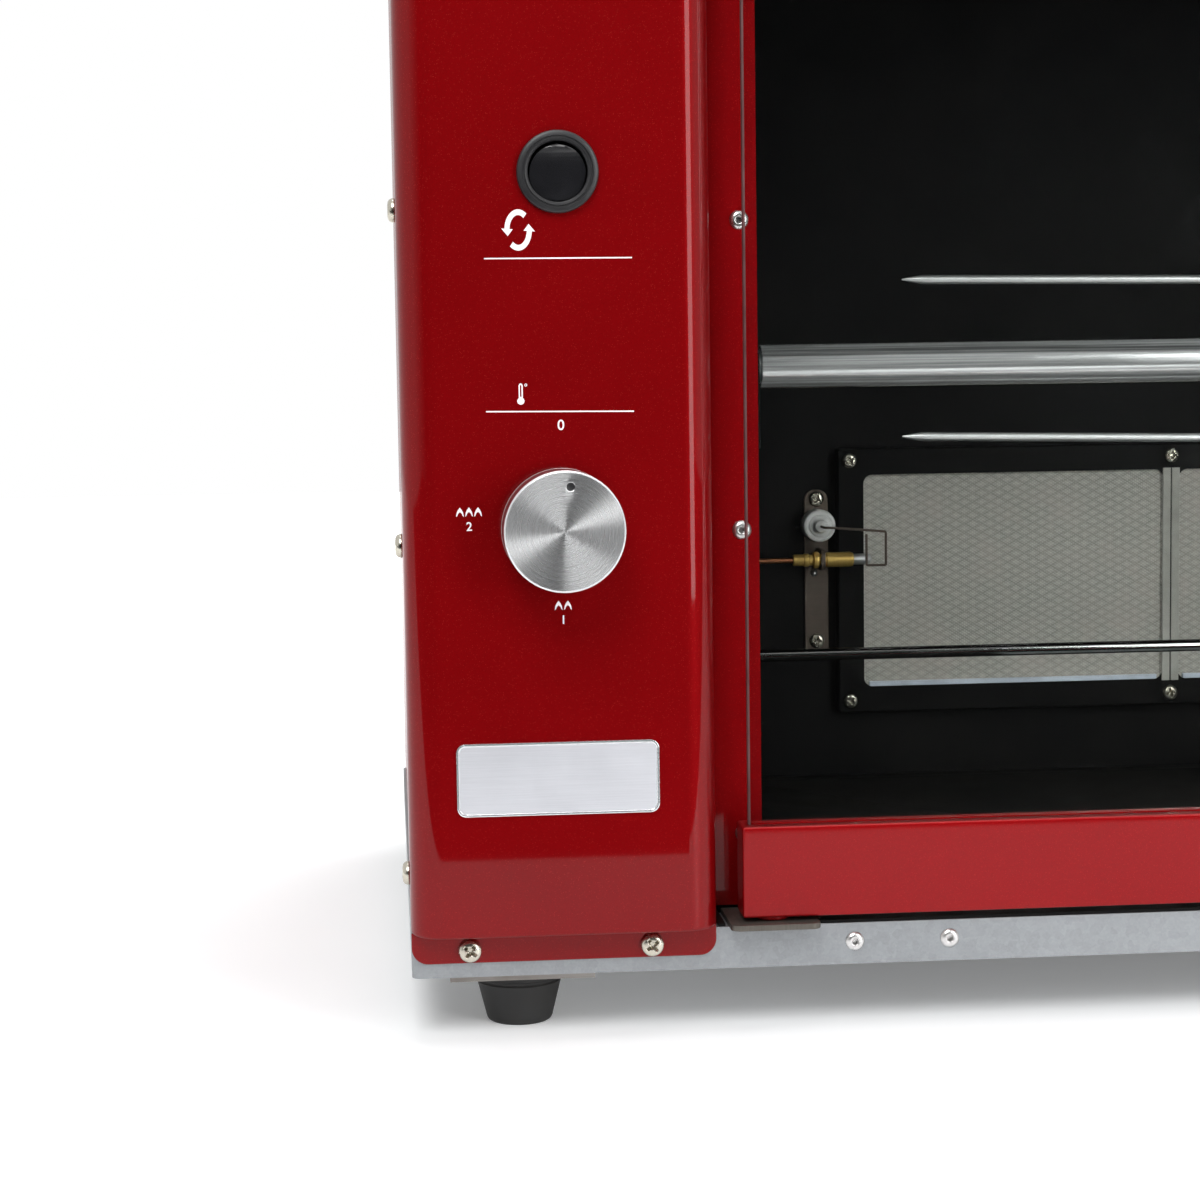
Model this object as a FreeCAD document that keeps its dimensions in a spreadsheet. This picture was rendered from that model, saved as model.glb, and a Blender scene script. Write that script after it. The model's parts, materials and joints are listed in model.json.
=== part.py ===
import FreeCAD, Part
import math
import os
import re
import Sketcher

# Gas rotisserie grill, modelled in its own frame in millimetres.
# +X is the right-hand side seen from the front, +Y goes back, +Z goes up.
# The origin lies on the table, at the centre of the base frame's footprint.

os.makedirs("parts", exist_ok=True)
doc = FreeCAD.newDocument("rotisserie_grill")

SIZES = [
    ("cabinet_width", 690.0, "outer width over both columns"),
    ("cabinet_depth", 350.0, "depth of the base frame"),
    ("cabinet_height", 420.0, "table to the top of the lid"),
    ("foot_height", 21.0, "table to the underside of the base frame"),
    ("base_height", 14.0, "height of the base frame"),
    ("base_sheet", 1.2, "sheet of the base frame and the runners"),
    ("base_corner", 3.0, "outer corner radius of the base frame"),
    ("base_opening_inset", 130.0, "side of the cabinet to the opening in the base"),
    ("base_opening_front", 34.0, "front of the base to its opening"),
    ("base_opening_length", "=cabinet_depth - 90", "length of the opening in the base, front to back"),
    ("cover_sheet", 1.0, "red sheet of covers, jambs and panels"),
    ("enamel_sheet", 1.0, "black enamelled sheet of the cavity"),
    ("column_width", 101.0, "width of a column"),
    ("column_projection", 10.0, "column front before the base frame's front"),
    ("column_lift", 1.0, "lower edge of a column cover above the base frame"),
    ("column_lip", 8.0, "how far a cover's end lips reach behind the base's front"),
    ("outer_edge_radius", 11.0, "outer vertical edge of a column"),
    ("inner_edge_radius", 10.0, "vertical edge of a column beside the door"),
    ("side_return", 30.0, "rear edge of a cover's outer return"),
    ("flange_drop", 10.0, "height of the screwed flange below a column"),
    ("flange_corner", 5.5, "corner radius of that flange"),
    ("panel_lip", 15.0, "width of a side panel's folded edges"),
    ("lid_height", 20.0, "height of the lid's skirt"),
    ("lid_edge_radius", 4.0, "rounding of the lid's upper edge"),
    ("lid_slot_length", 60.0, "length of a vent slot in the lid"),
    ("lid_slot_width", 5.0, "width of a vent slot"),
    ("lid_slot_pitch", 14.0, "distance between vent slots"),
    ("lid_slot_count", 7.0, "vent slots in a field"),
    ("jamb_setback", 20.0, "front of the jambs behind the base's front"),
    ("jamb_edge", 119.5, "side of the cabinet to the edge of the opening"),
    ("jamb_tuck", 9.0, "strip of a jamb hidden behind its column"),
    ("jamb_fold", 11.0, "stiffening fold of a jamb"),
    ("jamb_bottom", 38.0, "lower edge of the jambs above the table"),
    ("opening_top", "=cabinet_height - 32", "underside of the cavity ceiling above the table"),
    ("cavity_back", "=cabinet_depth - 60", "cavity back wall behind the base's front"),
    ("wall_flange", 15.5, "front flange of a cavity side wall"),
    ("flue_slot_length", 44.0, "length of a flue slot in the ceiling"),
    ("flue_slot_width", 8.0, "width of a flue slot"),
    ("flue_slot_pitch", 60.0, "distance between flue slots"),
    ("flue_slot_count", 6.0, "flue slots in the ceiling"),
    ("flue_slot_front", "=cabinet_depth - 88", "flue slots behind the base's front"),
    ("floor_front", 0.6, "front edge of the cavity floor"),
    ("funnel_inset", 146.0, "side of the cabinet to the floor's funnel"),
    ("funnel_front", 44.0, "front of the funnel"),
    ("funnel_length", "=cabinet_depth - 114", "length of the funnel, front to back"),
    ("funnel_drop", 11.0, "depth of the funnel"),
    ("funnel_slope_width", 120.0, "width taken by each sloping side of the funnel"),
    ("funnel_slope_length", 70.0, "length taken by the front and rear slopes"),
    ("rear_louvre_width", 70.0, "width of a louvre slot in the rear cover"),
    ("rear_louvre_height", 5.0, "height of a louvre slot"),
    ("rear_louvre_pitch", 15.0, "distance between louvre slots"),
    ("rear_louvre_count", 8.0, "louvre slots in a field"),
    ("rear_louvre_first", "=cabinet_height - 180", "lowest louvre slot above the table"),
    ("screw_radius", 2.0, "radius of a panel screw's shank"),
    ("screw_length", 7.0, "length of a panel screw under its head"),
    ("screw_head_radius", 4.0, "radius of a pan head"),
    ("screw_head_height", 2.4, "height of a pan head"),
    ("screw_clearance", 0.25, "play of a screw or rivet in its hole"),
    ("column_screw_outer", 19.2, "outer flange screw from the side"),
    ("column_screw_inner", 79.6, "inner flange screw from the side"),
    ("column_screw_drop", 4.7, "flange screws below the base frame's top"),
    ("side_screw_first", 53.0, "lowest side screw above the table"),
    ("side_screw_pitch", "=(cabinet_height - 90) / 3", "distance between side screws"),
    ("side_screw_count", 4.0, "screws along one side edge"),
    ("side_screw_back", 18.0, "side screws behind the base's front"),
    ("rear_screw_inset", 9.5, "rear screws from the side panel"),
    ("rivet_radius", 1.6, "radius of a blind rivet's shank"),
    ("rivet_head_radius", 3.2, "radius of a rivet head"),
    ("rivet_head_height", 1.1, "height of a rivet head"),
    ("rivet_reach", 3.4, "rivet behind its head"),
    ("jamb_rivet_side", 113.7, "jamb rivets from the side of the cabinet"),
    ("jamb_rivet_first", 62.7, "lowest jamb rivet above the table"),
    ("jamb_rivet_pitch", "=(cabinet_height - 110.7) / 3", "distance between jamb rivets"),
    ("jamb_rivet_count", 4.0, "rivets in one jamb"),
    ("base_rivet_side", 147.8, "outer base rivet from the side"),
    ("base_rivet_pitch", 32.2, "distance between the base rivets"),
    ("base_rivet_drop", 6.3, "base rivets below the base frame's top"),
    ("foot_inset_side", 36.5, "centre of a foot from the side"),
    ("foot_inset_front", 26.0, "centre of a foot from the front or the rear"),
    ("foot_top_radius", 14.8, "radius of a foot under its plate"),
    ("foot_bottom_radius", 10.8, "radius of a foot on the table"),
    ("foot_recess_radius", 6.5, "recess in the underside of a foot"),
    ("foot_recess_depth", 8.0, "depth of that recess"),
    ("foot_plate_width", 48.0, "width of a corner plate"),
    ("foot_plate_sheet", 1.6, "thickness of a corner plate"),
    ("door_inset", 109.7, "side of the cabinet to the end of a door rail"),
    ("door_front", -4.0, "front of the door rails from the base's front"),
    ("door_thickness", 14.0, "thickness of the door rails"),
    ("door_bottom", 38.5, "lower edge of the door above the table"),
    ("rail_height", 30.5, "height of a door rail"),
    ("rail_corner", 2.0, "rounding of the door rails"),
    ("door_top", "=cabinet_height - 23.5", "upper edge of the door above the table"),
    ("glass_thickness", 4.0, "thickness of the glass pane"),
    ("glass_inset", 112.5, "side of the cabinet to the edge of the pane"),
    ("glass_seat", 12.0, "depth of the pane in a rail"),
    ("glass_front", 1.0, "front of the pane from the base's front"),
    ("glass_clearance", 0.1, "play of the pane in a rail"),
    ("pivot_side", 120.3, "door pivot from the side of the cabinet"),
    ("pivot_back", 3.6, "door pivot behind the base's front"),
    ("pivot_radius", 3.0, "radius of a pivot pin"),
    ("pivot_clearance", 0.05, "running clearance of shafts and pins"),
    ("pivot_length", 9.5, "pin standing out of its hinge plate"),
    ("boss_radius", 5.9, "radius of a door boss"),
    ("boss_height", 1.3, "height of a door boss"),
    ("hinge_width", 30.0, "width of a hinge plate"),
    ("hinge_sheet", 2.0, "thickness of a hinge plate"),
    ("hinge_projection", 8.0, "hinge plate before the base's front"),
    ("hinge_depth", 20.5, "hinge plate behind the base's front"),
    ("handle_side", 140.0, "handle from the right side of the cabinet"),
    ("handle_centre", "=cabinet_height - 200", "centre of the handle above the table"),
    ("handle_pitch", 96.0, "distance between the handle's posts"),
    ("handle_radius", 7.0, "radius of the handle bar"),
    ("handle_overhang", 14.0, "handle bar beyond each post"),
    ("handle_reach", 34.0, "handle bar before the pane"),
    ("post_radius", 5.0, "radius of a handle post"),
    ("stud_radius", 3.0, "radius of a handle stud in the pane"),
    ("nut_radius", 8.0, "radius of a nut behind the pane"),
    ("nut_height", 4.0, "height of a nut behind the pane"),
    ("catch_width", 12.0, "width of the magnetic catch"),
    ("catch_bottom", "=cabinet_height - 98", "magnetic catch above the table"),
    ("catch_height", 18.0, "height of the magnetic catch"),
    ("catch_gap", 0.4, "gap between the catch and the closed door"),
    ("tile_width", "=cabinet_width / 2 - 207", "width of a ceramic burner tile"),
    ("tile_height", 96.5, "height of a ceramic burner tile"),
    ("tile_thickness", 13.0, "thickness of a ceramic burner tile"),
    ("tile_gap", 5.0, "gap between the two tiles"),
    ("tile_lip", 1.0, "edge of a tile hidden by the burner frame"),
    ("tile_corner", 4.0, "corner radius of the burner frame's windows"),
    ("burner_bottom", 75.5, "lower edge of the tiles above the table"),
    ("burner_rim", 10.5, "rim of the burner frame around the tiles"),
    ("burner_sheet", 1.5, "sheet of the burner frame"),
    ("burner_projection", 7.0, "burner frame before the cavity back wall"),
    ("burner_wall", 2.0, "wall of the burner housing"),
    ("plenum_depth", 26.0, "gas chamber behind the tiles"),
    ("plenum_inset", 10.0, "ledge that carries the tiles"),
    ("burner_clearance", 0.3, "play of the tiles and the housing in their seats"),
    ("mixer_length", 55.0, "length of the mixing tube"),
    ("mixer_bell_radius", 14.0, "radius of the mixing tube's bell"),
    ("mixer_throat_radius", 8.5, "radius of the mixing tube's throat"),
    ("mixer_wall", 1.5, "wall of the mixing tube"),
    ("injector_length", 18.0, "length of the injector"),
    ("injector_radius", 6.0, "radius of the injector"),
    ("injector_gap", 5.0, "injector nozzle inside the mixing tube's bell"),
    ("pipe_radius", 4.0, "radius of the gas pipes"),
    ("pipe_bend", 16.0, "bend radius of the gas pipes"),
    ("valve_port", 4.0, "reach of the valve's ports beyond its body"),
    ("inlet_height", 78.0, "gas inlet above the table"),
    ("inlet_radius", 10.48, "thread radius of the gas inlet"),
    ("inlet_thread", 15.0, "length of the inlet's thread"),
    ("inlet_hole_play", 1.0, "play of the inlet's thread in the rear cover, less than its hexagon hides"),
    ("inlet_hex_radius", 14.0, "radius over the corners of the inlet's hexagon"),
    ("inlet_hex_height", 8.0, "height of the inlet's hexagon"),
    ("knob_side", 50.7, "knob centre from the side of the cabinet"),
    ("knob_centre", 169.9, "knob centre above the table"),
    ("knob_radius", 19.3, "radius of the knob"),
    ("knob_length", 17.0, "length of the knob"),
    ("knob_gap", 5.0, "gap between the knob and the column"),
    ("knob_chamfer", 1.2, "chamfer around the knob's face"),
    ("knob_wall", 2.2, "wall of the hollow knob"),
    ("knob_hub_radius", 7.0, "hub inside the knob"),
    ("knob_dimple_radius", 1.6, "radius of the pointer dimple"),
    ("knob_dimple_offset", 14.2, "pointer dimple from the knob's centre"),
    ("stem_radius", 4.0, "radius of the valve stem"),
    ("stem_flat", 1.2, "flat of the valve stem"),
    ("stem_in_knob", 12.0, "valve stem inside the knob"),
    ("knob_travel", 4.0, "push travel of the knob"),
    ("valve_neck_radius", 10.0, "radius of the valve's neck"),
    ("valve_radius", 15.0, "radius of the valve body"),
    ("valve_length", 42.0, "length of the valve body"),
    ("valve_neck_length", 12.0, "length of the valve's neck"),
    ("valve_bore_radius", 8.0, "bore of the valve body"),
    ("valve_hole_play", 1.0, "play of the stem in the column's hole"),
    ("switch_side", 51.6, "switch centre from the side of the cabinet"),
    ("switch_centre", "=cabinet_height - 137", "switch centre above the table"),
    ("bezel_radius", 13.1, "radius of the switch bezel"),
    ("bezel_height", 2.2, "height of the switch bezel"),
    ("switch_radius", 10.6, "radius of the switch housing"),
    ("switch_depth", 22.0, "depth of the switch housing behind the column"),
    ("rocker_bore_radius", 9.6, "bore in the switch for the rocker"),
    ("rocker_radius", 9.0, "radius of the rocker"),
    ("rocker_depth", 6.5, "thickness of the rocker"),
    ("rocker_pivot_radius", 1.2, "radius of the rocker's trunnions"),
    ("rocker_pivot_reach", 9.4, "reach of the rocker's trunnions"),
    ("rocker_tilt", 10.0, "tilt of the rocker to each side, in degrees"),
    ("power_inlet_side", 60.0, "power inlet from the side of the cabinet"),
    ("power_inlet_centre", "=cabinet_height - 100", "power inlet above the table"),
    ("power_inlet_width", 28.0, "width of the power inlet's flange"),
    ("power_inlet_height", 38.0, "height of the power inlet's flange"),
    ("power_inlet_depth", 22.0, "depth of the power inlet's body"),
    ("igniter_side", 185.2, "igniter bracket from the side of the cabinet"),
    ("igniter_width", 10.6, "width of the igniter bracket"),
    ("igniter_bottom", 93.0, "lower end of the igniter bracket"),
    ("igniter_top", 164.5, "upper end of the igniter bracket"),
    ("igniter_sheet", 1.5, "thickness of the igniter bracket"),
    ("insulator_height", 149.0, "electrode insulator above the table"),
    ("insulator_radius", 7.2, "radius of the electrode insulator"),
    ("insulator_length", 10.0, "length of the electrode insulator"),
    ("insulator_nose", 4.0, "narrow nose of the electrode insulator"),
    ("electrode_radius", 1.0, "radius of the electrode wire"),
    ("electrode_reach", 28.0, "electrode wire beyond its insulator"),
    ("electrode_hook", 17.0, "hook of the electrode wire"),
    ("electrode_bend", 4.0, "bend radius of the electrode wire"),
    ("thermocouple_height", 134.0, "thermocouple above the table"),
    ("thermocouple_side", 173.0, "thermocouple body from the side"),
    ("thermocouple_length", 27.0, "length of the thermocouple body"),
    ("thermocouple_radius", 4.0, "radius of the thermocouple body"),
    ("thermocouple_tip_radius", 2.4, "radius of the thermocouple tip"),
    ("thermocouple_tip_length", 8.0, "length of the thermocouple tip"),
    ("lead_radius", 1.25, "radius of the thermocouple lead"),
    ("lead_bend", 18.0, "bend radius of the thermocouple lead"),
    ("lead_jog", 5.0, "sideways jog of the thermocouple lead"),
    ("small_screw_radius", 1.6, "radius of a burner screw's shank"),
    ("small_screw_head_radius", 3.4, "radius of a burner screw's head"),
    ("small_screw_head_height", 1.8, "height of a burner screw's head"),
    ("small_screw_length", 9.0, "length of a burner screw under its head"),
    ("guard_rod_radius", 2.5, "radius of the guard rod"),
    ("guard_rod_back", "=cabinet_depth - 150", "guard rod behind the base's front"),
    ("guard_rod_height", 101.5, "guard rod above the table"),
    ("guard_rod_overhang", 4.0, "guard rod beyond each side wall"),
    ("spit_back", 120.0, "spit axis behind the base's front"),
    ("spit_height", 220.0, "spit axis above the table"),
    ("spit_radius", 8.1, "outer radius of the spit tube"),
    ("spit_wall", 1.5, "wall of the spit tube"),
    ("spit_start", 135.0, "left end of the spit tube from the side"),
    ("journal_radius", 5.0, "radius of the spit's journal"),
    ("journal_collar_radius", 8.0, "radius of the collar on the journal's end"),
    ("journal_collar_length", 2.5, "length of that collar"),
    ("bearing_sheet", 6.0, "length of the bearing under the journal"),
    ("bearing_width", 30.0, "width of the bearing bracket"),
    ("bearing_gap", 2.0, "gap between the bearing and the spit's shoulders"),
    ("square_side", 8.0, "square drive end of the spit"),
    ("square_clearance", 0.1, "play of the square end in its socket"),
    ("square_length", 12.0, "length of the square end"),
    ("socket_radius", 11.0, "radius of the drive socket"),
    ("socket_length", 16.0, "length of the drive socket's head"),
    ("socket_wall_gap", 2.0, "gap between the socket's head and the wall"),
    ("socket_hole_radius", 9.0, "hole in the right wall for the drive shaft"),
    ("shaft_radius", 6.0, "radius of the drive shaft"),
    ("bush_radius", 9.0, "outer radius of a bush"),
    ("bush_length", 5.0, "length of a bush"),
    ("fork_side", 325.0, "fork hub from the side of the cabinet"),
    ("fork_hub_radius", 14.0, "radius of the fork hub"),
    ("fork_hub_length", 24.0, "length of the fork hub"),
    ("fork_bar_thickness", 5.0, "thickness of the fork's cross bar"),
    ("fork_bar_height", 9.0, "width of the fork's cross bar"),
    ("prong_offset", 30.0, "prong from the spit axis"),
    ("prong_radius", 1.65, "radius of a prong"),
    ("prong_length", 136.0, "length of a prong"),
    ("prong_point", 8.0, "length of a prong's point"),
    ("thumb_radius", 3.0, "radius of the thumbscrew's shank"),
    ("thumb_head_radius", 9.0, "radius of the thumbscrew's head"),
    ("thumb_head_height", 6.0, "height of the thumbscrew's head"),
    ("thumb_neck", 5.0, "thumbscrew between hub and head"),
    ("gear_module", 1.5, "module of the drive gears"),
    ("gear_teeth", 40.0, "teeth of the drive gear"),
    ("pinion_teeth", 16.0, "teeth of the motor pinion"),
    ("gear_width", 10.0, "width of the drive gear"),
    ("gear_pressure_angle", 20.0, "pressure angle of the teeth, in degrees"),
    ("gear_backlash", 0.1, "thinning of each tooth at the pitch circle"),
    ("gear_web", 4.0, "thickness of the drive gear's web"),
    ("gear_hub_radius", 11.0, "radius of the drive gear's hub"),
    ("gear_rim", 4.0, "rim under the teeth of the drive gear"),
    ("gear_hole_radius", 5.0, "lightening holes in the drive gear's web"),
    ("pinion_shaft_radius", 4.0, "radius of the pinion's shaft"),
    ("bracket_sheet", 2.0, "thickness of the motor bracket"),
    ("bracket_span", 38.0, "distance between the bracket's plates"),
    ("bracket_margin", 12.0, "bracket beyond the gears"),
    ("gearbox_width", 62.0, "gearbox, front to back"),
    ("gearbox_height", 76.0, "gearbox height"),
    ("gearbox_length", 24.0, "gearbox along its shaft"),
    ("motor_radius", 24.0, "radius of the motor"),
    ("motor_length", 34.0, "length of the motor"),
    ("runner_web", 128.0, "web of a tray runner from the side"),
    ("runner_drop", 17.0, "runner below the base frame's top plate"),
    ("runner_flange", 13.0, "flange that carries the tray"),
    ("runner_front", 40.0, "front of the runners"),
    ("runner_length", "=cabinet_depth - 62", "length of the runners"),
    ("runner_tab_height", 9.0, "height of a runner's riveted tab"),
    ("runner_tab_length", 60.0, "length of a runner's riveted tab"),
    ("tray_sheet", 1.0, "sheet of the drip tray"),
    ("tray_front", 56.0, "front of the drip tray"),
    ("tray_length", "=cabinet_depth - 90", "length of the drip tray"),
    ("tray_depth", 10.0, "depth of the drip tray"),
    ("tray_side_play", 1.5, "sideways play of the tray in its runners"),
    ("tray_lift", 0.2, "gap under the tray's rim"),
    ("tray_pull_width", 110.0, "width of the tray's pull lip"),
    ("tray_pull_reach", 13.0, "reach of the tray's pull lip"),
    ("tray_corner", 6.0, "corner radius of the tray"),
    ("front_reach", "=handle_reach + handle_radius - glass_front", "handle bar before the base's front"),
    ("rear_reach", "=cabinet_depth - cover_sheet + inlet_thread", "gas thread behind the base's front"),
    ("origin_back", "=(rear_reach - front_reach) / 2", "frame origin behind the base's front"),
]

sizes = doc.addObject("Spreadsheet::Sheet", "sizes")
for row, (alias, amount, meaning) in enumerate(SIZES, start=1):
    sizes.set("A%d" % row, meaning)
    sizes.set("B%d" % row, str(amount))
    sizes.setAlias("B%d" % row, alias)
doc.recompute()

ALIAS = re.compile(r"\b(" + "|".join(entry[0] for entry in SIZES) + r")\b")
nodes = []


def bind(item, prop, text):
    """Tie a property to a formula in the names of the sheet."""
    item.setExpression(prop, ALIAS.sub(r"sizes.\1", str(text)))


probe = doc.addObject("App::FeaturePython", "probe")
probe.addProperty("App::PropertyFloat", "amount")


def number(text):
    """The present value of a formula in the names of the sheet."""
    bind(probe, "amount", text)
    probe.recompute()
    return probe.amount


def from_left(distance):
    """X of a point this far inside the cabinet's left side."""
    return "(-cabinet_width / 2 + (%s))" % distance


def from_right(distance):
    """X of a point this far inside the cabinet's right side."""
    return "(cabinet_width / 2 - (%s))" % distance


def behind(distance):
    """Y of a point this far behind the base frame's front."""
    return "(-origin_back + (%s))" % distance


BASE_TOP = "(foot_height + base_height)"
FLOOR_TOP = "(foot_height + base_height + enamel_sheet)"
COLUMN_BOTTOM = "(foot_height + base_height + column_lift)"
COLUMN_TOP = "(cabinet_height - lid_height)"
COLUMN_FRONT = behind("-column_projection")
SPIT_Y = behind("spit_back")
BURNER_FACE = behind("cavity_back - burner_projection")
BURNER_HALF = "(tile_width + tile_gap / 2)"
TILE_TOP = "(burner_bottom + tile_height)"
SCREW_LEVELS = ("burner_bottom - burner_rim / 2", TILE_TOP + " + burner_rim / 2")
SCREW_SIDE = "(tile_width + tile_gap / 2 + burner_rim / 2)"
IGNITER_X = from_left("igniter_side")
IGNITER_LEVELS = ("igniter_bottom + screw_head_radius", "igniter_top - screw_head_radius")
PROBE_Y = behind("cavity_back - burner_projection - thermocouple_radius - burner_clearance")
SUPPLY_SIDE = "knob_side + valve_radius + valve_port + pipe_bend + 1"

UNTURNED = FreeCAD.Rotation()
ALONG = {
    "X": FreeCAD.Rotation(FreeCAD.Vector(0, 1, 0), 90),
    "Y": FreeCAD.Rotation(FreeCAD.Vector(1, 0, 0), -90),
    "Z": UNTURNED,
}


def place(item, x, y, z):
    """Bind an object's position."""
    bind(item, "Placement.Base.x", x)
    bind(item, "Placement.Base.y", y)
    bind(item, "Placement.Base.z", z)
    return item


def box(x0, y0, z0, x1, y1, z1):
    """A block between two corners."""
    item = doc.addObject("Part::Box", "block")
    bind(item, "Length", "(%s) - (%s)" % (x1, x0))
    bind(item, "Width", "(%s) - (%s)" % (y1, y0))
    bind(item, "Height", "(%s) - (%s)" % (z1, z0))
    return place(item, x0, y0, z0)


def rod(axis, x, y, z, radius, length):
    """A cylinder from a point along an axis."""
    item = doc.addObject("Part::Cylinder", "rod")
    bind(item, "Radius", radius)
    bind(item, "Height", length)
    item.Placement = FreeCAD.Placement(FreeCAD.Vector(), ALONG[axis])
    return place(item, x, y, z)


def cone(axis, x, y, z, radius, end_radius, length):
    """A cone or a frustum from a point along an axis."""
    item = doc.addObject("Part::Cone", "cone")
    bind(item, "Radius1", radius)
    bind(item, "Radius2", end_radius)
    bind(item, "Height", length)
    item.Placement = FreeCAD.Placement(FreeCAD.Vector(), ALONG[axis])
    return place(item, x, y, z)


def hexagon(axis, x, y, z, radius, length):
    """A hexagonal prism from a point along an axis."""
    item = doc.addObject("Part::Prism", "hexagon")
    item.Polygon = 6
    bind(item, "Circumradius", radius)
    bind(item, "Height", length)
    item.Placement = FreeCAD.Placement(FreeCAD.Vector(), ALONG[axis])
    return place(item, x, y, z)


def fuse(*pieces):
    """Several solids made one."""
    item = doc.addObject("Part::MultiFuse", "fusion")
    item.Shapes = list(pieces)
    return item


def cut(base, *tools):
    """A solid with one or more tools taken out of it."""
    item = doc.addObject("Part::Cut", "cutting")
    item.Base = base
    item.Tool = tools[0] if len(tools) == 1 else fuse(*tools)
    return item


def mirrored(source, normal):
    """A mirror image about a plane through the middle of the base frame."""
    item = doc.addObject("Part::Mirroring", "mirror")
    item.Source = source
    item.Normal = FreeCAD.Vector(*normal)
    bind(item, "Base.y", behind("cabinet_depth / 2"))
    return item


def left_right(source):
    """A piece and its mirror image on the right-hand side."""
    return [source, mirrored(source, (1, 0, 0))]


def four_corners(source):
    """A piece and its images at the other three corners."""
    pair = left_right(source)
    return pair + [mirrored(each, (0, 1, 0)) for each in pair]


def group(pieces):
    """Separate solids that share one node."""
    item = doc.addObject("Part::Compound", "set")
    item.Links = list(pieces)
    return item


def node(name, item):
    """Give a finished sub-part its name."""
    item.Label = name
    nodes.append(item)
    return item


def rect(x0, y0, x1, y1):
    """A rectangle as four corners."""
    return [(x0, y0), (x1, y0), (x1, y1), (x0, y1)]


def circle(x, y, radius):
    """A circle outline."""
    return ("circle", x, y, radius)


class Piece:
    """One PartDesign body, built feature by feature.

    A profile lies in an origin plane of the body, moved along that plane's
    normal to a level, and every feature reaches from there along the
    positive axis.
    """

    def __init__(self, name):
        self.body = doc.addObject("PartDesign::Body", name + "_body")
        self.body.AllowCompound = True
        self.features = 0

    def origin(self, role):
        """An origin plane or axis of this body."""
        return next(item for item in self.body.Origin.OriginFeatures if item.Role == role)

    def sketch(self, plane, level):
        """An empty sketch in an origin plane, moved to a level."""
        item = self.body.newObject("Sketcher::SketchObject", "profile")
        item.AttachmentSupport = [(self.origin(plane + "_Plane"), "")]
        item.MapMode = "FlatFace"
        sign = "-" if plane == "XZ" else ""
        bind(item, "AttachmentOffset.Base.z", "%s(%s)" % (sign, level))
        return item

    def outline(self, sketch, shape):
        """Draw one outline whose every point is bound to the sheet."""
        first = sketch.GeometryCount
        if shape[0] == "circle":
            centre = FreeCAD.Vector(number(shape[1]), number(shape[2]), 0)
            sketch.addGeometry(Part.Circle(centre, FreeCAD.Vector(0, 0, 1), number(shape[3])))
            self.hold(sketch, first, 3, shape[1], shape[2])
            index = sketch.addConstraint(Sketcher.Constraint("Radius", first, number(shape[3])))
            bind(sketch, "Constraints[%d]" % index, shape[3])
            return
        corners = [FreeCAD.Vector(number(x), number(y), 0) for x, y in shape]
        count = len(corners)
        for step in range(count):
            sketch.addGeometry(Part.LineSegment(corners[step], corners[(step + 1) % count]))
        for step in range(count):
            following = first + (step + 1) % count
            sketch.addConstraint(Sketcher.Constraint("Coincident", first + step, 2, following, 1))
        for step, (x, y) in enumerate(shape):
            self.hold(sketch, first + step, 1, x, y)

    def hold(self, sketch, geometry, point, x, y):
        """Bind a point's distances from the sketch's origin."""
        for kind, text in (("DistanceX", x), ("DistanceY", y)):
            rule = Sketcher.Constraint(kind, -1, 1, geometry, point, number(text))
            index = sketch.addConstraint(rule)
            bind(sketch, "Constraints[%d]" % index, text)

    def feature(self, kind, plane, level, length, outlines):
        """A pad or a pocket of some outlines."""
        sketch = self.sketch(plane, level)
        for shape in outlines:
            self.outline(sketch, shape)
        item = self.body.newObject("PartDesign::" + kind, kind)
        item.Profile = sketch
        item.Type = 0
        bind(item, "Length", length)
        item.Reversed = (plane == "XZ") == (kind == "Pad")
        sketch.Visibility = False
        return self.finish(item)

    def finish(self, item):
        """Make a feature the body's tip and refuse it if it failed."""
        self.body.Tip = item
        doc.recompute()
        if {"Invalid", "Error"} & set(item.State):
            raise ValueError("%s of %s failed: %s" % (item.Name, self.body.Name, item.getStatusString()))
        return item

    def pad(self, plane, level, length, *outlines):
        """Add material."""
        before = self.volume()
        self.feature("Pad", plane, level, length, outlines)
        if self.volume() <= before:
            raise ValueError("a pad of %s added nothing" % self.body.Name)
        return self

    def pocket(self, plane, level, length, *outlines):
        """Take material away."""
        before = self.volume()
        self.feature("Pocket", plane, level, length, outlines)
        if self.volume() >= before:
            raise ValueError("a pocket of %s cut nothing" % self.body.Name)
        return self

    def volume(self):
        """Volume of the body so far."""
        shape = self.body.Shape
        return 0.0 if shape.isNull() else shape.Volume

    def edges(self, test):
        """Names of the edges whose middle and direction pass a test."""
        found = []
        for index, edge in enumerate(self.body.Shape.Edges, start=1):
            start, end = edge.Vertexes[0].Point, edge.Vertexes[-1].Point
            span = start.distanceToPoint(end)
            straight = span > 0.01 and abs(edge.Length - span) < 0.001
            if straight and test((start + end) * 0.5, (end - start).normalize()):
                found.append("Edge%d" % index)
        return found

    def upright(self, x, y):
        """Edges along Z at a place."""
        x, y = number(x), number(y)
        return self.edges(lambda p, d: abs(d.z) > 0.99 and abs(p.x - x) < 0.01 and abs(p.y - y) < 0.01)

    def level_face(self, level):
        """The largest level face at a height."""
        height = number(level)
        found = []
        for index, face in enumerate(self.body.Shape.Faces, start=1):
            bounds = face.BoundBox
            if abs(bounds.ZMin - height) < 0.01 and abs(bounds.ZMax - height) < 0.01:
                found.append((face.Area, "Face%d" % index))
        return [max(found)[1]]

    def dress(self, kind, names, prop, amount):
        """A fillet or a chamfer on named edges."""
        dressed = self.body.Tip
        item = self.body.newObject("PartDesign::" + kind, kind)
        item.Base = (dressed, names)
        bind(item, prop, amount)
        self.finish(item)
        return self

    def fillet(self, names, radius):
        """Round some edges."""
        return self.dress("Fillet", names, "Radius", radius)

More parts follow.
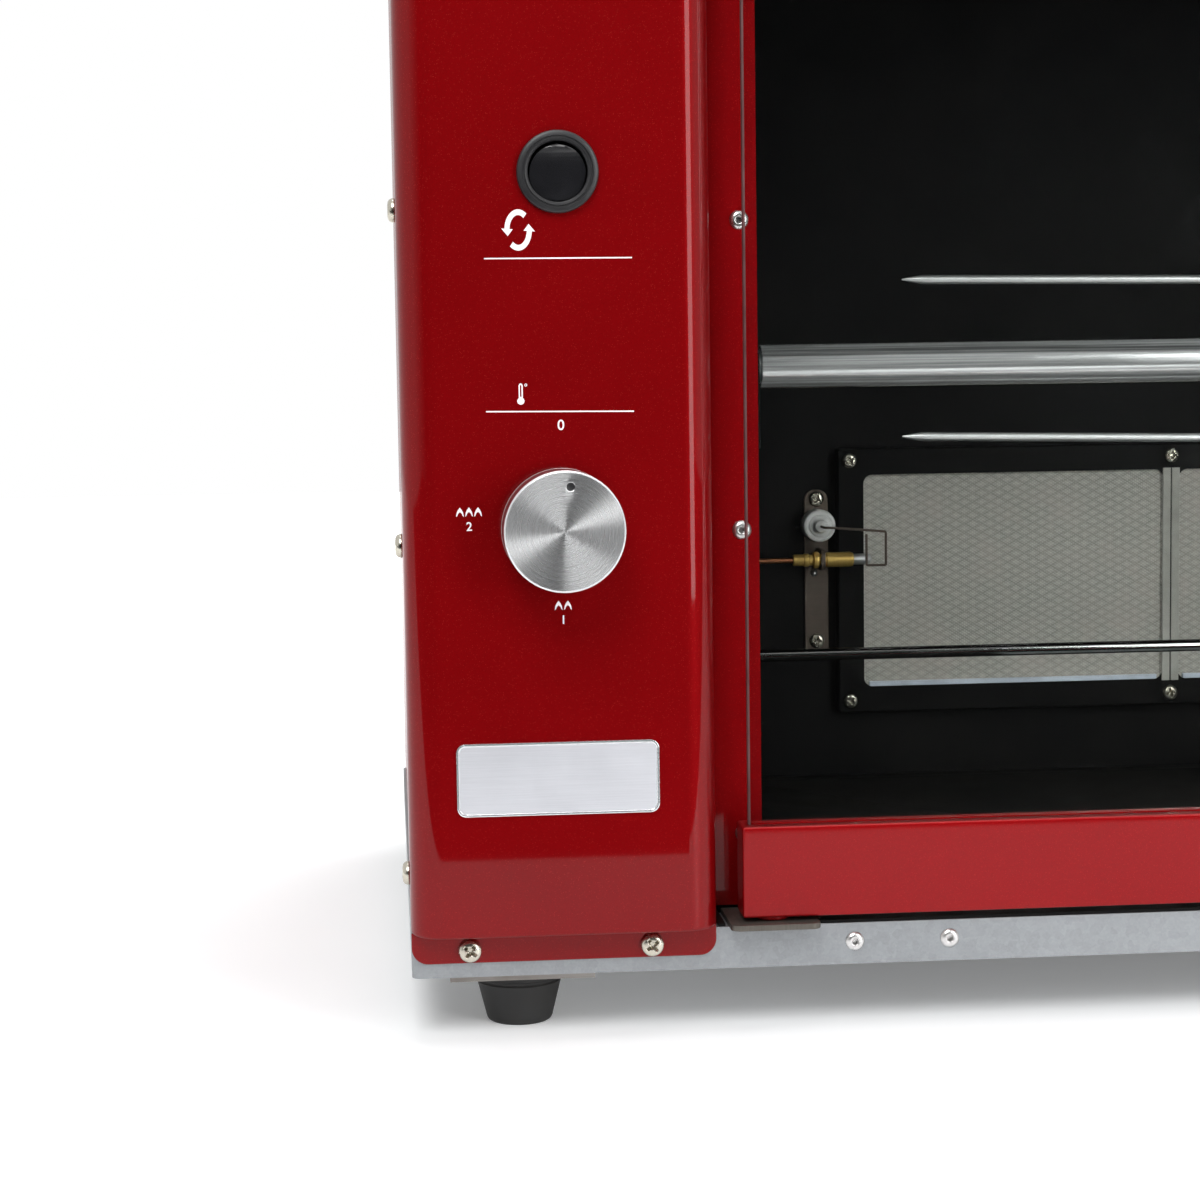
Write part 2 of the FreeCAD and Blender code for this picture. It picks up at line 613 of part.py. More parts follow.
    def chamfer(self, names, amount):
        """Chamfer some edges."""
        return self.dress("Chamfer", names, "Size", amount)

    def revolve(self, plane, x, y, level, turn, profile):
        """Revolve a profile about the horizontal axis of a moved sketch.

        The profile is a list of (distance along the axis, radius), and turn
        is the direction of the axis in the plane, in degrees.
        """
        sketch = self.sketch(plane, level)
        sketch.AttachmentOffset = FreeCAD.Placement(
            sketch.AttachmentOffset.Base, FreeCAD.Rotation(FreeCAD.Vector(0, 0, 1), turn))
        bind(sketch, "AttachmentOffset.Base.x", x)
        bind(sketch, "AttachmentOffset.Base.y", y)
        self.outline(sketch, profile)
        item = self.body.newObject("PartDesign::Revolution", "Revolution")
        item.Profile = sketch
        item.ReferenceAxis = (sketch, ["H_Axis"])
        item.Angle = 360
        sketch.Visibility = False
        self.finish(item)
        return self

    def row(self, axis, pitch, count):
        """Repeat the last feature along an axis."""
        repeated = self.body.Tip
        item = self.body.newObject("PartDesign::LinearPattern", "row")
        item.Originals = [repeated]
        item.Direction = (self.origin(axis + "_Axis"), [""])
        bind(item, "Length", "(%s) * ((%s) - 1)" % (pitch, count))
        bind(item, "Occurrences", count)
        self.finish(item)
        return self


def pan_screw(head_radius, head_height, radius, length):
    """Half section of a pan head screw, head towards minus."""
    return [
        ("-(%s)" % head_height, "0"),
        ("-(%s)" % head_height, "(%s) * 0.55" % head_radius),
        ("-(%s) * 0.72" % head_height, "(%s) * 0.86" % head_radius),
        ("-(%s) * 0.25" % head_height, head_radius),
        ("0", head_radius),
        ("0", radius),
        (length, radius),
        (length, "0"),
    ]


PANEL_SCREW = pan_screw("screw_head_radius", "screw_head_height", "screw_radius", "screw_length")
BURNER_SCREW = pan_screw("small_screw_head_radius", "small_screw_head_height", "small_screw_radius",
                         "small_screw_length")
RIVET = pan_screw("rivet_head_radius", "rivet_head_height", "rivet_radius", "rivet_reach")


def fastener(name, profile, facing, x, y, z):
    """A screw or a rivet whose head faces front, left or rear."""
    piece = Piece(name)
    if facing == "front":
        return piece.revolve("XY", x, y, z, 90, profile)
    if facing == "left":
        return piece.revolve("XY", x, y, z, 0, profile)
    return piece.revolve("XY", x, y, z, -90, profile)


def wire_of(points, bend):
    """A path of straight runs joined by tangent arcs of one radius."""
    edges = []
    start = points[0]
    for before, corner, after in zip(points, points[1:], points[2:]):
        arriving = (corner - before).normalize()
        leaving = (after - corner).normalize()
        half_turn = arriving.getAngle(leaving) / 2
        reach = bend * math.tan(half_turn)
        first = corner - arriving * reach
        last = corner + leaving * reach
        inward = (leaving - arriving).normalize()
        middle = corner + inward * (bend / math.cos(half_turn) - bend)
        edges.append(Part.makeLine(start, first))
        edges.append(Part.Arc(first, middle, last).toShape())
        start = last
    edges.append(Part.makeLine(start, points[-1]))
    return Part.Wire(edges)


def bent_rod(radius, bend, points):
    """A round rod or a pipe along a bent path."""
    corners = [FreeCAD.Vector(*[number(part) for part in point]) for point in points]
    path = wire_of(corners, number(bend))
    section = Part.Wire(Part.makeCircle(number(radius), corners[0], corners[1] - corners[0]))
    return path.makePipeShell([section], True, False)


def shape_of(name, shape):
    """A feature that carries a shape of its own."""
    item = doc.addObject("Part::Feature", name)
    item.Shape = shape
    return item


def make_base():
    """Base frame, corner plates and rubber feet."""
    left, right = from_left("0"), from_right("0")
    front, rear = behind("0"), behind("cabinet_depth")
    frame = Piece("base_frame")
    frame.pad("XY", "foot_height", "base_height", rect(left, front, right, rear))
    corners = [edge for x in (left, right) for y in (front, rear) for edge in frame.upright(x, y)]
    frame.fillet(corners, "base_corner")
    frame.pocket("XY", "foot_height", "base_height - base_sheet",
                 rect(from_left("base_sheet"), behind("base_sheet"),
                      from_right("base_sheet"), behind("cabinet_depth - base_sheet")))
    top = "foot_height + base_height - base_sheet"
    frame.pocket("XY", top, "base_sheet",
                 rect(from_left("base_opening_inset"), behind("base_opening_front"),
                      from_right("base_opening_inset"), behind("base_opening_front + base_opening_length")))
    hole = "screw_radius + screw_clearance"
    screw_z = BASE_TOP + " - column_screw_drop"
    rivet_hole = "rivet_radius + screw_clearance"
    rivet_z = BASE_TOP + " - base_rivet_drop"
    outlines = []
    for side in (from_left, from_right):
        outlines.append(circle(side("column_screw_outer"), screw_z, hole))
        outlines.append(circle(side("column_screw_inner"), screw_z, hole))
        outlines.append(circle(side("base_rivet_side"), rivet_z, rivet_hole))
        outlines.append(circle(side("base_rivet_side + base_rivet_pitch"), rivet_z, rivet_hole))
    frame.pocket("XZ", front, "base_sheet", *outlines)
    vents = []
    for side in (from_left, from_right):
        edges = sorted([side("44"), side("84")], key=number)
        vents.append(rect(edges[0], behind("150"), edges[1], behind("160")))
        vents.append(circle(side("64"), behind("200"), "9"))
    frame.pocket("XY", top, "base_sheet", *vents)
    node("base_frame", frame.body)

    foot_x = from_left("foot_inset_side")
    foot_y = behind("foot_inset_front")
    plate_low = "foot_height - foot_plate_sheet"
    plate = box(foot_x + " - foot_plate_width / 2", behind("0.3"), plate_low,
                foot_x + " + foot_plate_width / 2", behind("0.3 + foot_plate_width"), "foot_height")
    node("foot_plates", group(four_corners(plate)))

    foot = Piece("rubber_foot")
    foot.revolve("XZ", foot_x, "0", foot_y, 90, [
        ("foot_recess_depth", "0"),
        ("foot_recess_depth", "foot_recess_radius"),
        ("0", "foot_recess_radius"),
        ("0", "foot_bottom_radius"),
        ("foot_height * 0.3", "foot_bottom_radius + (foot_top_radius - foot_bottom_radius) * 0.3"),
        ("foot_height * 0.62", "foot_bottom_radius + (foot_top_radius - foot_bottom_radius) * 0.8"),
        (plate_low + " - 3", "foot_top_radius"),
        (plate_low, "foot_top_radius"),
        (plate_low, "0"),
    ])
    node("rubber_feet", group(four_corners(foot.body)))


def column_shell(name, with_controls):
    """A left-hand column cover: front, returns, end lips and flange."""
    left, right = from_left("0"), from_left("column_width")
    rear = behind("side_return")
    tall = COLUMN_TOP + " - " + COLUMN_BOTTOM
    cover = Piece(name)
    cover.pad("XY", COLUMN_BOTTOM, tall, rect(left, COLUMN_FRONT, right, rear))
    inner_left, inner_right = from_left("cover_sheet"), from_left("column_width - cover_sheet")
    inner_front = COLUMN_FRONT + " + cover_sheet"
    cover.pocket("XY", COLUMN_BOTTOM + " + cover_sheet", tall + " - 2 * cover_sheet",
                 rect(inner_left, inner_front, inner_right, behind("side_return + 1")))
    cover.fillet(cover.upright(inner_left, inner_front), "outer_edge_radius - cover_sheet")
    cover.fillet(cover.upright(inner_right, inner_front), "inner_edge_radius - cover_sheet")
    cover.fillet(cover.upright(left, COLUMN_FRONT), "outer_edge_radius")
    cover.fillet(cover.upright(right, COLUMN_FRONT), "inner_edge_radius")
    cover.pocket("XY", COLUMN_BOTTOM, tall,
                 rect(inner_left, behind("column_lip"), inner_right, behind("side_return + 1")))
    cover.pocket("XY", COLUMN_BOTTOM, tall,
                 rect(from_left("column_width - 2 * cover_sheet"), behind("jamb_setback"),
                      from_left("column_width + 1"), behind("side_return + 1")))
    low = BASE_TOP + " - flange_drop + column_lift"
    cover.pad("XZ", behind("-cover_sheet"), "cover_sheet",
              rect(left, low, right, COLUMN_BOTTOM + " + cover_sheet / 2"))
    low_value = number(low)
    corners = cover.edges(lambda p, d: abs(d.y) > 0.99 and abs(p.z - low_value) < 0.01)
    cover.fillet(corners, "flange_corner")
    hole = "screw_radius + screw_clearance"
    screw_z = BASE_TOP + " - column_screw_drop"
    cover.pocket("XZ", behind("-cover_sheet"), "cover_sheet",
                 circle(from_left("column_screw_outer"), screw_z, hole),
                 circle(from_left("column_screw_inner"), screw_z, hole))
    cover.pocket("YZ", left, "cover_sheet", circle(behind("side_screw_back"), "side_screw_first", hole))
    cover.row("Z", "side_screw_pitch", "side_screw_count")
    if with_controls:
        cover.pocket("XZ", COLUMN_FRONT, "cover_sheet",
                     circle(from_left("knob_side"), "knob_centre", "stem_radius + valve_hole_play"),
                     circle(from_left("switch_side"), "switch_centre", "switch_radius"))
    return cover.body


def side_panel(name):
    """A left-hand side panel with folded edges."""
    tall = COLUMN_TOP + " - " + BASE_TOP
    lip = "cover_sheet * 2 + panel_lip"
    rear = behind("cabinet_depth - 2 * cover_sheet")
    panel = Piece(name)
    panel.pad("XY", BASE_TOP, tall, rect(from_left("cover_sheet"), behind("column_lip"), from_left(lip), rear))
    panel.pocket("XY", BASE_TOP + " + cover_sheet", tall + " - 2 * cover_sheet",
                 rect(from_left("2 * cover_sheet"), behind("column_lip - 1"), from_left(lip + " + 1"),
                      rear + " - cover_sheet"))
    hole = "screw_radius + screw_clearance"
    panel.pocket("YZ", from_left("cover_sheet"), "cover_sheet",
                 circle(behind("side_screw_back"), "side_screw_first", hole))
    panel.row("Z", "side_screw_pitch", "side_screw_count")
    panel.pocket("XZ", rear + " - cover_sheet", "cover_sheet",
                 circle(from_left("rear_screw_inset + 2 * cover_sheet"), "side_screw_first", hole))
    panel.row("Z", "side_screw_pitch", "side_screw_count")
    return panel.body


def make_cabinet():
    """Columns, side panels, lid, lintel, jambs and the rear cover."""
    node("left_column_cover", column_shell("left_column", True))
    node("right_column_cover", mirrored(column_shell("right_column", False), (1, 0, 0)))
    node("left_side_panel", side_panel("left_side"))
    node("right_side_panel", mirrored(side_panel("right_side"), (1, 0, 0)))

    left, right = from_left("0"), from_right("0")
    rear = behind("cabinet_depth")
    lid = Piece("top_lid")
    lid.pad("XY", COLUMN_TOP, "lid_height", rect(left, COLUMN_FRONT, right, rear))
    inner_left, inner_right = from_left("cover_sheet"), from_right("cover_sheet")
    inner_front, inner_rear = COLUMN_FRONT + " + cover_sheet", rear + " - cover_sheet"
    lid.pocket("XY", COLUMN_TOP, "lid_height - cover_sheet",
               rect(inner_left, inner_front, inner_right, inner_rear))
    lid.fillet(lid.upright(inner_left, inner_front) + lid.upright(inner_right, inner_front),
               "outer_edge_radius - cover_sheet")
    lid.fillet(lid.upright(inner_left, inner_rear) + lid.upright(inner_right, inner_rear),
               "base_corner")
    lid.fillet(lid.level_face("cabinet_height - cover_sheet"), "lid_edge_radius - cover_sheet")
    lid.fillet(lid.upright(left, COLUMN_FRONT) + lid.upright(right, COLUMN_FRONT), "outer_edge_radius")
    lid.fillet(lid.upright(left, rear) + lid.upright(right, rear), "base_corner + cover_sheet")
    lid.fillet(lid.level_face("cabinet_height"), "lid_edge_radius")
    first_slot = "cabinet_depth - 40 - lid_slot_pitch * (lid_slot_count - 1)"
    lid.pocket("XY", "cabinet_height - cover_sheet", "cover_sheet",
               rect("-lid_slot_length * 1.7", behind(first_slot),
                    "-lid_slot_length * 0.7", behind(first_slot + " + lid_slot_width")),
               rect("-lid_slot_length * 0.5", behind(first_slot),
                    "lid_slot_length * 0.5", behind(first_slot + " + lid_slot_width")),
               rect("lid_slot_length * 0.7", behind(first_slot),
                    "lid_slot_length * 1.7", behind(first_slot + " + lid_slot_width")))
    lid.row("Y", "lid_slot_pitch", "lid_slot_count")
    node("top_lid", lid.body)

    tuck_left, tuck_right = from_left("column_width - jamb_tuck"), from_right("column_width - jamb_tuck")
    front = behind("jamb_setback")
    lintel = Piece("top_lintel")
    lintel.pad("XY", "opening_top", COLUMN_TOP + " - opening_top",
               rect(tuck_left, front, tuck_right, front + " + jamb_fold"))
    lintel.pocket("XY", "opening_top", COLUMN_TOP + " - opening_top - cover_sheet",
                  rect(tuck_left, front + " + cover_sheet", tuck_right, front + " + jamb_fold + 1"))
    node("top_lintel", lintel.body)

    def jamb(name):
        """A left-hand jamb with a stiffening fold behind its column."""
        item = Piece(name)
        edge = from_left("jamb_edge")
        item.pad("XY", "jamb_bottom", "opening_top - jamb_bottom", [
            (tuck_left, front),
            (edge, front),
            (edge, front + " + cover_sheet"),
            (tuck_left + " + cover_sheet", front + " + cover_sheet"),
            (tuck_left + " + cover_sheet", front + " + jamb_fold"),
            (tuck_left, front + " + jamb_fold"),
        ])
        item.pocket("XZ", front, "cover_sheet",
                    circle(from_left("jamb_rivet_side"), "jamb_rivet_first", "rivet_radius + screw_clearance"))
        item.row("Z", "jamb_rivet_pitch", "jamb_rivet_count")
        return item.body

    node("left_jamb", jamb("left_jamb"))
    node("right_jamb", mirrored(jamb("right_jamb"), (1, 0, 0)))

    cover_front = behind("cabinet_depth - 2 * cover_sheet")
    cover = Piece("rear_cover")
    cover.pad("XZ", cover_front, "cover_sheet",
              rect(from_left("2 * cover_sheet"), BASE_TOP + " + 0.5",
                   from_right("2 * cover_sheet"), COLUMN_TOP + " - 0.5"))
    hole = "screw_radius + screw_clearance"
    cover.pocket("XZ", cover_front, "cover_sheet",
                 circle(from_left("rear_screw_inset + 2 * cover_sheet"), "side_screw_first", hole),
                 circle(from_right("rear_screw_inset + 2 * cover_sheet"), "side_screw_first", hole))
    cover.row("Z", "side_screw_pitch", "side_screw_count")
    cover.pocket("XZ", cover_front, "cover_sheet",
                 rect("-rear_louvre_width * 1.8", "rear_louvre_first",
                      "-rear_louvre_width * 0.8", "rear_louvre_first + rear_louvre_height"),
                 rect("-rear_louvre_width * 0.5", "rear_louvre_first",
                      "rear_louvre_width * 0.5", "rear_louvre_first + rear_louvre_height"),
                 rect("rear_louvre_width * 0.8", "rear_louvre_first",
                      "rear_louvre_width * 1.8", "rear_louvre_first + rear_louvre_height"))
    cover.row("Z", "rear_louvre_pitch", "rear_louvre_count")
    cover.pocket("XZ", cover_front, "cover_sheet",
                 circle(from_left(SUPPLY_SIDE), "inlet_height", "inlet_radius + inlet_hole_play"),
                 rect(from_left("power_inlet_side - power_inlet_width * 0.4"),
                      "power_inlet_centre - power_inlet_height * 0.4",
                      from_left("power_inlet_side + power_inlet_width * 0.4"),
                      "power_inlet_centre + power_inlet_height * 0.4"))
    node("rear_cover", cover.body)


def burner_screw_holes():
    """Outlines of the holes for the screws around the burner."""
    play = "small_screw_radius + screw_clearance"
    return [circle(x, level, play) for level in SCREW_LEVELS for x in ("-" + SCREW_SIDE, "0", SCREW_SIDE)]


def igniter_screw_holes():
    """Outlines of the holes for the igniter bracket's screws."""
    return [circle(IGNITER_X, level, "small_screw_radius + screw_clearance") for level in IGNITER_LEVELS]


def make_cavity():
    """Black enamelled walls, ceiling and funnelled floor."""
    edge = from_left("jamb_edge")
    edge_right = from_right("jamb_edge")
    front = behind("jamb_setback + cover_sheet")
    back = behind("cavity_back")

    def side_wall(name):
        """A left-hand wall with its front flange folded outwards."""
        item = Piece(name)
        outer = edge + " - enamel_sheet"
        item.pad("XY", FLOOR_TOP, "opening_top - " + FLOOR_TOP, [
            (edge + " - wall_flange", front),
            (edge, front),
            (edge, back),
            (outer, back),
            (outer, front + " + enamel_sheet"),
            (edge + " - wall_flange", front + " + enamel_sheet"),
        ])
        item.pocket("XZ", front, "enamel_sheet",
                    circle(from_left("jamb_rivet_side"), "jamb_rivet_first", "rivet_radius + screw_clearance"))
        item.row("Z", "jamb_rivet_pitch", "jamb_rivet_count")
        item.pocket("YZ", outer, "enamel_sheet",
                    circle(behind("guard_rod_back"), "guard_rod_height", "guard_rod_radius + pivot_clearance"))
        return item

    left = side_wall("cavity_left_wall")
    left.pocket("YZ", edge + " - enamel_sheet", "enamel_sheet",
                circle(PROBE_Y + " - lead_jog", "thermocouple_height", "lead_radius + burner_clearance"))
    node("cavity_left_wall", left.body)
    right = side_wall("cavity_right_wall")
    right.pocket("YZ", edge + " - enamel_sheet", "enamel_sheet",
                 circle(SPIT_Y, "spit_height", "socket_hole_radius"))
    node("cavity_right_wall", mirrored(right.body, (1, 0, 0)))

    back_wall = Piece("cavity_back_wall")
    back_wall.pad("XZ", back, "enamel_sheet",
                  rect(edge + " - enamel_sheet", FLOOR_TOP, edge_right + " + enamel_sheet",
                       "opening_top + enamel_sheet"))
    half = "(%s + burner_wall + 2 * burner_clearance)" % BURNER_HALF
    back_wall.pocket("XZ", back, "enamel_sheet",
                     rect("-" + half, "burner_bottom - burner_wall - 2 * burner_clearance",
                          half, TILE_TOP + " + burner_wall + 2 * burner_clearance"),
                     *burner_screw_holes(), *igniter_screw_holes())
    node("cavity_back_wall", back_wall.body)

    ceiling = Piece("cavity_ceiling")
    ceiling.pad("XY", "opening_top", "enamel_sheet",
                rect(edge + " - enamel_sheet", front, edge_right + " + enamel_sheet", back))
    first = "-flue_slot_pitch * (flue_slot_count - 1) / 2"
    ceiling.pocket("XY", "opening_top", "enamel_sheet",
                   rect(first + " - flue_slot_length / 2", behind("flue_slot_front"),
                        first + " + flue_slot_length / 2", behind("flue_slot_front + flue_slot_width")))
    ceiling.row("X", "flue_slot_pitch", "flue_slot_count")
    node("cavity_ceiling", ceiling.body)

    floor_left, floor_right = from_left("column_width + cover_sheet"), from_right("column_width + cover_sheet")
    floor = Piece("cavity_floor_plate")
    floor.pad("XY", BASE_TOP, "enamel_sheet",
              rect(floor_left, behind("floor_front"), floor_right, behind("cavity_back + enamel_sheet")))
    play = "1"
    hinge_left = "pivot_side - hinge_width / 2 - " + play
    floor.pocket("XY", BASE_TOP, "enamel_sheet",
                 rect(from_left(hinge_left), behind("floor_front - 1"),
                      from_left("pivot_side + hinge_width / 2 + " + play), behind("hinge_depth + " + play)))

    def funnel(margin, rise):
        """A four-sided hopper, wide at the top, as a solid."""
        item = doc.addObject("Part::Wedge", "hopper")
        width = "(cabinet_width - 2 * funnel_inset + 2 * (%s))" % margin
        length = "(funnel_length + 2 * (%s))" % margin
        bind(item, "Xmin", "-%s / 2" % width)
        bind(item, "Xmax", "%s / 2" % width)
        bind(item, "Zmin", "-(%s)" % margin)
        bind(item, "Zmax", "funnel_length + (%s)" % margin)
        bind(item, "X2min", "-%s / 2 + funnel_slope_width" % width)
        bind(item, "X2max", "%s / 2 - funnel_slope_width" % width)
        bind(item, "Z2min", "funnel_slope_length - (%s)" % margin)
        bind(item, "Z2max", "%s - (%s) - funnel_slope_length" % (length, margin))
        item.Ymin = 0
        bind(item, "Ymax", "funnel_drop")
        item.Placement = FreeCAD.Placement(FreeCAD.Vector(), ALONG["Y"])
        return place(item, "0", behind("funnel_front"), "%s + (%s)" % (FLOOR_TOP, rise))

    hollow = cut(fuse(floor.body, funnel("2 * enamel_sheet", "0")),
                 funnel("0", "0"),
                 box(from_left("funnel_inset + funnel_slope_width"), behind("funnel_front + funnel_slope_length"),
                     "foot_height", from_right("funnel_inset + funnel_slope_width"),
                     behind("funnel_front + funnel_length - funnel_slope_length"), FLOOR_TOP))
    node("cavity_floor", hollow)


def make_door():
    """Glass pane, rails with pivot bosses, handle, catch and hinge plates."""
    left, right = from_left("door_inset"), from_right("door_inset")
    front, rear = behind("door_front"), behind("door_front + door_thickness")
    glass_left, glass_right = from_left("glass_inset"), from_right("glass_inset")
    pivot_x, pivot_y = from_left("pivot_side"), behind("pivot_back")
    bore = "pivot_radius + pivot_clearance"

    def rail(name, low, seat, boss):
        """A rail with a groove for the pane and a boss for its pivot."""
        item = Piece(name)
        item.pad("XY", low, "rail_height", rect(left, front, right, rear))
        long_edges = item.edges(lambda p, d: abs(d.x) > 0.99)
        item.fillet(long_edges, "rail_corner")
        item.pocket("XY", seat, "glass_seat",
                    rect(glass_left + " - glass_clearance", behind("glass_front - glass_clearance"),
                         glass_right + " + glass_clearance",
                         behind("glass_front + glass_thickness + glass_clearance")))
        item.pad("XY", boss, "boss_height", circle(pivot_x, pivot_y, "boss_radius"))
        return item

    bottom = rail("door_bottom_rail", "door_bottom", "door_bottom + rail_height - glass_seat",
                  "door_bottom - boss_height")
    bottom.pocket("XY", "door_bottom - boss_height", "pivot_length + 1", circle(pivot_x, pivot_y, bore))
    node("door_bottom_rail", bottom.body)
    top = rail("door_top_rail", "door_top - rail_height", "door_top - rail_height", "door_top")
    top.pocket("XY", "door_top + boss_height - pivot_length - 1", "pivot_length + 1",
               circle(pivot_x, pivot_y, bore))
    node("door_top_rail", top.body)

    handle_x = from_right("handle_side")
    post_low = "handle_centre - handle_pitch / 2"
    pane = Piece("door_glass")
    pane.pad("XZ", behind("glass_front"), "glass_thickness",
             rect(glass_left, "door_bottom + rail_height - glass_seat",
                  glass_right, "door_top - rail_height + glass_seat"))
    pane.pocket("XZ", behind("glass_front"), "glass_thickness",
                circle(handle_x, post_low, "stud_radius + glass_clearance"))
    pane.row("Z", "handle_pitch", "2")
    node("door_glass", pane.body)

    bar_y = behind("glass_front - handle_reach")
    bar = rod("Z", handle_x, bar_y, post_low + " - handle_overhang", "handle_radius",
              "handle_pitch + 2 * handle_overhang")
    pieces = [bar]
    for level in (post_low, "handle_centre + handle_pitch / 2"):
        pieces.append(rod("Y", handle_x, bar_y, level, "post_radius", "handle_reach"))
        pieces.append(rod("Y", handle_x, bar_y, level, "stud_radius",
                          "handle_reach + glass_thickness + nut_height"))
        pieces.append(hexagon("Y", handle_x, behind("glass_front + glass_thickness"), level,
                              "nut_radius", "nut_height"))
    node("door_handle", fuse(*pieces))

    catch_x = from_right("jamb_edge - 1")
    node("door_catch", box(catch_x, rear + " + catch_gap", "catch_bottom",
                           catch_x + " + catch_width", behind("jamb_setback"), "catch_bottom + catch_height"))

    plate_left, plate_right = pivot_x + " - hinge_width / 2", pivot_x + " + hinge_width / 2"
    lower = Piece("lower_hinge")
    lower.pad("XY", BASE_TOP, "hinge_sheet",
              rect(plate_left, behind("-hinge_projection"), plate_right, behind("hinge_depth")))
    front_value = number(behind("-hinge_projection"))
    lower.fillet(lower.edges(lambda p, d: abs(d.z) > 0.99 and abs(p.y - front_value) < 0.01), "base_corner")
    lower.pad("XY", BASE_TOP + " + hinge_sheet", "pivot_length", circle(pivot_x, pivot_y, "pivot_radius"))
    upper_low = COLUMN_TOP + " - hinge_sheet"
    upper = Piece("upper_hinge")
    upper.pad("XY", upper_low, "hinge_sheet",
              rect(plate_left, behind("-hinge_projection"), plate_right, behind("jamb_setback")))
    upper.fillet(upper.edges(lambda p, d: abs(d.z) > 0.99 and abs(p.y - front_value) < 0.01), "base_corner")
    upper.pad("XY", "opening_top + cover_sheet", upper_low + " - opening_top - cover_sheet",
              rect(plate_left, behind("jamb_setback - hinge_sheet"), plate_right, behind("jamb_setback")))
    upper.pad("XY", upper_low + " - pivot_length", "pivot_length", circle(pivot_x, pivot_y, "pivot_radius"))
    node("hinge_brackets", group([lower.body, upper.body]))


def make_burner():
    """Burner frame, tiles, housing, mixing tube, igniter and thermocouple."""
    face, half, tile_top = BURNER_FACE, BURNER_HALF, TILE_TOP
    tile_front = face + " + burner_sheet"
    back = behind("cavity_back")

    frame = Piece("burner_frame")
    frame.pad("XZ", face, "burner_projection",
              rect("-%s - burner_rim" % half, "burner_bottom - burner_rim",
                   "%s + burner_rim" % half, tile_top + " + burner_rim"))
    frame.pocket("XZ", tile_front, "burner_projection - burner_sheet",
                 rect("-%s - burner_rim + burner_sheet" % half, "burner_bottom - burner_rim + burner_sheet",
                      "%s + burner_rim - burner_sheet" % half, tile_top + " + burner_rim - burner_sheet"))
    windows = []
    for near, far in (("-tile_gap / 2 - tile_width", "-tile_gap / 2"),
                      ("tile_gap / 2", "tile_gap / 2 + tile_width")):
        windows.append(rect(near + " + tile_lip", "burner_bottom + tile_lip",
                            far + " - tile_lip", tile_top + " - tile_lip"))
    frame.pocket("XZ", face, "burner_sheet", *windows)
    sheet_middle = number(face) + number("burner_sheet") / 2
    low, high = number("burner_bottom + tile_lip"), number(tile_top + " - tile_lip")
    corners = frame.edges(lambda p, d: abs(d.y) > 0.99 and abs(p.y - sheet_middle) < 0.01
                          and min(abs(p.z - low), abs(p.z - high)) < 0.01)
    frame.fillet(corners, "tile_corner")
    frame.pocket("XZ", face, "burner_sheet", *burner_screw_holes())
    node("burner_frame", frame.body)

    tile = box("tile_gap / 2", tile_front, "burner_bottom",
               "tile_gap / 2 + tile_width", tile_front + " + tile_thickness", tile_top)
    node("burner_tiles", group(left_right(tile)))

    housing = Piece("burner_housing")
    outer = "(%s + burner_wall + burner_clearance)" % half
    housing.pad("XZ", tile_front, "tile_thickness + plenum_depth + burner_wall",
                rect("-" + outer, "burner_bottom - burner_wall - burner_clearance",
                     outer, tile_top + " + burner_wall + burner_clearance"))
    rear_value = number(tile_front + " + tile_thickness + plenum_depth + burner_wall")
    rear_edges = housing.edges(lambda p, d: abs(p.y - rear_value) < 0.01)
    housing.fillet(rear_edges, "burner_wall")
    seat = "(%s + burner_clearance)" % half
    housing.pocket("XZ", tile_front, "tile_thickness",
                   rect("-" + seat, "burner_bottom - burner_clearance",
                        seat, tile_top + " + burner_clearance"))
    housing.pocket("XZ", tile_front + " + tile_thickness", "plenum_depth",
                   rect("-%s + plenum_inset" % seat, "burner_bottom + plenum_inset",
                        "%s - plenum_inset" % seat, tile_top + " - plenum_inset"))
    mixer_y = tile_front + " + tile_thickness + plenum_depth / 2"
    mixer_z = "burner_bottom + tile_height / 2"
    inlet_radius = "mixer_bell_radius * 0.8"
    housing.pocket("YZ", "-" + outer, "burner_wall + 1.5 * plenum_inset",
                   circle(mixer_y, mixer_z, "mixer_throat_radius"))
    node("burner_housing", housing.body)

    mixer_x = "-%s - mixer_length" % outer
    mixer = Piece("mixing_tube")
    mixer.revolve("XY", mixer_x, mixer_y, mixer_z, 0, [
        ("0", "mixer_bell_radius - mixer_wall"),
        ("0", "mixer_bell_radius"),
        ("mixer_length * 0.22", "mixer_bell_radius"),
        ("mixer_length * 0.42", "mixer_throat_radius"),
        ("mixer_length * 0.6", "mixer_throat_radius"),
        ("mixer_length - 2 * mixer_wall", inlet_radius),
        ("mixer_length - 2 * mixer_wall", "mixer_bell_radius"),
        ("mixer_length", "mixer_bell_radius"),
        ("mixer_length", inlet_radius + " - mixer_wall"),
        ("mixer_length * 0.6", "mixer_throat_radius - mixer_wall"),
        ("mixer_length * 0.42", "mixer_throat_radius - mixer_wall"),
        ("mixer_length * 0.22", "mixer_bell_radius - mixer_wall"),
    ])
    node("mixing_tube", mixer.body)

    injector = Piece("gas_injector")
    injector_start = mixer_x + " + injector_gap - injector_length"
    injector.revolve("XY", injector_start, mixer_y, mixer_z, 0, [
        ("0", "pipe_radius"),
        ("0", "injector_radius"),
        ("injector_length * 0.55", "injector_radius"),
        ("injector_length * 0.55", "injector_radius * 0.66"),
        ("injector_length * 0.86", "injector_radius * 0.66"),
        ("injector_length", "injector_radius * 0.3"),
        ("injector_length", "0.5"),
        ("injector_length * 0.5", "0.5"),
        ("injector_length * 0.5", "pipe_radius"),
    ])
    node("gas_injector", injector.body)

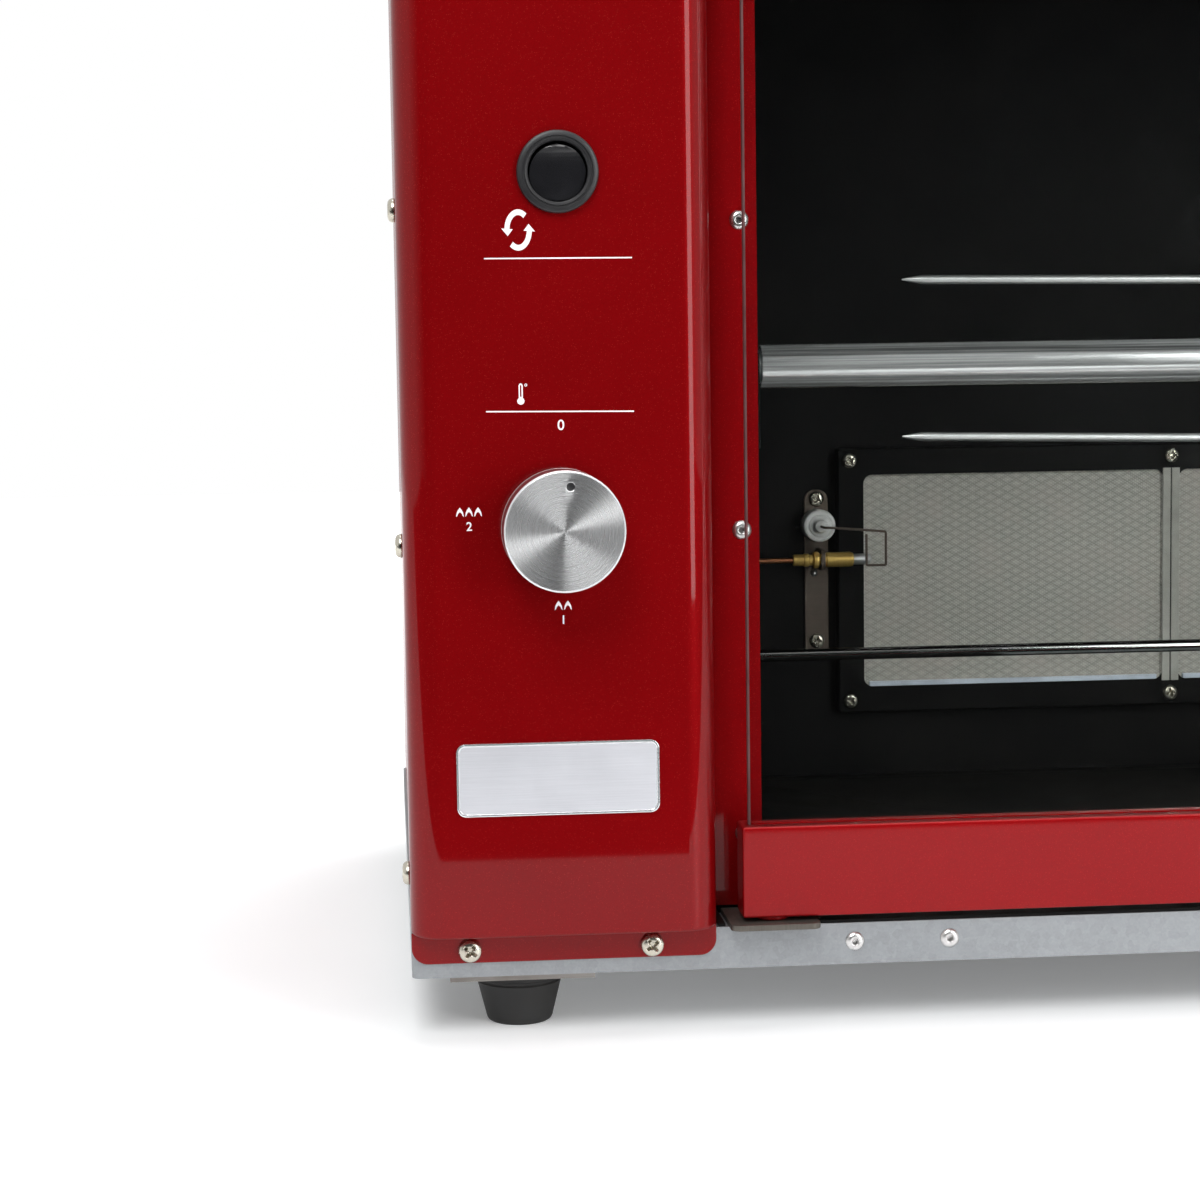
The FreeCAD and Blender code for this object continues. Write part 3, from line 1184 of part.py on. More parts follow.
    knob_x = from_left("knob_side")
    valve_y = COLUMN_FRONT + " + cover_sheet + valve_neck_length + valve_length / 2"
    outlet_z = "knob_centre - valve_radius - valve_port"
    burner_pipe = bent_rod("pipe_radius", "pipe_bend", [
        (knob_x, valve_y, outlet_z),
        (knob_x, valve_y, mixer_z),
        (knob_x, mixer_y, mixer_z),
        (injector_start + " + injector_length * 0.4", mixer_y, mixer_z),
    ])
    supply_x = from_left(SUPPLY_SIDE)
    supply_pipe = bent_rod("pipe_radius", "pipe_bend", [
        (knob_x + " + valve_radius + valve_port", valve_y, "knob_centre"),
        (supply_x, valve_y, "knob_centre"),
        (supply_x, valve_y, "inlet_height"),
        (supply_x, behind("cabinet_depth - 2 * cover_sheet - inlet_hex_height"), "inlet_height"),
    ])
    pipes = shape_of("gas_pipes_shape", Part.makeCompound([burner_pipe, supply_pipe]))
    node("gas_pipes", pipes)

    inlet_y = behind("cabinet_depth - 2 * cover_sheet - inlet_hex_height")
    inlet = fuse(hexagon("Y", supply_x, inlet_y, "inlet_height", "inlet_hex_radius", "inlet_hex_height"),
                 rod("Y", supply_x, inlet_y, "inlet_height", "inlet_radius",
                     "inlet_hex_height + cover_sheet + inlet_thread"))
    node("gas_inlet", cut(inlet, rod("Y", supply_x, inlet_y, "inlet_height", "pipe_radius",
                                     "inlet_hex_height + cover_sheet + inlet_thread")))

    strip_front = back + " - igniter_sheet"
    igniter_x = IGNITER_X
    saddle = "(thermocouple_radius + 1.2)"
    body_bore = "thermocouple_radius * 0.8 + pivot_clearance"
    strip = Piece("igniter_bracket")
    strip.pad("XZ", strip_front, "igniter_sheet",
              rect(igniter_x + " - igniter_width / 2", "igniter_bottom",
                   igniter_x + " + igniter_width / 2", "igniter_top"))
    strip.pad("YZ", igniter_x + " - 1", "igniter_width / 2 + 1",
              rect(PROBE_Y + " - " + saddle, "thermocouple_height - " + saddle,
                   strip_front, "thermocouple_height + " + saddle))
    strip.pocket("YZ", igniter_x + " - 1", "igniter_width / 2 + 1",
                 circle(PROBE_Y, "thermocouple_height", body_bore))
    strip.pocket("XZ", strip_front, "igniter_sheet", *igniter_screw_holes())
    node("igniter_bracket", strip.body)

    nose = strip_front + " - insulator_length"
    node("electrode_insulator", fuse(
        rod("Y", igniter_x, nose, "insulator_height", "insulator_radius", "insulator_length"),
        cone("Y", igniter_x, nose + " - insulator_nose", "insulator_height", "insulator_radius * 0.45",
             "insulator_radius * 0.8", "insulator_nose")))
    wire_y = nose + " - insulator_nose - 4"
    wire = bent_rod("electrode_radius", "electrode_bend", [
        (igniter_x, nose + " - insulator_nose", "insulator_height"),
        (igniter_x, wire_y + " - electrode_bend", "insulator_height"),
        (igniter_x + " + electrode_reach", wire_y + " - electrode_bend", "insulator_height - 1.5"),
        (igniter_x + " + electrode_reach", wire_y + " - electrode_bend",
         "insulator_height - 1.5 - electrode_hook"),
    ])
    node("electrode_wire", shape_of("electrode_wire_shape", wire))

    probe_y = PROBE_Y
    body_x = from_left("thermocouple_side")
    tip_x = body_x + " + thermocouple_length"
    body = fuse(rod("X", body_x, probe_y, "thermocouple_height", "thermocouple_radius * 0.8",
                    "thermocouple_length"),
                hexagon("X", body_x + " + thermocouple_length * 0.05", probe_y, "thermocouple_height",
                        "thermocouple_radius", "thermocouple_length * 0.3"),
                rod("X", tip_x, probe_y, "thermocouple_height", "thermocouple_tip_radius",
                    "thermocouple_tip_length"))
    node("thermocouple", body)
    lead = bent_rod("lead_radius", "lead_bend", [
        (body_x, probe_y, "thermocouple_height"),
        (from_left("jamb_edge + 26"), probe_y, "thermocouple_height"),
        (from_left("jamb_edge + 12"), probe_y + " - lead_jog", "thermocouple_height"),
        (from_left("jamb_edge - 12"), probe_y + " - lead_jog", "thermocouple_height"),
    ])
    node("thermocouple_lead", shape_of("thermocouple_lead_shape", lead))

    screws = []
    for level in SCREW_LEVELS:
        row = fastener("burner_screw", BURNER_SCREW, "front", "-" + SCREW_SIDE, face, level)
        row.row("X", SCREW_SIDE, "3")
        screws.append(row.body)
    for level in IGNITER_LEVELS:
        screws.append(fastener("igniter_screw", BURNER_SCREW, "front", igniter_x, strip_front, level).body)
    node("burner_screws", group(screws))

    rod_start = from_left("jamb_edge - enamel_sheet - guard_rod_overhang")
    node("guard_rod", rod("X", rod_start, behind("guard_rod_back"), "guard_rod_height", "guard_rod_radius",
                          "-2 * (%s)" % rod_start))


def make_controls():
    """Gas valve with its plug and stem, knob, rocker switch and power inlet."""
    knob_x = from_left("knob_side")
    inner_face = COLUMN_FRONT + " + cover_sheet"
    valve_y = inner_face + " + valve_neck_length"
    barrel = fuse(
        rod("Y", knob_x, inner_face, "knob_centre", "valve_neck_radius", "valve_neck_length + 1"),
        rod("Y", knob_x, valve_y, "knob_centre", "valve_radius", "valve_length"),
        rod("Z", knob_x, valve_y + " + valve_length / 2", "knob_centre - valve_radius - valve_port",
            "pipe_radius + 3", "valve_radius"),
        rod("X", knob_x, valve_y + " + valve_length / 2", "knob_centre", "pipe_radius + 3",
            "valve_radius + valve_port"))
    bore_length = "valve_neck_length + valve_length - 6"
    node("valve_body", cut(barrel, rod("Y", knob_x, inner_face, "knob_centre", "valve_bore_radius",
                                       bore_length)))

    plug_start = valve_y
    plug_length = "valve_length - 6 - pivot_clearance"
    plug = Piece("valve_plug")
    plug.revolve("XY", knob_x, plug_start, "knob_centre", 90, [
        ("0", "stem_radius + pivot_clearance"),
        ("0", "valve_bore_radius - pivot_clearance"),
        (plug_length, "valve_bore_radius - pivot_clearance"),
        (plug_length, "0"),
        (plug_length + " - 4", "0"),
        (plug_length + " - 4", "stem_radius + pivot_clearance"),
    ])
    node("valve_plug", plug.body)

    knob_back = COLUMN_FRONT + " - knob_gap"
    knob_face = COLUMN_FRONT + " - knob_gap - knob_length"
    stem_start = knob_back + " - stem_in_knob"
    stem_end = plug_start + " + " + plug_length + " - 4 - knob_travel - 1"
    stem = cut(rod("Y", knob_x, stem_start, "knob_centre", "stem_radius", stem_end + " - (" + stem_start + ")"),
               box(knob_x + " - stem_radius", stem_start + " - 1", "knob_centre + stem_radius - stem_flat",
                   knob_x + " + stem_radius", stem_start + " + stem_in_knob", "knob_centre + stem_radius + 1"))
    node("valve_stem", stem)

    shell = Piece("gas_knob")
    shell.revolve("XY", knob_x, knob_face, "knob_centre", 90, [
        ("0", "0"),
        ("0", "knob_radius - knob_chamfer"),
        ("knob_chamfer", "knob_radius"),
        ("knob_length", "knob_radius"),
        ("knob_length", "knob_radius - knob_wall"),
        ("knob_wall", "knob_radius - knob_wall"),
        ("knob_wall", "knob_hub_radius"),
        ("knob_length", "knob_hub_radius"),
        ("knob_length", "0"),
    ])
    socket = cut(rod("Y", knob_x, stem_start, "knob_centre", "stem_radius", "stem_in_knob + 1"),
                 box(knob_x + " - stem_radius", stem_start, "knob_centre + stem_radius - stem_flat",
                     knob_x + " + stem_radius", knob_back + " + 2", "knob_centre + stem_radius + 1"))
    dimple = doc.addObject("Part::Sphere", "dimple")
    bind(dimple, "Radius", "knob_dimple_radius")
    place(dimple, knob_x, knob_face, "knob_centre + knob_dimple_offset")
    node("gas_knob", cut(shell.body, socket, dimple))

    switch_x = from_left("switch_side")
    bezel_front = COLUMN_FRONT + " - bezel_height"
    housing = Piece("switch_housing")
    housing.revolve("XY", switch_x, bezel_front, "switch_centre", 90, [
        ("0", "rocker_bore_radius"),
        ("0", "bezel_radius - bezel_height * 0.7"),
        ("bezel_height * 0.35", "bezel_radius - bezel_height * 0.2"),
        ("bezel_height * 0.7", "bezel_radius"),
        ("bezel_height", "bezel_radius"),
        ("bezel_height", "switch_radius"),
        ("bezel_height + switch_depth", "switch_radius"),
        ("bezel_height + switch_depth", "0"),
        ("bezel_height + switch_depth * 0.5", "0"),
        ("bezel_height + switch_depth * 0.5", "rocker_bore_radius"),
    ])
    node("switch_housing", housing.body)

    rocker = fuse(rod("Y", "0", "-rocker_depth * 0.62", "0", "rocker_radius", "rocker_depth"),
                  rod("X", "-rocker_pivot_reach", "0", "0", "rocker_pivot_radius", "2 * rocker_pivot_reach"))
    scoop = doc.addObject("Part::Cylinder", "scoop")
    bind(scoop, "Radius", "rocker_radius * 3")
    bind(scoop, "Height", "rocker_radius * 4")
    scoop.Placement = FreeCAD.Placement(FreeCAD.Vector(), ALONG["X"])
    place(scoop, "-rocker_radius * 2", "-rocker_depth * 0.62 - rocker_radius * 3 + 1.3", "0")
    rocker = cut(rocker, scoop)
    rocker.Placement = FreeCAD.Placement(FreeCAD.Vector(), FreeCAD.Rotation(FreeCAD.Vector(1, 0, 0), 1))
    bind(rocker, "Placement.Rotation.Angle", "rocker_tilt")
    place(rocker, switch_x, COLUMN_FRONT + " + bezel_height", "switch_centre")
    node("switch_rocker", rocker)

    inlet_x = from_left("power_inlet_side")
    cover_y = behind("cabinet_depth - 2 * cover_sheet")
    flange = box(inlet_x + " - power_inlet_width / 2", cover_y + " + cover_sheet",
                 "power_inlet_centre - power_inlet_height / 2",
                 inlet_x + " + power_inlet_width / 2", cover_y + " + cover_sheet + 2.5",
                 "power_inlet_centre + power_inlet_height / 2")
    body = box(inlet_x + " - power_inlet_width * 0.39", cover_y + " - power_inlet_depth",
               "power_inlet_centre - power_inlet_height * 0.39",
               inlet_x + " + power_inlet_width * 0.39", cover_y + " + cover_sheet + 1",
               "power_inlet_centre + power_inlet_height * 0.39")
    well = box(inlet_x + " - power_inlet_width * 0.3", cover_y + " - power_inlet_depth * 0.7",
               "power_inlet_centre - power_inlet_height * 0.3",
               inlet_x + " + power_inlet_width * 0.3", cover_y + " + cover_sheet + 3",
               "power_inlet_centre + power_inlet_height * 0.3")
    pins = [box(inlet_x + offset + " - 1", cover_y + " - power_inlet_depth * 0.8", "power_inlet_centre - 2",
                inlet_x + offset + " + 1", cover_y + " - 2", "power_inlet_centre + 2")
            for offset in (" - 5", " + 5")]
    node("power_inlet", fuse(cut(fuse(flange, body), well), *pins))


def involute_gear(teeth, module, pressure_angle, backlash, width, turn):
    """A spur gear blank along +X with involute flanks.

    A flank runs from the root circle straight to the base circle, and along
    the involute from there to the tip.
    """
    pitch = module * teeth / 2
    base = pitch * math.cos(pressure_angle)
    tip = pitch + module
    root = pitch - 1.25 * module
    half_tooth = math.pi / (2 * teeth) - backlash / (2 * pitch)
    spread = math.tan(pressure_angle) - pressure_angle

    def at(radius, angle):
        """A point of the section, in the plane X = 0."""
        return FreeCAD.Vector(0, radius * math.sin(angle), radius * math.cos(angle))

    def flank_angle(radius):
        """Half the tooth's angle at a radius on the involute."""
        tilt = math.acos(min(1.0, base / radius))
        return half_tooth + spread - (math.tan(tilt) - tilt)

    start = max(base, root)
    radii = [start + (tip - start) * step / 4 for step in range(5)]
    edges = []
    step_angle = 2 * math.pi / teeth
    for tooth in range(teeth):
        middle = turn + tooth * step_angle
        rising = [at(radius, middle - flank_angle(radius)) for radius in radii]
        falling = [at(radius, middle + flank_angle(radius)) for radius in reversed(radii)]
        next_rise = at(start, middle + step_angle - flank_angle(start))
        for points in (rising, falling):
            curve = Part.BSplineCurve()
            curve.interpolate(points)
            edges.append(curve.toShape())
            if points is rising:
                edges.append(Part.Arc(rising[-1], at(tip, middle), falling[0]).toShape())
        low = falling[-1]
        if root < base:
            foot = at(root, middle + flank_angle(start))
            next_foot = at(root, middle + step_angle - flank_angle(start))
            edges.append(Part.makeLine(low, foot))
            edges.append(Part.Arc(foot, at(root, middle + step_angle / 2), next_foot).toShape())
            edges.append(Part.makeLine(next_foot, next_rise))
        else:
            edges.append(Part.Arc(low, at(root, middle + step_angle / 2), next_rise).toShape())
    outline = Part.Wire(edges)
    return Part.Face(outline).extrude(FreeCAD.Vector(width, 0, 0))


def make_spit():
    """Spit with its end plugs, fork with thumbscrew, and the left bearing."""
    wall = from_left("jamb_edge")
    tube_start = from_left("spit_start")
    socket_start = from_right("jamb_edge + socket_wall_gap + socket_length")
    tube_end = socket_start + " - 3"
    tube = cut(rod("X", tube_start, SPIT_Y, "spit_height", "spit_radius", tube_end + " - " + tube_start),
               rod("X", tube_start, SPIT_Y, "spit_height", "spit_radius - spit_wall",
                   tube_end + " - " + tube_start))
    node("spit_tube", tube)

    plug_length = "20"
    collar_start = tube_start + " - 2 * bearing_gap - bearing_sheet - journal_collar_length"
    left_plug = Piece("spit_left_plug")
    left_plug.revolve("XY", collar_start, SPIT_Y, "spit_height", 0, [
        ("0", "0"),
        ("0", "journal_collar_radius"),
        ("journal_collar_length", "journal_collar_radius"),
        ("journal_collar_length", "journal_radius"),
        ("journal_collar_length + bearing_sheet + 2 * bearing_gap", "journal_radius"),
        ("journal_collar_length + bearing_sheet + 2 * bearing_gap", "spit_radius - spit_wall"),
        ("journal_collar_length + bearing_sheet + 2 * bearing_gap + " + plug_length, "spit_radius - spit_wall"),
        ("journal_collar_length + bearing_sheet + 2 * bearing_gap + " + plug_length, "0"),
    ])
    half_square = "square_side / 2"
    right_plug = fuse(
        rod("X", tube_end + " - " + plug_length, SPIT_Y, "spit_height", "spit_radius - spit_wall", plug_length),
        box(tube_end, SPIT_Y + " - " + half_square, "spit_height - " + half_square,
            socket_start + " + square_length", SPIT_Y + " + " + half_square, "spit_height + " + half_square))
    node("spit_end_plugs", group([left_plug.body, right_plug]))

    bearing_x = tube_start + " - bearing_gap - bearing_sheet"
    bearing_low = "spit_height - bearing_width"
    cheek = Piece("spit_bearing")
    cheek.pad("YZ", bearing_x, "bearing_sheet",
              rect(SPIT_Y + " - bearing_width / 2", bearing_low, SPIT_Y + " + bearing_width / 2",
                   "spit_height + journal_radius"))
    cheek.pad("YZ", wall, bearing_x + " - " + wall,
              rect(SPIT_Y + " - bearing_width / 2", bearing_low, SPIT_Y + " + bearing_width / 2",
                   bearing_low + " + 8"))
    notch = "journal_radius + pivot_clearance"
    cheek.pocket("YZ", bearing_x, "bearing_sheet", circle(SPIT_Y, "spit_height", notch))
    cheek.pocket("YZ", bearing_x, "bearing_sheet",
                 rect(SPIT_Y + " - (%s)" % notch, "spit_height", SPIT_Y + " + (%s)" % notch,
                      "spit_height + journal_radius + 1"))
    node("spit_bearing", cheek.body)

    hub_x = from_left("fork_side")
    bar_end = hub_x + " + fork_bar_thickness"
    hub = fuse(
        rod("X", hub_x, SPIT_Y, "spit_height", "fork_hub_radius", "fork_hub_length"),
        box(hub_x, SPIT_Y + " - fork_bar_height / 2", "spit_height - prong_offset - fork_bar_height / 2",
            bar_end, SPIT_Y + " + fork_bar_height / 2", "spit_height + prong_offset + fork_bar_height / 2"))
    bores = [rod("X", hub_x + " - 1", SPIT_Y, "spit_height", "spit_radius + pivot_clearance",
                 "fork_hub_length + 2")]
    prongs = []
    for sign in ("-", "+"):
        level = "spit_height %s prong_offset" % sign
        bores.append(rod("X", hub_x + " - 1", SPIT_Y, level, "prong_radius", "fork_bar_thickness + 2"))
        start = hub_x + " - prong_length"
        prongs.append(fuse(
            cone("X", start, SPIT_Y, level, "0.3", "prong_radius", "prong_point"),
            rod("X", start + " + prong_point", SPIT_Y, level, "prong_radius",
                "prong_length + fork_bar_thickness - prong_point")))
    thumb_x = hub_x + " + fork_bar_thickness + (fork_hub_length - fork_bar_thickness) / 2"
    bores.append(rod("Y", thumb_x, SPIT_Y + " - fork_hub_radius - 1", "spit_height",
                     "thumb_radius + pivot_clearance", "fork_hub_radius"))
    node("fork_hub", cut(hub, *bores))
    node("fork_prongs", group(prongs))

    head_y = SPIT_Y + " - fork_hub_radius - thumb_neck - thumb_head_height"
    shank = rod("Y", thumb_x, head_y, "spit_height", "thumb_radius",
                "thumb_head_height + thumb_neck + fork_hub_radius - spit_radius - 2 * pivot_clearance")
    head = rod("Y", thumb_x, head_y, "spit_height", "thumb_head_radius", "thumb_head_height")
    flutes = []
    for turn in range(6):
        angle = "%d" % (60 * turn)
        flutes.append(rod("Y", thumb_x + " + thumb_head_radius * 1.12 * cos(%s deg)" % angle, head_y + " - 1",
                          "spit_height + thumb_head_radius * 1.12 * sin(%s deg)" % angle,
                          "thumb_head_radius * 0.3", "thumb_head_height + 2"))
    node("fork_thumbscrew", fuse(cut(head, *flutes), shank))


def make_drive():
    """Drive socket and shaft, gear pair, bushes, bracket and gear motor."""
    wall_outer = from_right("jamb_edge - enamel_sheet")
    socket_start = from_right("jamb_edge + socket_wall_gap + socket_length")
    plate_far = wall_outer + " + bracket_sheet + bracket_span"
    shaft_end = plate_far + " + bracket_sheet"
    shaft = fuse(rod("X", socket_start, SPIT_Y, "spit_height", "socket_radius", "socket_length"),
                 rod("X", socket_start + " + socket_length / 2", SPIT_Y, "spit_height", "shaft_radius",
                     shaft_end + " - (" + socket_start + " + socket_length / 2)"))
    half = "(square_side / 2 + square_clearance)"
    node("drive_socket", cut(shaft, box(socket_start + " - 1", SPIT_Y + " - " + half, "spit_height - " + half,
                                        socket_start + " + square_length + 1", SPIT_Y + " + " + half,
                                        "spit_height + " + half)))

    gear_start = wall_outer + " + bracket_sheet + bracket_span - bush_length - gear_width - 1"
    module = number("gear_module")
    pressure = math.radians(number("gear_pressure_angle"))
    backlash = number("gear_backlash")
    teeth, pinion_teeth = round(number("gear_teeth")), round(number("pinion_teeth"))
    width = number("gear_width")
    gear_root = module * teeth / 2 - 1.25 * module
    web_radius = gear_root - number("gear_rim")
    hub_radius = number("gear_hub_radius")
    recess = (width - number("gear_web")) / 2
    axis = FreeCAD.Vector(1, 0, 0)
    gear = involute_gear(teeth, module, pressure, backlash, width, math.pi)
    for start in (0.0, width - recess):
        corner = FreeCAD.Vector(start, 0, 0)
        ring = Part.makeCylinder(web_radius, recess, corner, axis)
        gear = gear.cut(ring.cut(Part.makeCylinder(hub_radius, recess, corner, axis)))
    hole_circle = (web_radius + hub_radius) / 2
    for index in range(6):
        angle = math.radians(60 * index)
        centre = FreeCAD.Vector(0, hole_circle * math.cos(angle), hole_circle * math.sin(angle))
        gear = gear.cut(Part.makeCylinder(min(number("gear_hole_radius"), (web_radius - hub_radius) * 0.4),
                                          width, centre, axis))
    gear = gear.cut(Part.makeCylinder(number("shaft_radius"), width, FreeCAD.Vector(), axis))
    node("drive_gear", place(shape_of("drive_gear_shape", gear), gear_start, SPIT_Y, "spit_height"))

    pinion_z = "spit_height - gear_module * (gear_teeth + pinion_teeth) / 2"
    pinion = involute_gear(pinion_teeth, module, pressure, backlash, width, math.pi / pinion_teeth)
    stub = Part.makeCylinder(number("pinion_shaft_radius"),
                             number(plate_far + " + bracket_sheet + 6 - (" + gear_start + ")"),
                             FreeCAD.Vector(), axis)
    pinion = pinion.fuse(stub).removeSplitter()
    node("motor_pinion", place(shape_of("motor_pinion_shape", pinion), gear_start, SPIT_Y, pinion_z))

    half_width = "(gear_module * (gear_teeth + 2) / 2 + bracket_margin)"
    low = pinion_z + " - gear_module * (pinion_teeth + 2) / 2 - bracket_margin"
    high = "spit_height + bush_radius + bracket_margin"
    bracket = Piece("motor_bracket")
    bracket.pad("YZ", wall_outer, "bracket_span + 2 * bracket_sheet",
                rect(SPIT_Y + " - " + half_width, low, SPIT_Y + " + " + half_width, high))
    bracket.pocket("YZ", wall_outer + " + bracket_sheet", "bracket_span",
                   rect(SPIT_Y + " - " + half_width + " - 1", low + " + bracket_sheet",
                        SPIT_Y + " + " + half_width + " + 1", high + " + 1"))
    bracket.pocket("YZ", wall_outer, "bracket_span + 2 * bracket_sheet",
                   circle(SPIT_Y, "spit_height", "bush_radius"))
    bracket.pocket("YZ", plate_far, "bracket_sheet",
                   circle(SPIT_Y, pinion_z, "pinion_shaft_radius + 1"))
    node("motor_bracket", bracket.body)

    bore = "shaft_radius + pivot_clearance"
    bushes = []
    for start in (wall_outer, plate_far + " + bracket_sheet - bush_length"):
        bushes.append(cut(rod("X", start, SPIT_Y, "spit_height", "bush_radius", "bush_length"),
                          rod("X", start, SPIT_Y, "spit_height", bore, "bush_length")))
    node("drive_bushes", group(bushes))

    box_y = SPIT_Y + " - gearbox_width / 2"
    box_start = plate_far + " + bracket_sheet"
    gearbox_low = pinion_z + " - gearbox_height * 0.35"
    gearbox = Piece("gear_motor")
    gearbox.pad("YZ", box_start, "gearbox_length",
                rect(box_y, gearbox_low, box_y + " + gearbox_width", gearbox_low + " + gearbox_height"))
    gearbox.fillet(gearbox.edges(lambda p, d: abs(d.x) > 0.99), "tray_corner")
    gearbox.pad("YZ", box_start + " + gearbox_length", "motor_length",
                circle(SPIT_Y, gearbox_low + " + gearbox_height / 2", "motor_radius"))
    gearbox.pocket("YZ", box_start, "6.5", circle(SPIT_Y, pinion_z, "pinion_shaft_radius + pivot_clearance"))
    node("gear_motor", gearbox.body)


def make_tray():
    """Drip tray and the runners that carry it under the base frame."""
    web = from_left("runner_web")
    plate_low = "foot_height + base_height - base_sheet"
    flange_top = plate_low + " - runner_drop + base_sheet"
    start, end = behind("runner_front"), behind("runner_front + runner_length")
    runner = Piece("tray_runner")
    runner.pad("XZ", start, "runner_length", [
        (web + " - runner_flange", plate_low),
        (web + " - runner_flange", plate_low + " - base_sheet"),
        (web, plate_low + " - base_sheet"),
        (web, plate_low + " - runner_drop"),
        (web + " + runner_flange", plate_low + " - runner_drop"),
        (web + " + runner_flange", flange_top),
        (web + " + base_sheet", flange_top),
        (web + " + base_sheet", plate_low),
    ])
    tab_top = plate_low + " - 1"
    runner.pad("XZ", behind("base_sheet"), "base_sheet",
               rect(web, tab_top + " - runner_tab_height", web + " + runner_tab_length", tab_top))
    runner.pad("XY", tab_top + " - runner_tab_height", "runner_tab_height",
               rect(web, behind("base_sheet"), web + " + base_sheet", behind("runner_front + 1")))
    rivet_z = BASE_TOP + " - base_rivet_drop"
    runner.pocket("XZ", behind("base_sheet"), "base_sheet",
                  circle(from_left("base_rivet_side"), rivet_z, "rivet_radius + screw_clearance"))
    runner.row("X", "base_rivet_pitch", "2")
    node("tray_runners", group(left_right(runner.body)))

    rim_top = flange_top + " + tray_lift + tray_sheet"
    rim_low = flange_top + " + tray_lift"
    wall = "runner_web + runner_flange + tray_side_play"
    rim = "runner_web + base_sheet + tray_side_play"
    front, rear = behind("tray_front"), behind("tray_front + tray_length")
    floor_z = rim_top + " - tray_depth - tray_sheet"
    tray = Piece("drip_tray")
    tray.pad("XY", floor_z, "tray_depth + tray_sheet", rect(from_left(wall), front, from_right(wall), rear))
    inside = wall + " + tray_sheet"
    inner_front, inner_rear = front + " + tray_sheet", rear + " - tray_sheet"
    tray.pocket("XY", floor_z + " + tray_sheet", "tray_depth",
                rect(from_left(inside), inner_front, from_right(inside), inner_rear))
    tray.fillet([edge for x in (from_left(inside), from_right(inside)) for y in (inner_front, inner_rear)
                 for edge in tray.upright(x, y)], "tray_corner - tray_sheet")
    tray.fillet([edge for x in (from_left(wall), from_right(wall)) for y in (front, rear)
                 for edge in tray.upright(x, y)], "tray_corner")
    for side in (from_left, from_right):
        edges = sorted([side(rim), side(inside)], key=number)
        tray.pad("XY", rim_low, "tray_sheet", rect(edges[0], front + " + tray_corner",
                                                   edges[1], rear + " - tray_corner"))
    tray.pad("XY", rim_low, "tray_sheet",
             rect("-tray_pull_width / 2", front + " - tray_pull_reach", "tray_pull_width / 2", front))
    tray.pad("XY", rim_low + " - 3", "3 + tray_sheet",
             rect("-tray_pull_width / 2", front + " - tray_pull_reach", "tray_pull_width / 2",
                  front + " - tray_pull_reach + tray_sheet"))
    node("drip_tray", tray.body)


def make_fasteners():
    """Panel screws and blind rivets, each kind in one node."""
    flange_face = behind("-cover_sheet")
    screw_z = BASE_TOP + " - column_screw_drop"
    screws = []
    flange_row = fastener("flange_screw", PANEL_SCREW, "front", from_left("column_screw_outer"),
                          flange_face, screw_z)
    flange_row.row("X", "column_screw_inner - column_screw_outer", "2")
    side_row = fastener("side_screw", PANEL_SCREW, "left", from_left("0"), behind("side_screw_back"),
                        "side_screw_first")
    side_row.row("Z", "side_screw_pitch", "side_screw_count")
    rear_row = fastener("rear_screw", PANEL_SCREW, "rear",
                        from_left("rear_screw_inset + 2 * cover_sheet"),
                        behind("cabinet_depth - cover_sheet"), "side_screw_first")
    rear_row.row("Z", "side_screw_pitch", "side_screw_count")
    for row in (flange_row, side_row, rear_row):
        screws.extend(left_right(row.body))
    node("panel_screws", group(screws))

    jamb_row = fastener("jamb_rivet", RIVET, "front", from_left("jamb_rivet_side"), behind("jamb_setback"),
                        "jamb_rivet_first")
    jamb_row.row("Z", "jamb_rivet_pitch", "jamb_rivet_count")
    base_row = fastener("base_rivet", RIVET, "front", from_left("base_rivet_side"), behind("0"),
                        BASE_TOP + " - base_rivet_drop")
    base_row.row("X", "base_rivet_pitch", "2")
    node("blind_rivets", group(left_right(jamb_row.body) + left_right(base_row.body)))


def check_and_export():
    """Stop at any failed object, then write one file for each sub-part."""
    doc.recompute()
    failed = [item.Label for item in doc.Objects if {"Invalid", "Error"} & set(item.State)]
    if failed:
        raise ValueError("failed objects: %s" % ", ".join(failed))
    for item in nodes:
        shape = item.Shape
        if shape.isNull() or not shape.isValid() or not shape.Solids:
            raise ValueError("no valid solid in %s" % item.Label)
    for item in nodes:
        item.Shape.exportStep("parts/%s.step" % item.Label)
        print("%-22s %3d solids %12.1f mm3" % (item.Label, len(item.Shape.Solids), item.Shape.Volume))
    print("%d sub-parts" % len(nodes))


make_base()
make_cabinet()
make_cavity()
make_door()
make_burner()
make_controls()
make_spit()
make_drive()
make_tray()
make_fasteners()
check_and_export()
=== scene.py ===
"""Dressed scene of a tabletop gas rotisserie grill.

Lengths inside the classes are cabinet millimetres: X from the left side, Y behind the base's front
and Z above the table. The frame itself is in metres.
"""

import contextlib
import json
import logging
import math
from dataclasses import dataclass, field
from enum import Enum
from typing import Callable, Iterator, Sequence

import bmesh
import bpy
from mathutils import Matrix, Vector


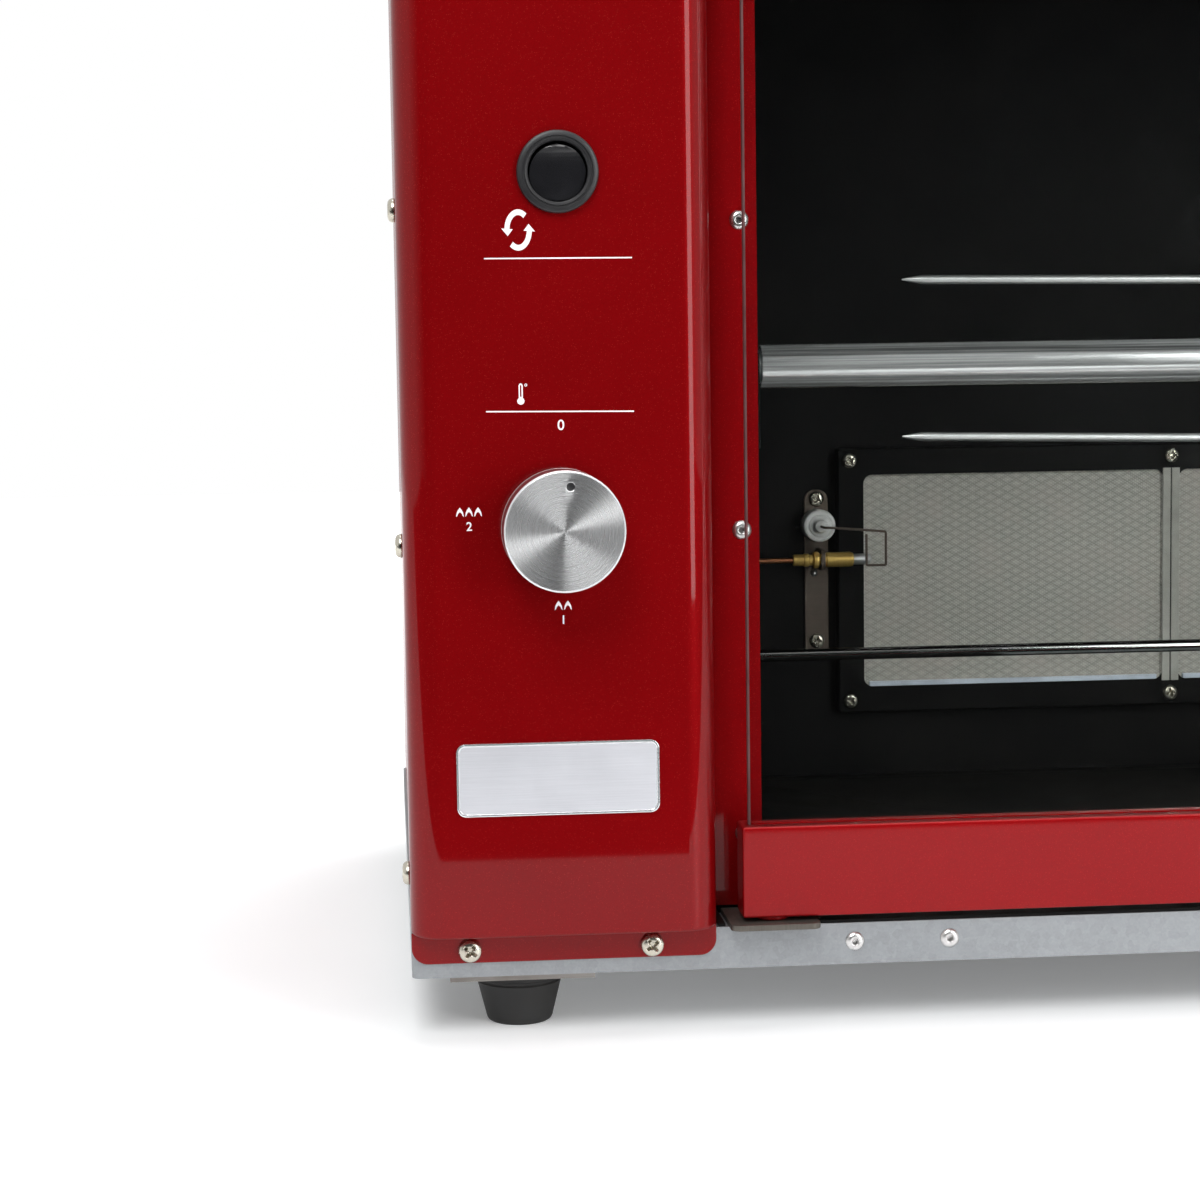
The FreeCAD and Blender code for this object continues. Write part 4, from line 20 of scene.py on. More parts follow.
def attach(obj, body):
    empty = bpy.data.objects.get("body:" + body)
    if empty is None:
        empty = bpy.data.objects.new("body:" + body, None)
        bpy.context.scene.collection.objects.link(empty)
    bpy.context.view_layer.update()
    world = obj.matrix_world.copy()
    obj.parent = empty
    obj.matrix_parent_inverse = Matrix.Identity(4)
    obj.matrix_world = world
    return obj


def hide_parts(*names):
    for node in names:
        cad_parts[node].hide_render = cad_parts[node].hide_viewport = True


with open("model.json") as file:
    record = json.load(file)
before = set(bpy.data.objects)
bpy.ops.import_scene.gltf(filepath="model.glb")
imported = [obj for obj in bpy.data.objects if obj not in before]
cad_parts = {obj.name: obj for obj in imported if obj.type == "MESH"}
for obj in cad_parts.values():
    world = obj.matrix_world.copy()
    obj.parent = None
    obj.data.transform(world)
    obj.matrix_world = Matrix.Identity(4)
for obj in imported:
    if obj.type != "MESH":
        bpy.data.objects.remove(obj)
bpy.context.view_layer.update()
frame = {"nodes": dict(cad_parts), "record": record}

LOG = logging.getLogger("grill")

MM = 0.001
NEAR = 0.1 * MM
HALF_WIDTH = 345.0
ORIGIN_BACK = 162.0
CABINET_WIDTH = 690.0
FRAME_ZERO = (HALF_WIDTH, ORIGIN_BACK, 0.0)
COLUMN_FACE = -10.0
KNOB_X = 50.7
KNOB_Z = 169.9
SWITCH_X = 51.6
SWITCH_Z = 283.0

Piece = bpy.types.Object
Node = bpy.types.Node
Tree = bpy.types.NodeTree
Socket = bpy.types.NodeSocket
Point = tuple[float, float, float]
Profile = Sequence[tuple[float, float]]
Colour = tuple[float, float, float]
Test = Callable[[Vector, Vector], bool]
Results = dict[str, Socket]


class Axis(Enum):
    """A direction that a turned piece lies along."""

    X = (1.0, 0.0, 0.0)
    Y = (0.0, 1.0, 0.0)
    Z = (0.0, 0.0, 1.0)


class Side(Enum):
    """A side of the cabinet, seen from the front."""

    LEFT = 1
    RIGHT = -1


class Body(Enum):
    """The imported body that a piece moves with."""

    CABINET = "cabinet"
    DOOR = "door"
    TRAY = "tray"
    KNOB = "knob"
    ROCKER = "rocker"
    SPIT = "spit"
    PINION = "pinion"
    FORK = "fork"
    FORK_SCREW = "fork_screw"
    VALVE_PLUG = "valve_plug"


def at(x: float, y: float, z: float) -> Vector:
    """A cabinet place in millimetres as a point of the frame in metres."""
    return Vector(((x - HALF_WIDTH) * MM, (y - ORIGIN_BACK) * MM, z * MM))


def at_x(x: float) -> float:
    """Frame X of a cabinet X."""
    return at(x, 0, 0).x


def at_y(y: float) -> float:
    """Frame Y of a cabinet Y."""
    return at(0, y, 0).y


def flip(x: float, side: Side) -> float:
    """X of a place counted from the given side of the cabinet."""
    return x if side is Side.LEFT else CABINET_WIDTH - x


# Bench work: operators that shape a piece as by hand


def deselect() -> None:
    """Leave edit mode and select nothing."""
    if bpy.context.mode != "OBJECT":
        bpy.ops.object.mode_set(mode="OBJECT")
    bpy.ops.object.select_all(action="DESELECT")


def take(piece: Piece) -> None:
    """Select one piece alone and make it active."""
    deselect()
    piece.select_set(True)
    bpy.context.view_layer.objects.active = piece


def settle(piece: Piece) -> None:
    """Put a piece's place, turn and scale into its mesh."""
    take(piece)
    bpy.ops.object.transform_apply(location=True, rotation=True, scale=True)


def named(piece: Piece, name: str) -> Piece:
    """Give a piece and its mesh one name."""
    piece.name = name
    piece.data.name = name
    return piece


def modify(piece: Piece, kind: str, **settings: object) -> None:
    """Apply one modifier with its settings."""
    take(piece)
    change = piece.modifiers.new(kind.lower(), kind)
    for name, value in settings.items():
        setattr(change, name, value)
    bpy.ops.object.modifier_apply(modifier=change.name)


@contextlib.contextmanager
def editing(piece: Piece, kind: str = "FACE", action: str = "DESELECT") -> Iterator[None]:
    """Open a piece in edit mode.

    Args:
        piece: the mesh to edit.
        kind: VERT, EDGE or FACE, what gets selected.
        action: SELECT to begin with all of it selected, DESELECT for nothing.
    """
    take(piece)
    bpy.ops.object.mode_set(mode="EDIT")
    bpy.ops.mesh.select_mode(type=kind)
    bpy.ops.mesh.select_all(action=action)
    yield
    bpy.ops.object.mode_set(mode="OBJECT")


def pick_faces(piece: Piece, test: Test) -> None:
    """Select the faces that pass a test of middle and normal, in edit mode."""
    mesh = bmesh.from_edit_mesh(piece.data)
    mesh.normal_update()
    for face in mesh.faces:
        face.select_set(bool(test(face.calc_center_median(), face.normal)))
    mesh.select_flush_mode()
    bmesh.update_edit_mesh(piece.data)


def pick_edges(piece: Piece, test: Test) -> int:
    """Select the edges that pass a test of middle and unit direction, and count them."""
    mesh = bmesh.from_edit_mesh(piece.data)
    for edge in mesh.edges:
        run = edge.verts[1].co - edge.verts[0].co
        middle = (edge.verts[1].co + edge.verts[0].co) / 2
        edge.select_set(bool(run.length > 0 and test(middle, run.normalized())))
    mesh.select_flush_mode()
    bmesh.update_edit_mesh(piece.data)
    return sum(edge.select for edge in mesh.edges)


def runs(axis: Axis, **places: float) -> Test:
    """A test for edges that run along an axis.

    Args:
        axis: the way that the edges run.
        places: x, y or z of the frame that an edge's middle has to meet.

    Returns:
        The test, called with an edge's middle and its unit direction.
    """
    way = Vector(axis.value)
    return lambda middle, run: abs(run.dot(way)) > 0.99 and all(
        abs(getattr(middle, name) - place) < NEAR for name, place in places.items())


def open_side(piece: Piece, test: Test) -> None:
    """Take away the faces that pass a test of middle and normal."""
    with editing(piece):
        pick_faces(piece, test)
        bpy.ops.mesh.delete(type="FACE")


def block(name: str, low: Point, high: Point) -> Piece:
    """A block between two cabinet corners in millimetres, ready to be shaped."""
    deselect()
    first, last = at(*low), at(*high)
    bpy.ops.mesh.primitive_cube_add(size=1.0, location=(first + last) / 2)
    piece = named(bpy.context.active_object, name)
    piece.scale = last - first
    settle(piece)
    return piece


def hexagon(name: str, radius: float, height: float, middle: Vector, turn: float,
            edge: float) -> Piece:
    """A hexagon with broken edges that lies along Y.

    Args:
        name: the piece's name.
        radius: distance of its corners from its axis, in millimetres.
        height: its length along Y, in millimetres.
        middle: its middle in the frame.
        turn: turn about its axis, in radians.
        edge: width of the bevel over its edges, in millimetres.

    Returns:
        The hexagon, its place in its mesh.
    """
    deselect()
    bpy.ops.mesh.primitive_cylinder_add(vertices=6, radius=radius * MM, depth=height * MM,
                                        location=middle, rotation=(math.pi / 2, turn, 0))
    piece = bpy.context.active_object
    piece.name = name
    settle(piece)
    soften_all(piece, edge, 2, 50.0)
    return piece


def soften(piece: Piece, test: Test, radius: float, segments: int = 4) -> None:
    """Round the edges that pass a test, by a radius in millimetres."""
    with editing(piece, "EDGE"):
        if pick_edges(piece, test):
            bpy.ops.mesh.bevel(offset=radius * MM, offset_type="OFFSET", segments=segments,
                               profile=0.5, affect="EDGES")


def soften_all(piece: Piece, radius: float, segments: int = 2, angle: float = 40.0) -> None:
    """Break every edge that is sharper than an angle."""
    modify(piece, "BEVEL", width=radius * MM, segments=segments, limit_method="ANGLE",
           angle_limit=math.radians(angle))


def smooth(piece: Piece, angle: float = 32.0) -> None:
    """Shade a piece smooth up to an angle, and keep its large flat faces flat."""
    take(piece)
    bpy.ops.object.shade_smooth_by_angle(angle=math.radians(angle))
    modify(piece, "WEIGHTED_NORMAL", mode="FACE_AREA", weight=100, keep_sharp=True)


def thicken(piece: Piece, thickness: float) -> None:
    """Give an open skin its sheet thickness in millimetres, inwards, and mend it."""
    modify(piece, "SOLIDIFY", thickness=thickness * MM, offset=-1.0, use_even_offset=True)
    tidy(piece)


def tidy(piece: Piece) -> None:
    """Merge doubles and turn all faces outwards."""
    with editing(piece, "VERT", "SELECT"):
        bpy.ops.mesh.remove_doubles(threshold=0.002 * MM)
        bpy.ops.mesh.normals_make_consistent(inside=False)


def turned(name: str, profile: Profile, centre: Point, axis: Axis, steps: int = 48,
           angle: float = 30.0) -> Piece:
    """A piece turned on a lathe.

    Args:
        name: the piece's name.
        profile: (radius, distance along the axis) in millimetres, from end to end.
        centre: where distance 0 lies, in cabinet millimetres.
        axis: the axis it is turned about.
        steps: faces round the piece.
        angle: shading angle in degrees.

    Returns:
        The closed piece, its place in its mesh.
    """
    along = Vector(axis.value)
    out = Vector((0.0, 0.0, 1.0)) if axis is not Axis.Z else Vector((1.0, 0.0, 0.0))
    base = at(*centre)
    places = [base + out * (r * MM) + along * (d * MM) for r, d in profile]
    deselect()
    bpy.ops.mesh.primitive_plane_add(size=0.002, location=places[0])
    piece = named(bpy.context.active_object, name)
    settle(piece)
    with editing(piece, "VERT", "SELECT"):
        bpy.ops.mesh.merge(type="CENTER")
        for here, there in zip(places, places[1:]):
            bpy.ops.mesh.extrude_vertices_move(
                TRANSFORM_OT_translate={"value": tuple(there - here)})
        bpy.ops.mesh.select_all(action="SELECT")
        bpy.ops.mesh.spin(steps=steps, angle=math.tau, center=base, axis=along)
        bpy.ops.mesh.select_all(action="SELECT")
        bpy.ops.mesh.remove_doubles(threshold=0.0015 * MM)
        bpy.ops.mesh.normals_make_consistent(inside=False)
    smooth(piece, angle)
    return piece


def copy_piece(source: Piece, name: str, move: Vector) -> Piece:
    """A copy with a mesh of its own, moved by a vector in metres."""
    take(source)
    bpy.ops.object.duplicate(linked=False)
    piece = named(bpy.context.active_object, name)
    with editing(piece, "VERT", "SELECT"):
        bpy.ops.transform.translate(value=move)
    return piece


def turn_piece(piece: Piece, centre: Vector, axis: Axis, degrees: float) -> None:
    """Turn a piece's mesh about an axis through a point of the frame."""
    turn = Matrix.Rotation(math.radians(degrees), 4, Vector(axis.value))
    piece.data.transform(Matrix.Translation(centre) @ turn @ Matrix.Translation(-centre))
    piece.data.update()


def carve(piece: Piece, tool: Piece) -> None:
    """Cut a tool's shape out of a piece and put the tool away."""
    modify(piece, "BOOLEAN", operation="DIFFERENCE", solver="EXACT", object=tool)
    bpy.data.objects.remove(tool, do_unlink=True)


def bent_wire(name: str, points: Sequence[Point], radius: float) -> Piece:
    """A round wire bent along places in cabinet millimetres."""
    deselect()
    path = bpy.data.curves.new(name, "CURVE")
    path.dimensions = "3D"
    path.bevel_depth = radius * MM
    path.bevel_resolution = 4
    path.use_fill_caps = True
    run = path.splines.new("NURBS")
    run.points.add(len(points) - 1)
    for spot, point in zip(run.points, points):
        spot.co = (*at(*point), 1.0)
    run.order_u = 3
    run.use_endpoint_u = True
    run.resolution_u = 6
    wire = bpy.data.objects.new(name, path)
    bpy.context.scene.collection.objects.link(wire)
    take(wire)
    bpy.ops.object.convert(target="MESH")
    wire = bpy.context.active_object
    tidy(wire)
    smooth(wire, 40.0)
    return wire


def join(pieces: Sequence[Piece], name: str) -> Piece:
    """Join pieces into one object under a new name."""
    deselect()
    for piece in pieces:
        piece.select_set(True)
    bpy.context.view_layer.objects.active = pieces[0]
    if len(pieces) > 1:
        bpy.ops.object.join()
    return named(bpy.context.view_layer.objects.active, name)


def smooth_copy(node: str, name: str, angle: float = 35.0, edge: float = 0.0) -> Piece:
    """A merged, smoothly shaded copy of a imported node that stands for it.

    Args:
        node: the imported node's name.
        name: the new piece's name.
        angle: shading angle in degrees.
        edge: width of a bevel over its sharp edges, in millimetres.

    Returns:
        The new piece.
    """
    source = frame["nodes"][node]
    mesh = source.data.copy()
    piece = bpy.data.objects.new(name, mesh)
    bpy.context.scene.collection.objects.link(piece)
    piece.matrix_world = source.matrix_world.copy()
    settle(piece)
    with editing(piece, "VERT", "SELECT"):
        bpy.ops.mesh.remove_doubles(threshold=0.004 * MM)
        bpy.ops.mesh.select_mode(type="EDGE")
        bpy.ops.mesh.select_all(action="SELECT")
        bpy.ops.mesh.dissolve_limited(angle_limit=math.radians(0.4))
    if edge:
        soften_all(piece, edge, 2, 50.0)
    smooth(piece, angle)
    piece.data.materials.clear()
    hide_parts(node)
    return piece


def finish_piece(piece: Piece, finish: "Finish", body: Body, slot: str, *nodes: str) -> Piece:
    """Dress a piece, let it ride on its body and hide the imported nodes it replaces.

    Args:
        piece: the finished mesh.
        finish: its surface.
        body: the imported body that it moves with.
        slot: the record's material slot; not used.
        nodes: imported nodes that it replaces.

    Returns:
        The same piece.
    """
    deselect()
    piece.data.materials.clear()
    piece.data.materials.append(finish.material())
    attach(piece, body.value)
    if nodes:
        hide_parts(*nodes)
    LOG.info("piece %s: %d faces, on %s", piece.name, len(piece.data.polygons), body.value)
    return piece


def finish_all(body: Body, *rows: tuple) -> None:
    """Dress pieces of one body; a row is a piece, its finish, its slot and what it replaces."""
    for piece, finish, slot, *nodes in rows:
        finish_piece(piece, finish, body, slot, *nodes)


def both_ends(half: Profile, run: float) -> list[tuple[float, float]]:
    """A profile with the same shape at both ends of a run in millimetres."""
    return [*half, *((radius, run - place) for radius, place in reversed(half))]


# Shader wiring


class Wiring:
    """Adds and joins nodes in one node tree."""

    def __init__(self, tree: Tree) -> None:
        """Work in a node tree."""
        self.tree = tree

    def node(self, kind: str, inputs: dict[str | int, object] | None = None,
             **settings: object) -> Node:
        """Add a shader node.

        Args:
            kind: Blender's name of the node type, without ShaderNode before it.
            inputs: socket name or number to a value or to the socket that feeds it.
            settings: the node's own properties.

        Returns:
            The new node.
        """
        made = self.tree.nodes.new("ShaderNode" + kind)
        for name, value in settings.items():
            setattr(made, name, value)
        self.fill(made, inputs or {})
        return made

    def fill(self, made: Node, inputs: dict[str | int, object]) -> None:
        """Set a node's sockets to values, or join them to the sockets that feed them."""
        for key, value in inputs.items():
            socket = made.inputs[key]
            if isinstance(value, Socket):
                self.tree.links.new(value, socket)
            elif isinstance(value, tuple) and len(value) == 3 and socket.type == "RGBA":
                socket.default_value = (*value, 1.0)
            else:
                socket.default_value = value

    def calc(self, operation: str, first: object, second: object = 0.5) -> Socket:
        """The result of a Math node."""
        return self.node("Math", {0: first, 1: second}, operation=operation).outputs[0]

    def times(self, first: object, second: object) -> Socket:
        """Two values multiplied."""
        return self.calc("MULTIPLY", first, second)

    def between(self, factor: object, low: object, high: object, start: float = 0.0,
                end: float = 1.0) -> Socket:
        """A factor from start to end, spread from low to high."""
        return self.node("MapRange", {"Value": factor, "From Min": start, "From Max": end,
                                      "To Min": low, "To Max": high}).outputs["Result"]

    def blend(self, factor: object, first: object, second: object) -> Socket:
        """A colour between two colours."""
        return self.node("Mix", {0: factor, 6: first, 7: second}, data_type="RGBA").outputs[2]

    def place(self) -> Socket:
        """Object coordinates, in metres of the frame."""
        return self.node("TexCoord").outputs["Object"]

    def parts(self, vector: Socket) -> "bpy.types.NodeOutputs":
        """A vector's X, Y and Z."""
        return self.node("SeparateXYZ", {0: vector}).outputs

    def noise(self, **inputs: object) -> Socket:
        """Noise, over the whole piece unless another Vector is given."""
        if "Vector" not in inputs:
            inputs["Vector"] = self.place()
        return self.node("TexNoise", inputs).outputs["Fac"]

    def bump(self, height: Socket, strength: float, depth: float) -> Socket:
        """A normal from a height between 0 and 1 and its depth in millimetres."""
        return self.node("Bump", {"Strength": strength, "Distance": depth * MM,
                                  "Height": height}).outputs["Normal"]

    def group(self, tree: Tree, **inputs: object) -> "bpy.types.NodeOutputs":
        """What a shared effect puts out for its own values."""
        return self.node("Group", inputs, node_tree=tree).outputs


def shared(name: str, **inputs: float) -> Callable[[Callable[..., Results]], Callable[[], Tree]]:
    """Keep what a function wires up as a node group that is made once.

    Args:
        name: the group's name.
        inputs: its inputs and their usual values, a blank in a name as an underscore.

    Returns:
        The decorator; the function it gives back returns the group.
    """
    number = "NodeSocketFloat"

    def wrap(wire: Callable[..., Results]) -> Callable[[], Tree]:
        """Give the function that returns the group."""
        def group() -> Tree:
            """The group, wired up on its first use."""
            tree = bpy.data.node_groups.get(name)
            if tree:
                return tree
            tree = bpy.data.node_groups.new(name, "ShaderNodeTree")
            for key, value in inputs.items():
                tree.interface.new_socket(name=key.replace("_", " "), in_out="INPUT",
                                          socket_type=number).default_value = value
            wires = Wiring(tree)
            results = wire(wires, tree.nodes.new("NodeGroupInput").outputs)
            for key in results:
                tree.interface.new_socket(name=key, in_out="OUTPUT", socket_type=number)
            wires.fill(tree.nodes.new("NodeGroupOutput"), results)
            return tree
        return group
    return wrap


class Effects:
    """Surface effects that several finishes share, each a node group made once."""

    @staticmethod
    @shared("fine_grain", Scale=900.0, Detail=3.0)
    def grain(wires: Wiring, given: Results) -> Results:
        """Fine even grain: Scale in cells per metre, out as Value."""
        return {"Value": wires.noise(Scale=given["Scale"], Detail=given["Detail"], Roughness=0.6)}

    @staticmethod
    @shared("metal_flakes", Scale=2600.0, Share=0.86)
    def flakes(wires: Wiring, given: Results) -> Results:
        """Metal flakes in a lacquer: Tone of each flake, and Spark, a mask of painted glints on the
        flakes taken to catch the light.
        """
        cells = wires.node("TexVoronoi", {"Vector": wires.place(), "Scale": given["Scale"]}).outputs
        tone = wires.node("SeparateColor", {"Color": cells["Color"]}).outputs
        spark = wires.calc("GREATER_THAN", tone[0], given["Share"])
        core = wires.calc("LESS_THAN", cells["Distance"], 0.42)
        return {"Tone": tone[1], "Spark": wires.times(spark, core)}

    @staticmethod
    @shared("brush_lines", Along_X=40.0, Along_Y=40.0, Along_Z=4000.0)
    def brushed(wires: Wiring, given: Results) -> Results:
        """Straight brush lines: frequency along X, Y and Z per metre, out as Value."""
        often = wires.node("CombineXYZ", {axis: given["Along " + axis] for axis in "XYZ"})
        run = wires.node("VectorMath", {0: wires.place(), 1: often.outputs[0]},
                         operation="MULTIPLY")
        return {"Value": wires.noise(Vector=run.outputs[0], Scale=1.0, Detail=4.0,
                                     Roughness=0.65)}

    @staticmethod
    @shared("smudges", Scale=14.0, Low=0.2, High=0.4)
    def smudges(wires: Wiring, given: Results) -> Results:
        """Soft patches from handling and cleaning, out as Value between Low and High."""
        noise = wires.noise(Scale=given["Scale"], Detail=5.0, Roughness=0.55, Distortion=0.4)
        return {"Value": wires.between(noise, given["Low"], given["High"], 0.3, 0.7)}

    @staticmethod
    @shared("settled_dust", Amount=0.2, Scale=60.0)
    def settled_dust(wires: Wiring, given: Results) -> Results:
        """Dust that lies on faces that look up, out as Mask."""
        up = wires.parts(wires.node("NewGeometry").outputs["Normal"])["Z"]
        noise = wires.noise(Detail=6.0, Scale=given["Scale"])
        patch = wires.times(wires.between(up, 0.0, 1.0, 0.3), noise)
        return {"Mask": wires.times(patch, given["Amount"])}

    @staticmethod
    @shared("diamond_lattice", Pitch=2.4, Stretch=1.0)
    def lattice(wires: Wiring, given: Results) -> Results:
        """A diamond lattice over X and Z: Pitch in millimetres, Stretch along X, out as Value."""
        where = wires.parts(wires.place())
        step = wires.times(given["Pitch"], MM / math.pi)
        across = wires.calc("DIVIDE", where["X"], wires.times(step, given["Stretch"]))
        up = wires.calc("DIVIDE", where["Z"], step)
        first, second = (wires.calc("ABSOLUTE", wires.calc("SINE", wires.calc(way, across, up)))
                         for way in ("ADD", "SUBTRACT"))
        return {"Value": wires.calc("MINIMUM", first, second)}


# Finishes


class Finish:
    """A surface that is made once and shared by the pieces that wear it."""

    name: str

    def material(self) -> bpy.types.Material:
        """The finished material."""
        found = bpy.data.materials.get(self.name)
        if found:
            return found
        made, wires = new_material(self.name)
        shader = wires.node("BsdfPrincipled")
        surface = self.dress(wires, shader) or shader.outputs["BSDF"]
        wires.node("OutputMaterial", {"Surface": surface})
        return made

    def dress(self, wires: Wiring, shader: Node) -> Socket | None:
        """Wire the surface up; returns its last socket if that isn't the shader's own."""
        raise NotImplementedError


def new_material(name: str) -> tuple[bpy.types.Material, Wiring]:
    """An empty material and its wiring."""
    made = bpy.data.materials.new(name)
    made.use_nodes = True
    made.node_tree.nodes.clear()
    return made, Wiring(made.node_tree)


@dataclass(frozen=True)
class CandyPaint(Finish):
    """Deep red candy lacquer over fine metal flakes."""

    name: str = "candy_red_lacquer"
    deep: Colour = (0.155, 0.0006, 0.0015)
    bright: Colour = (0.325, 0.0022, 0.0045)
    # spark: the colour of painted glints laid into the base colour on single flakes.
    spark: Colour = (0.95, 0.09, 0.07)
    dust: Colour = (0.45, 0.42, 0.40)
    roughness: float = 0.42
    metallic: float = 0.42
    coat: float = 0.42
    peel: float = 0.022

    def dress(self, wires: Wiring, shader: Node) -> None:
        """Flakes under a clear coat with painted glints on some of them, slow waves and a little
        orange peel.
        """
        flakes = wires.group(Effects.flakes(), Scale=3600.0, Share=0.94)
        cloud = wires.group(Effects.smudges(), Scale=9.0, Low=0.12, High=0.42)[0]
        fine = wires.group(Effects.grain(), Scale=1500.0, Detail=2.0)[0]
        waves = wires.group(Effects.grain(), Scale=85.0, Detail=3.0)[0]
        film = wires.group(Effects.settled_dust(), Amount=0.05, Scale=80.0)[0]
        share = wires.calc("ADD", wires.times(flakes["Tone"], 0.22), wires.times(cloud, 0.55))
        body = wires.blend(share, self.deep, self.bright)
        # Painted glints: the Spark flakes take the bright spark colour in the base colour.
        lacquer = wires.blend(wires.times(flakes["Spark"], 0.17), body, self.spark)
        relief = wires.calc("ADD", wires.times(fine, 0.12), waves)
        wires.fill(shader, {
            "Base Color": wires.blend(film, lacquer, self.dust),
            "Metallic": wires.between(flakes["Tone"], self.metallic - 0.1, self.metallic + 0.1),
            "Roughness": wires.between(fine, self.roughness - 0.06, self.roughness + 0.06),
            "Normal": wires.bump(relief, 1.0, self.peel), "Specular IOR Level": 0.03,
            "Coat Weight": self.coat, "Coat Roughness": 0.035})


@dataclass(frozen=True)
class GalvanisedZinc(Finish):
    """Hot-dip galvanised sheet with its spangle."""

    name: str = "galvanised_sheet"
    dark: Colour = (0.245, 0.258, 0.270)
    pale: Colour = (0.345, 0.364, 0.380)
    dust: Colour = (0.42, 0.40, 0.37)
    spangle: float = 430.0
    metallic: float = 0.55

    def dress(self, wires: Wiring, shader: Node) -> None:
        """Crystals of slightly different tone and gloss, with fine handling marks."""
        large = wires.group(Effects.flakes(), Scale=self.spangle, Share=0.8)["Tone"]
        small = wires.group(Effects.flakes(), Scale=self.spangle * 3.1, Share=0.8)["Tone"]
        grain = wires.group(Effects.grain(), Scale=1400.0, Detail=5.0)[0]
        cloud = wires.group(Effects.smudges(), Scale=18.0, Low=0.15, High=0.5)[0]
        film = wires.group(Effects.settled_dust(), Amount=0.15, Scale=120.0)[0]
        crystals = wires.calc("ADD", wires.times(large, 0.38), wires.times(small, 0.22))
        tone = wires.calc("ADD", crystals, wires.times(cloud, 0.6))
        sheet = wires.blend(tone, self.dark, self.pale)
        wires.fill(shader, {
            "Base Color": wires.blend(film, sheet, self.dust), "Metallic": self.metallic,
            "Roughness": wires.between(large, 0.36, 0.50),
            "Normal": wires.bump(grain, 0.18, 0.05)})


@dataclass(frozen=True)
class Enamel(Finish):
    """Black vitreous enamel inside the cavity."""

    name: str = "black_enamel_sheet"
    base: Colour = (0.0028, 0.0029, 0.0031)
    worn: Colour = (0.0085, 0.0078, 0.0072)
    dust: Colour = (0.10, 0.09, 0.08)

    def dress(self, wires: Wiring, shader: Node) -> None:
        """Black with a light ripple, dust and dull patches from heat."""
        patch = wires.group(Effects.smudges(), Scale=22.0, Low=0.0, High=1.0)[0]
        ripple = wires.group(Effects.grain(), Scale=260.0, Detail=2.0)[0]
        film = wires.group(Effects.settled_dust(), Amount=0.08, Scale=90.0)[0]
        face = wires.blend(patch, self.base, self.worn)
        wires.fill(shader, {
            "Base Color": wires.blend(film, face, self.dust), "Specular IOR Level": 0.10,
            "Roughness": wires.between(patch, 0.40, 0.56),
            "Normal": wires.bump(ripple, 0.10, 0.10)})


@dataclass(frozen=True)
class SpunAluminium(Finish):
    """Aluminium faced on a lathe, with rings about the knob's axis."""

    name: str = "spun_aluminium_face"
    base: Colour = (0.80, 0.805, 0.815)
    ring: float = 0.42

    def dress(self, wires: Wiring, shader: Node) -> None:
        """Fine concentric grooves with a round brush direction."""
        middle = at(KNOB_X, 0.0, KNOB_Z)
        shift = wires.node("Mapping", {"Vector": wires.place(), "Scale": (1.0, 0.0, 1.0),
                                       "Location": (-middle.x, 0.0, -middle.z)})
        reach = wires.node("VectorMath", {0: shift.outputs[0]}, operation="LENGTH")
        run = wires.node("CombineXYZ", {"X": wires.times(reach.outputs["Value"], 1.0 / MM)})
        rings = wires.noise(Vector=run.outputs[0], Detail=5.0, Scale=1.0 / self.ring,
                            Roughness=0.75)
        dark, pale = (tuple(min(1.0, c * share) for c in self.base) for share in (0.80, 1.18))
        wires.fill(shader, {
            "Base Color": wires.blend(rings, dark, pale), "Metallic": 0.93,
            "Roughness": wires.between(rings, 0.24, 0.31), "Anisotropic": 1.0,
            "Tangent": wires.node("Tangent", direction_type="RADIAL", axis="Y").outputs[0],
            "Normal": wires.bump(rings, 0.14, 0.02)})


@dataclass(frozen=True)
class Metal(Finish):
    """A bare or plated metal with its grain, brush lines and stains."""

    name: str = "bright_steel"
    dark: Colour = (0.42, 0.42, 0.42)
    pale: Colour = (0.62, 0.62, 0.61)
    stain: Colour = (0.30, 0.26, 0.22)
    stained: float = 0.08
    low: float = 0.16
    high: float = 0.30
    metallic: float = 1.0
    lines: Point = (60.0, 60.0, 2600.0)
    spread: float = 0.5
    relief: float = 0.10

    def dress(self, wires: Wiring, shader: Node) -> None:
        """Brush lines over cloudy metal, a little stained."""
        often = dict(zip(("Along X", "Along Y", "Along Z"), self.lines))
        brush = wires.group(Effects.brushed(), **often)[0]
        patch = wires.group(Effects.smudges(), Scale=55.0, Low=0.0, High=1.0)[0]
        grain = wires.group(Effects.grain(), Scale=2200.0, Detail=3.0)[0]
        # With a wide span from dark to pale, as on the spit tube, these bands are painted
        # reflection stripes.
        bands = wires.between(brush, 0.0, 1.0, 0.5 - self.spread, 0.5 + self.spread)
        tone = wires.blend(bands, self.dark, self.pale)
        wires.fill(shader, {
            "Base Color": wires.blend(wires.times(patch, self.stained), tone, self.stain),
            "Metallic": self.metallic, "Roughness": wires.between(patch, self.low, self.high),
            "Normal": wires.bump(wires.calc("ADD", brush, grain), self.relief, 0.03)})


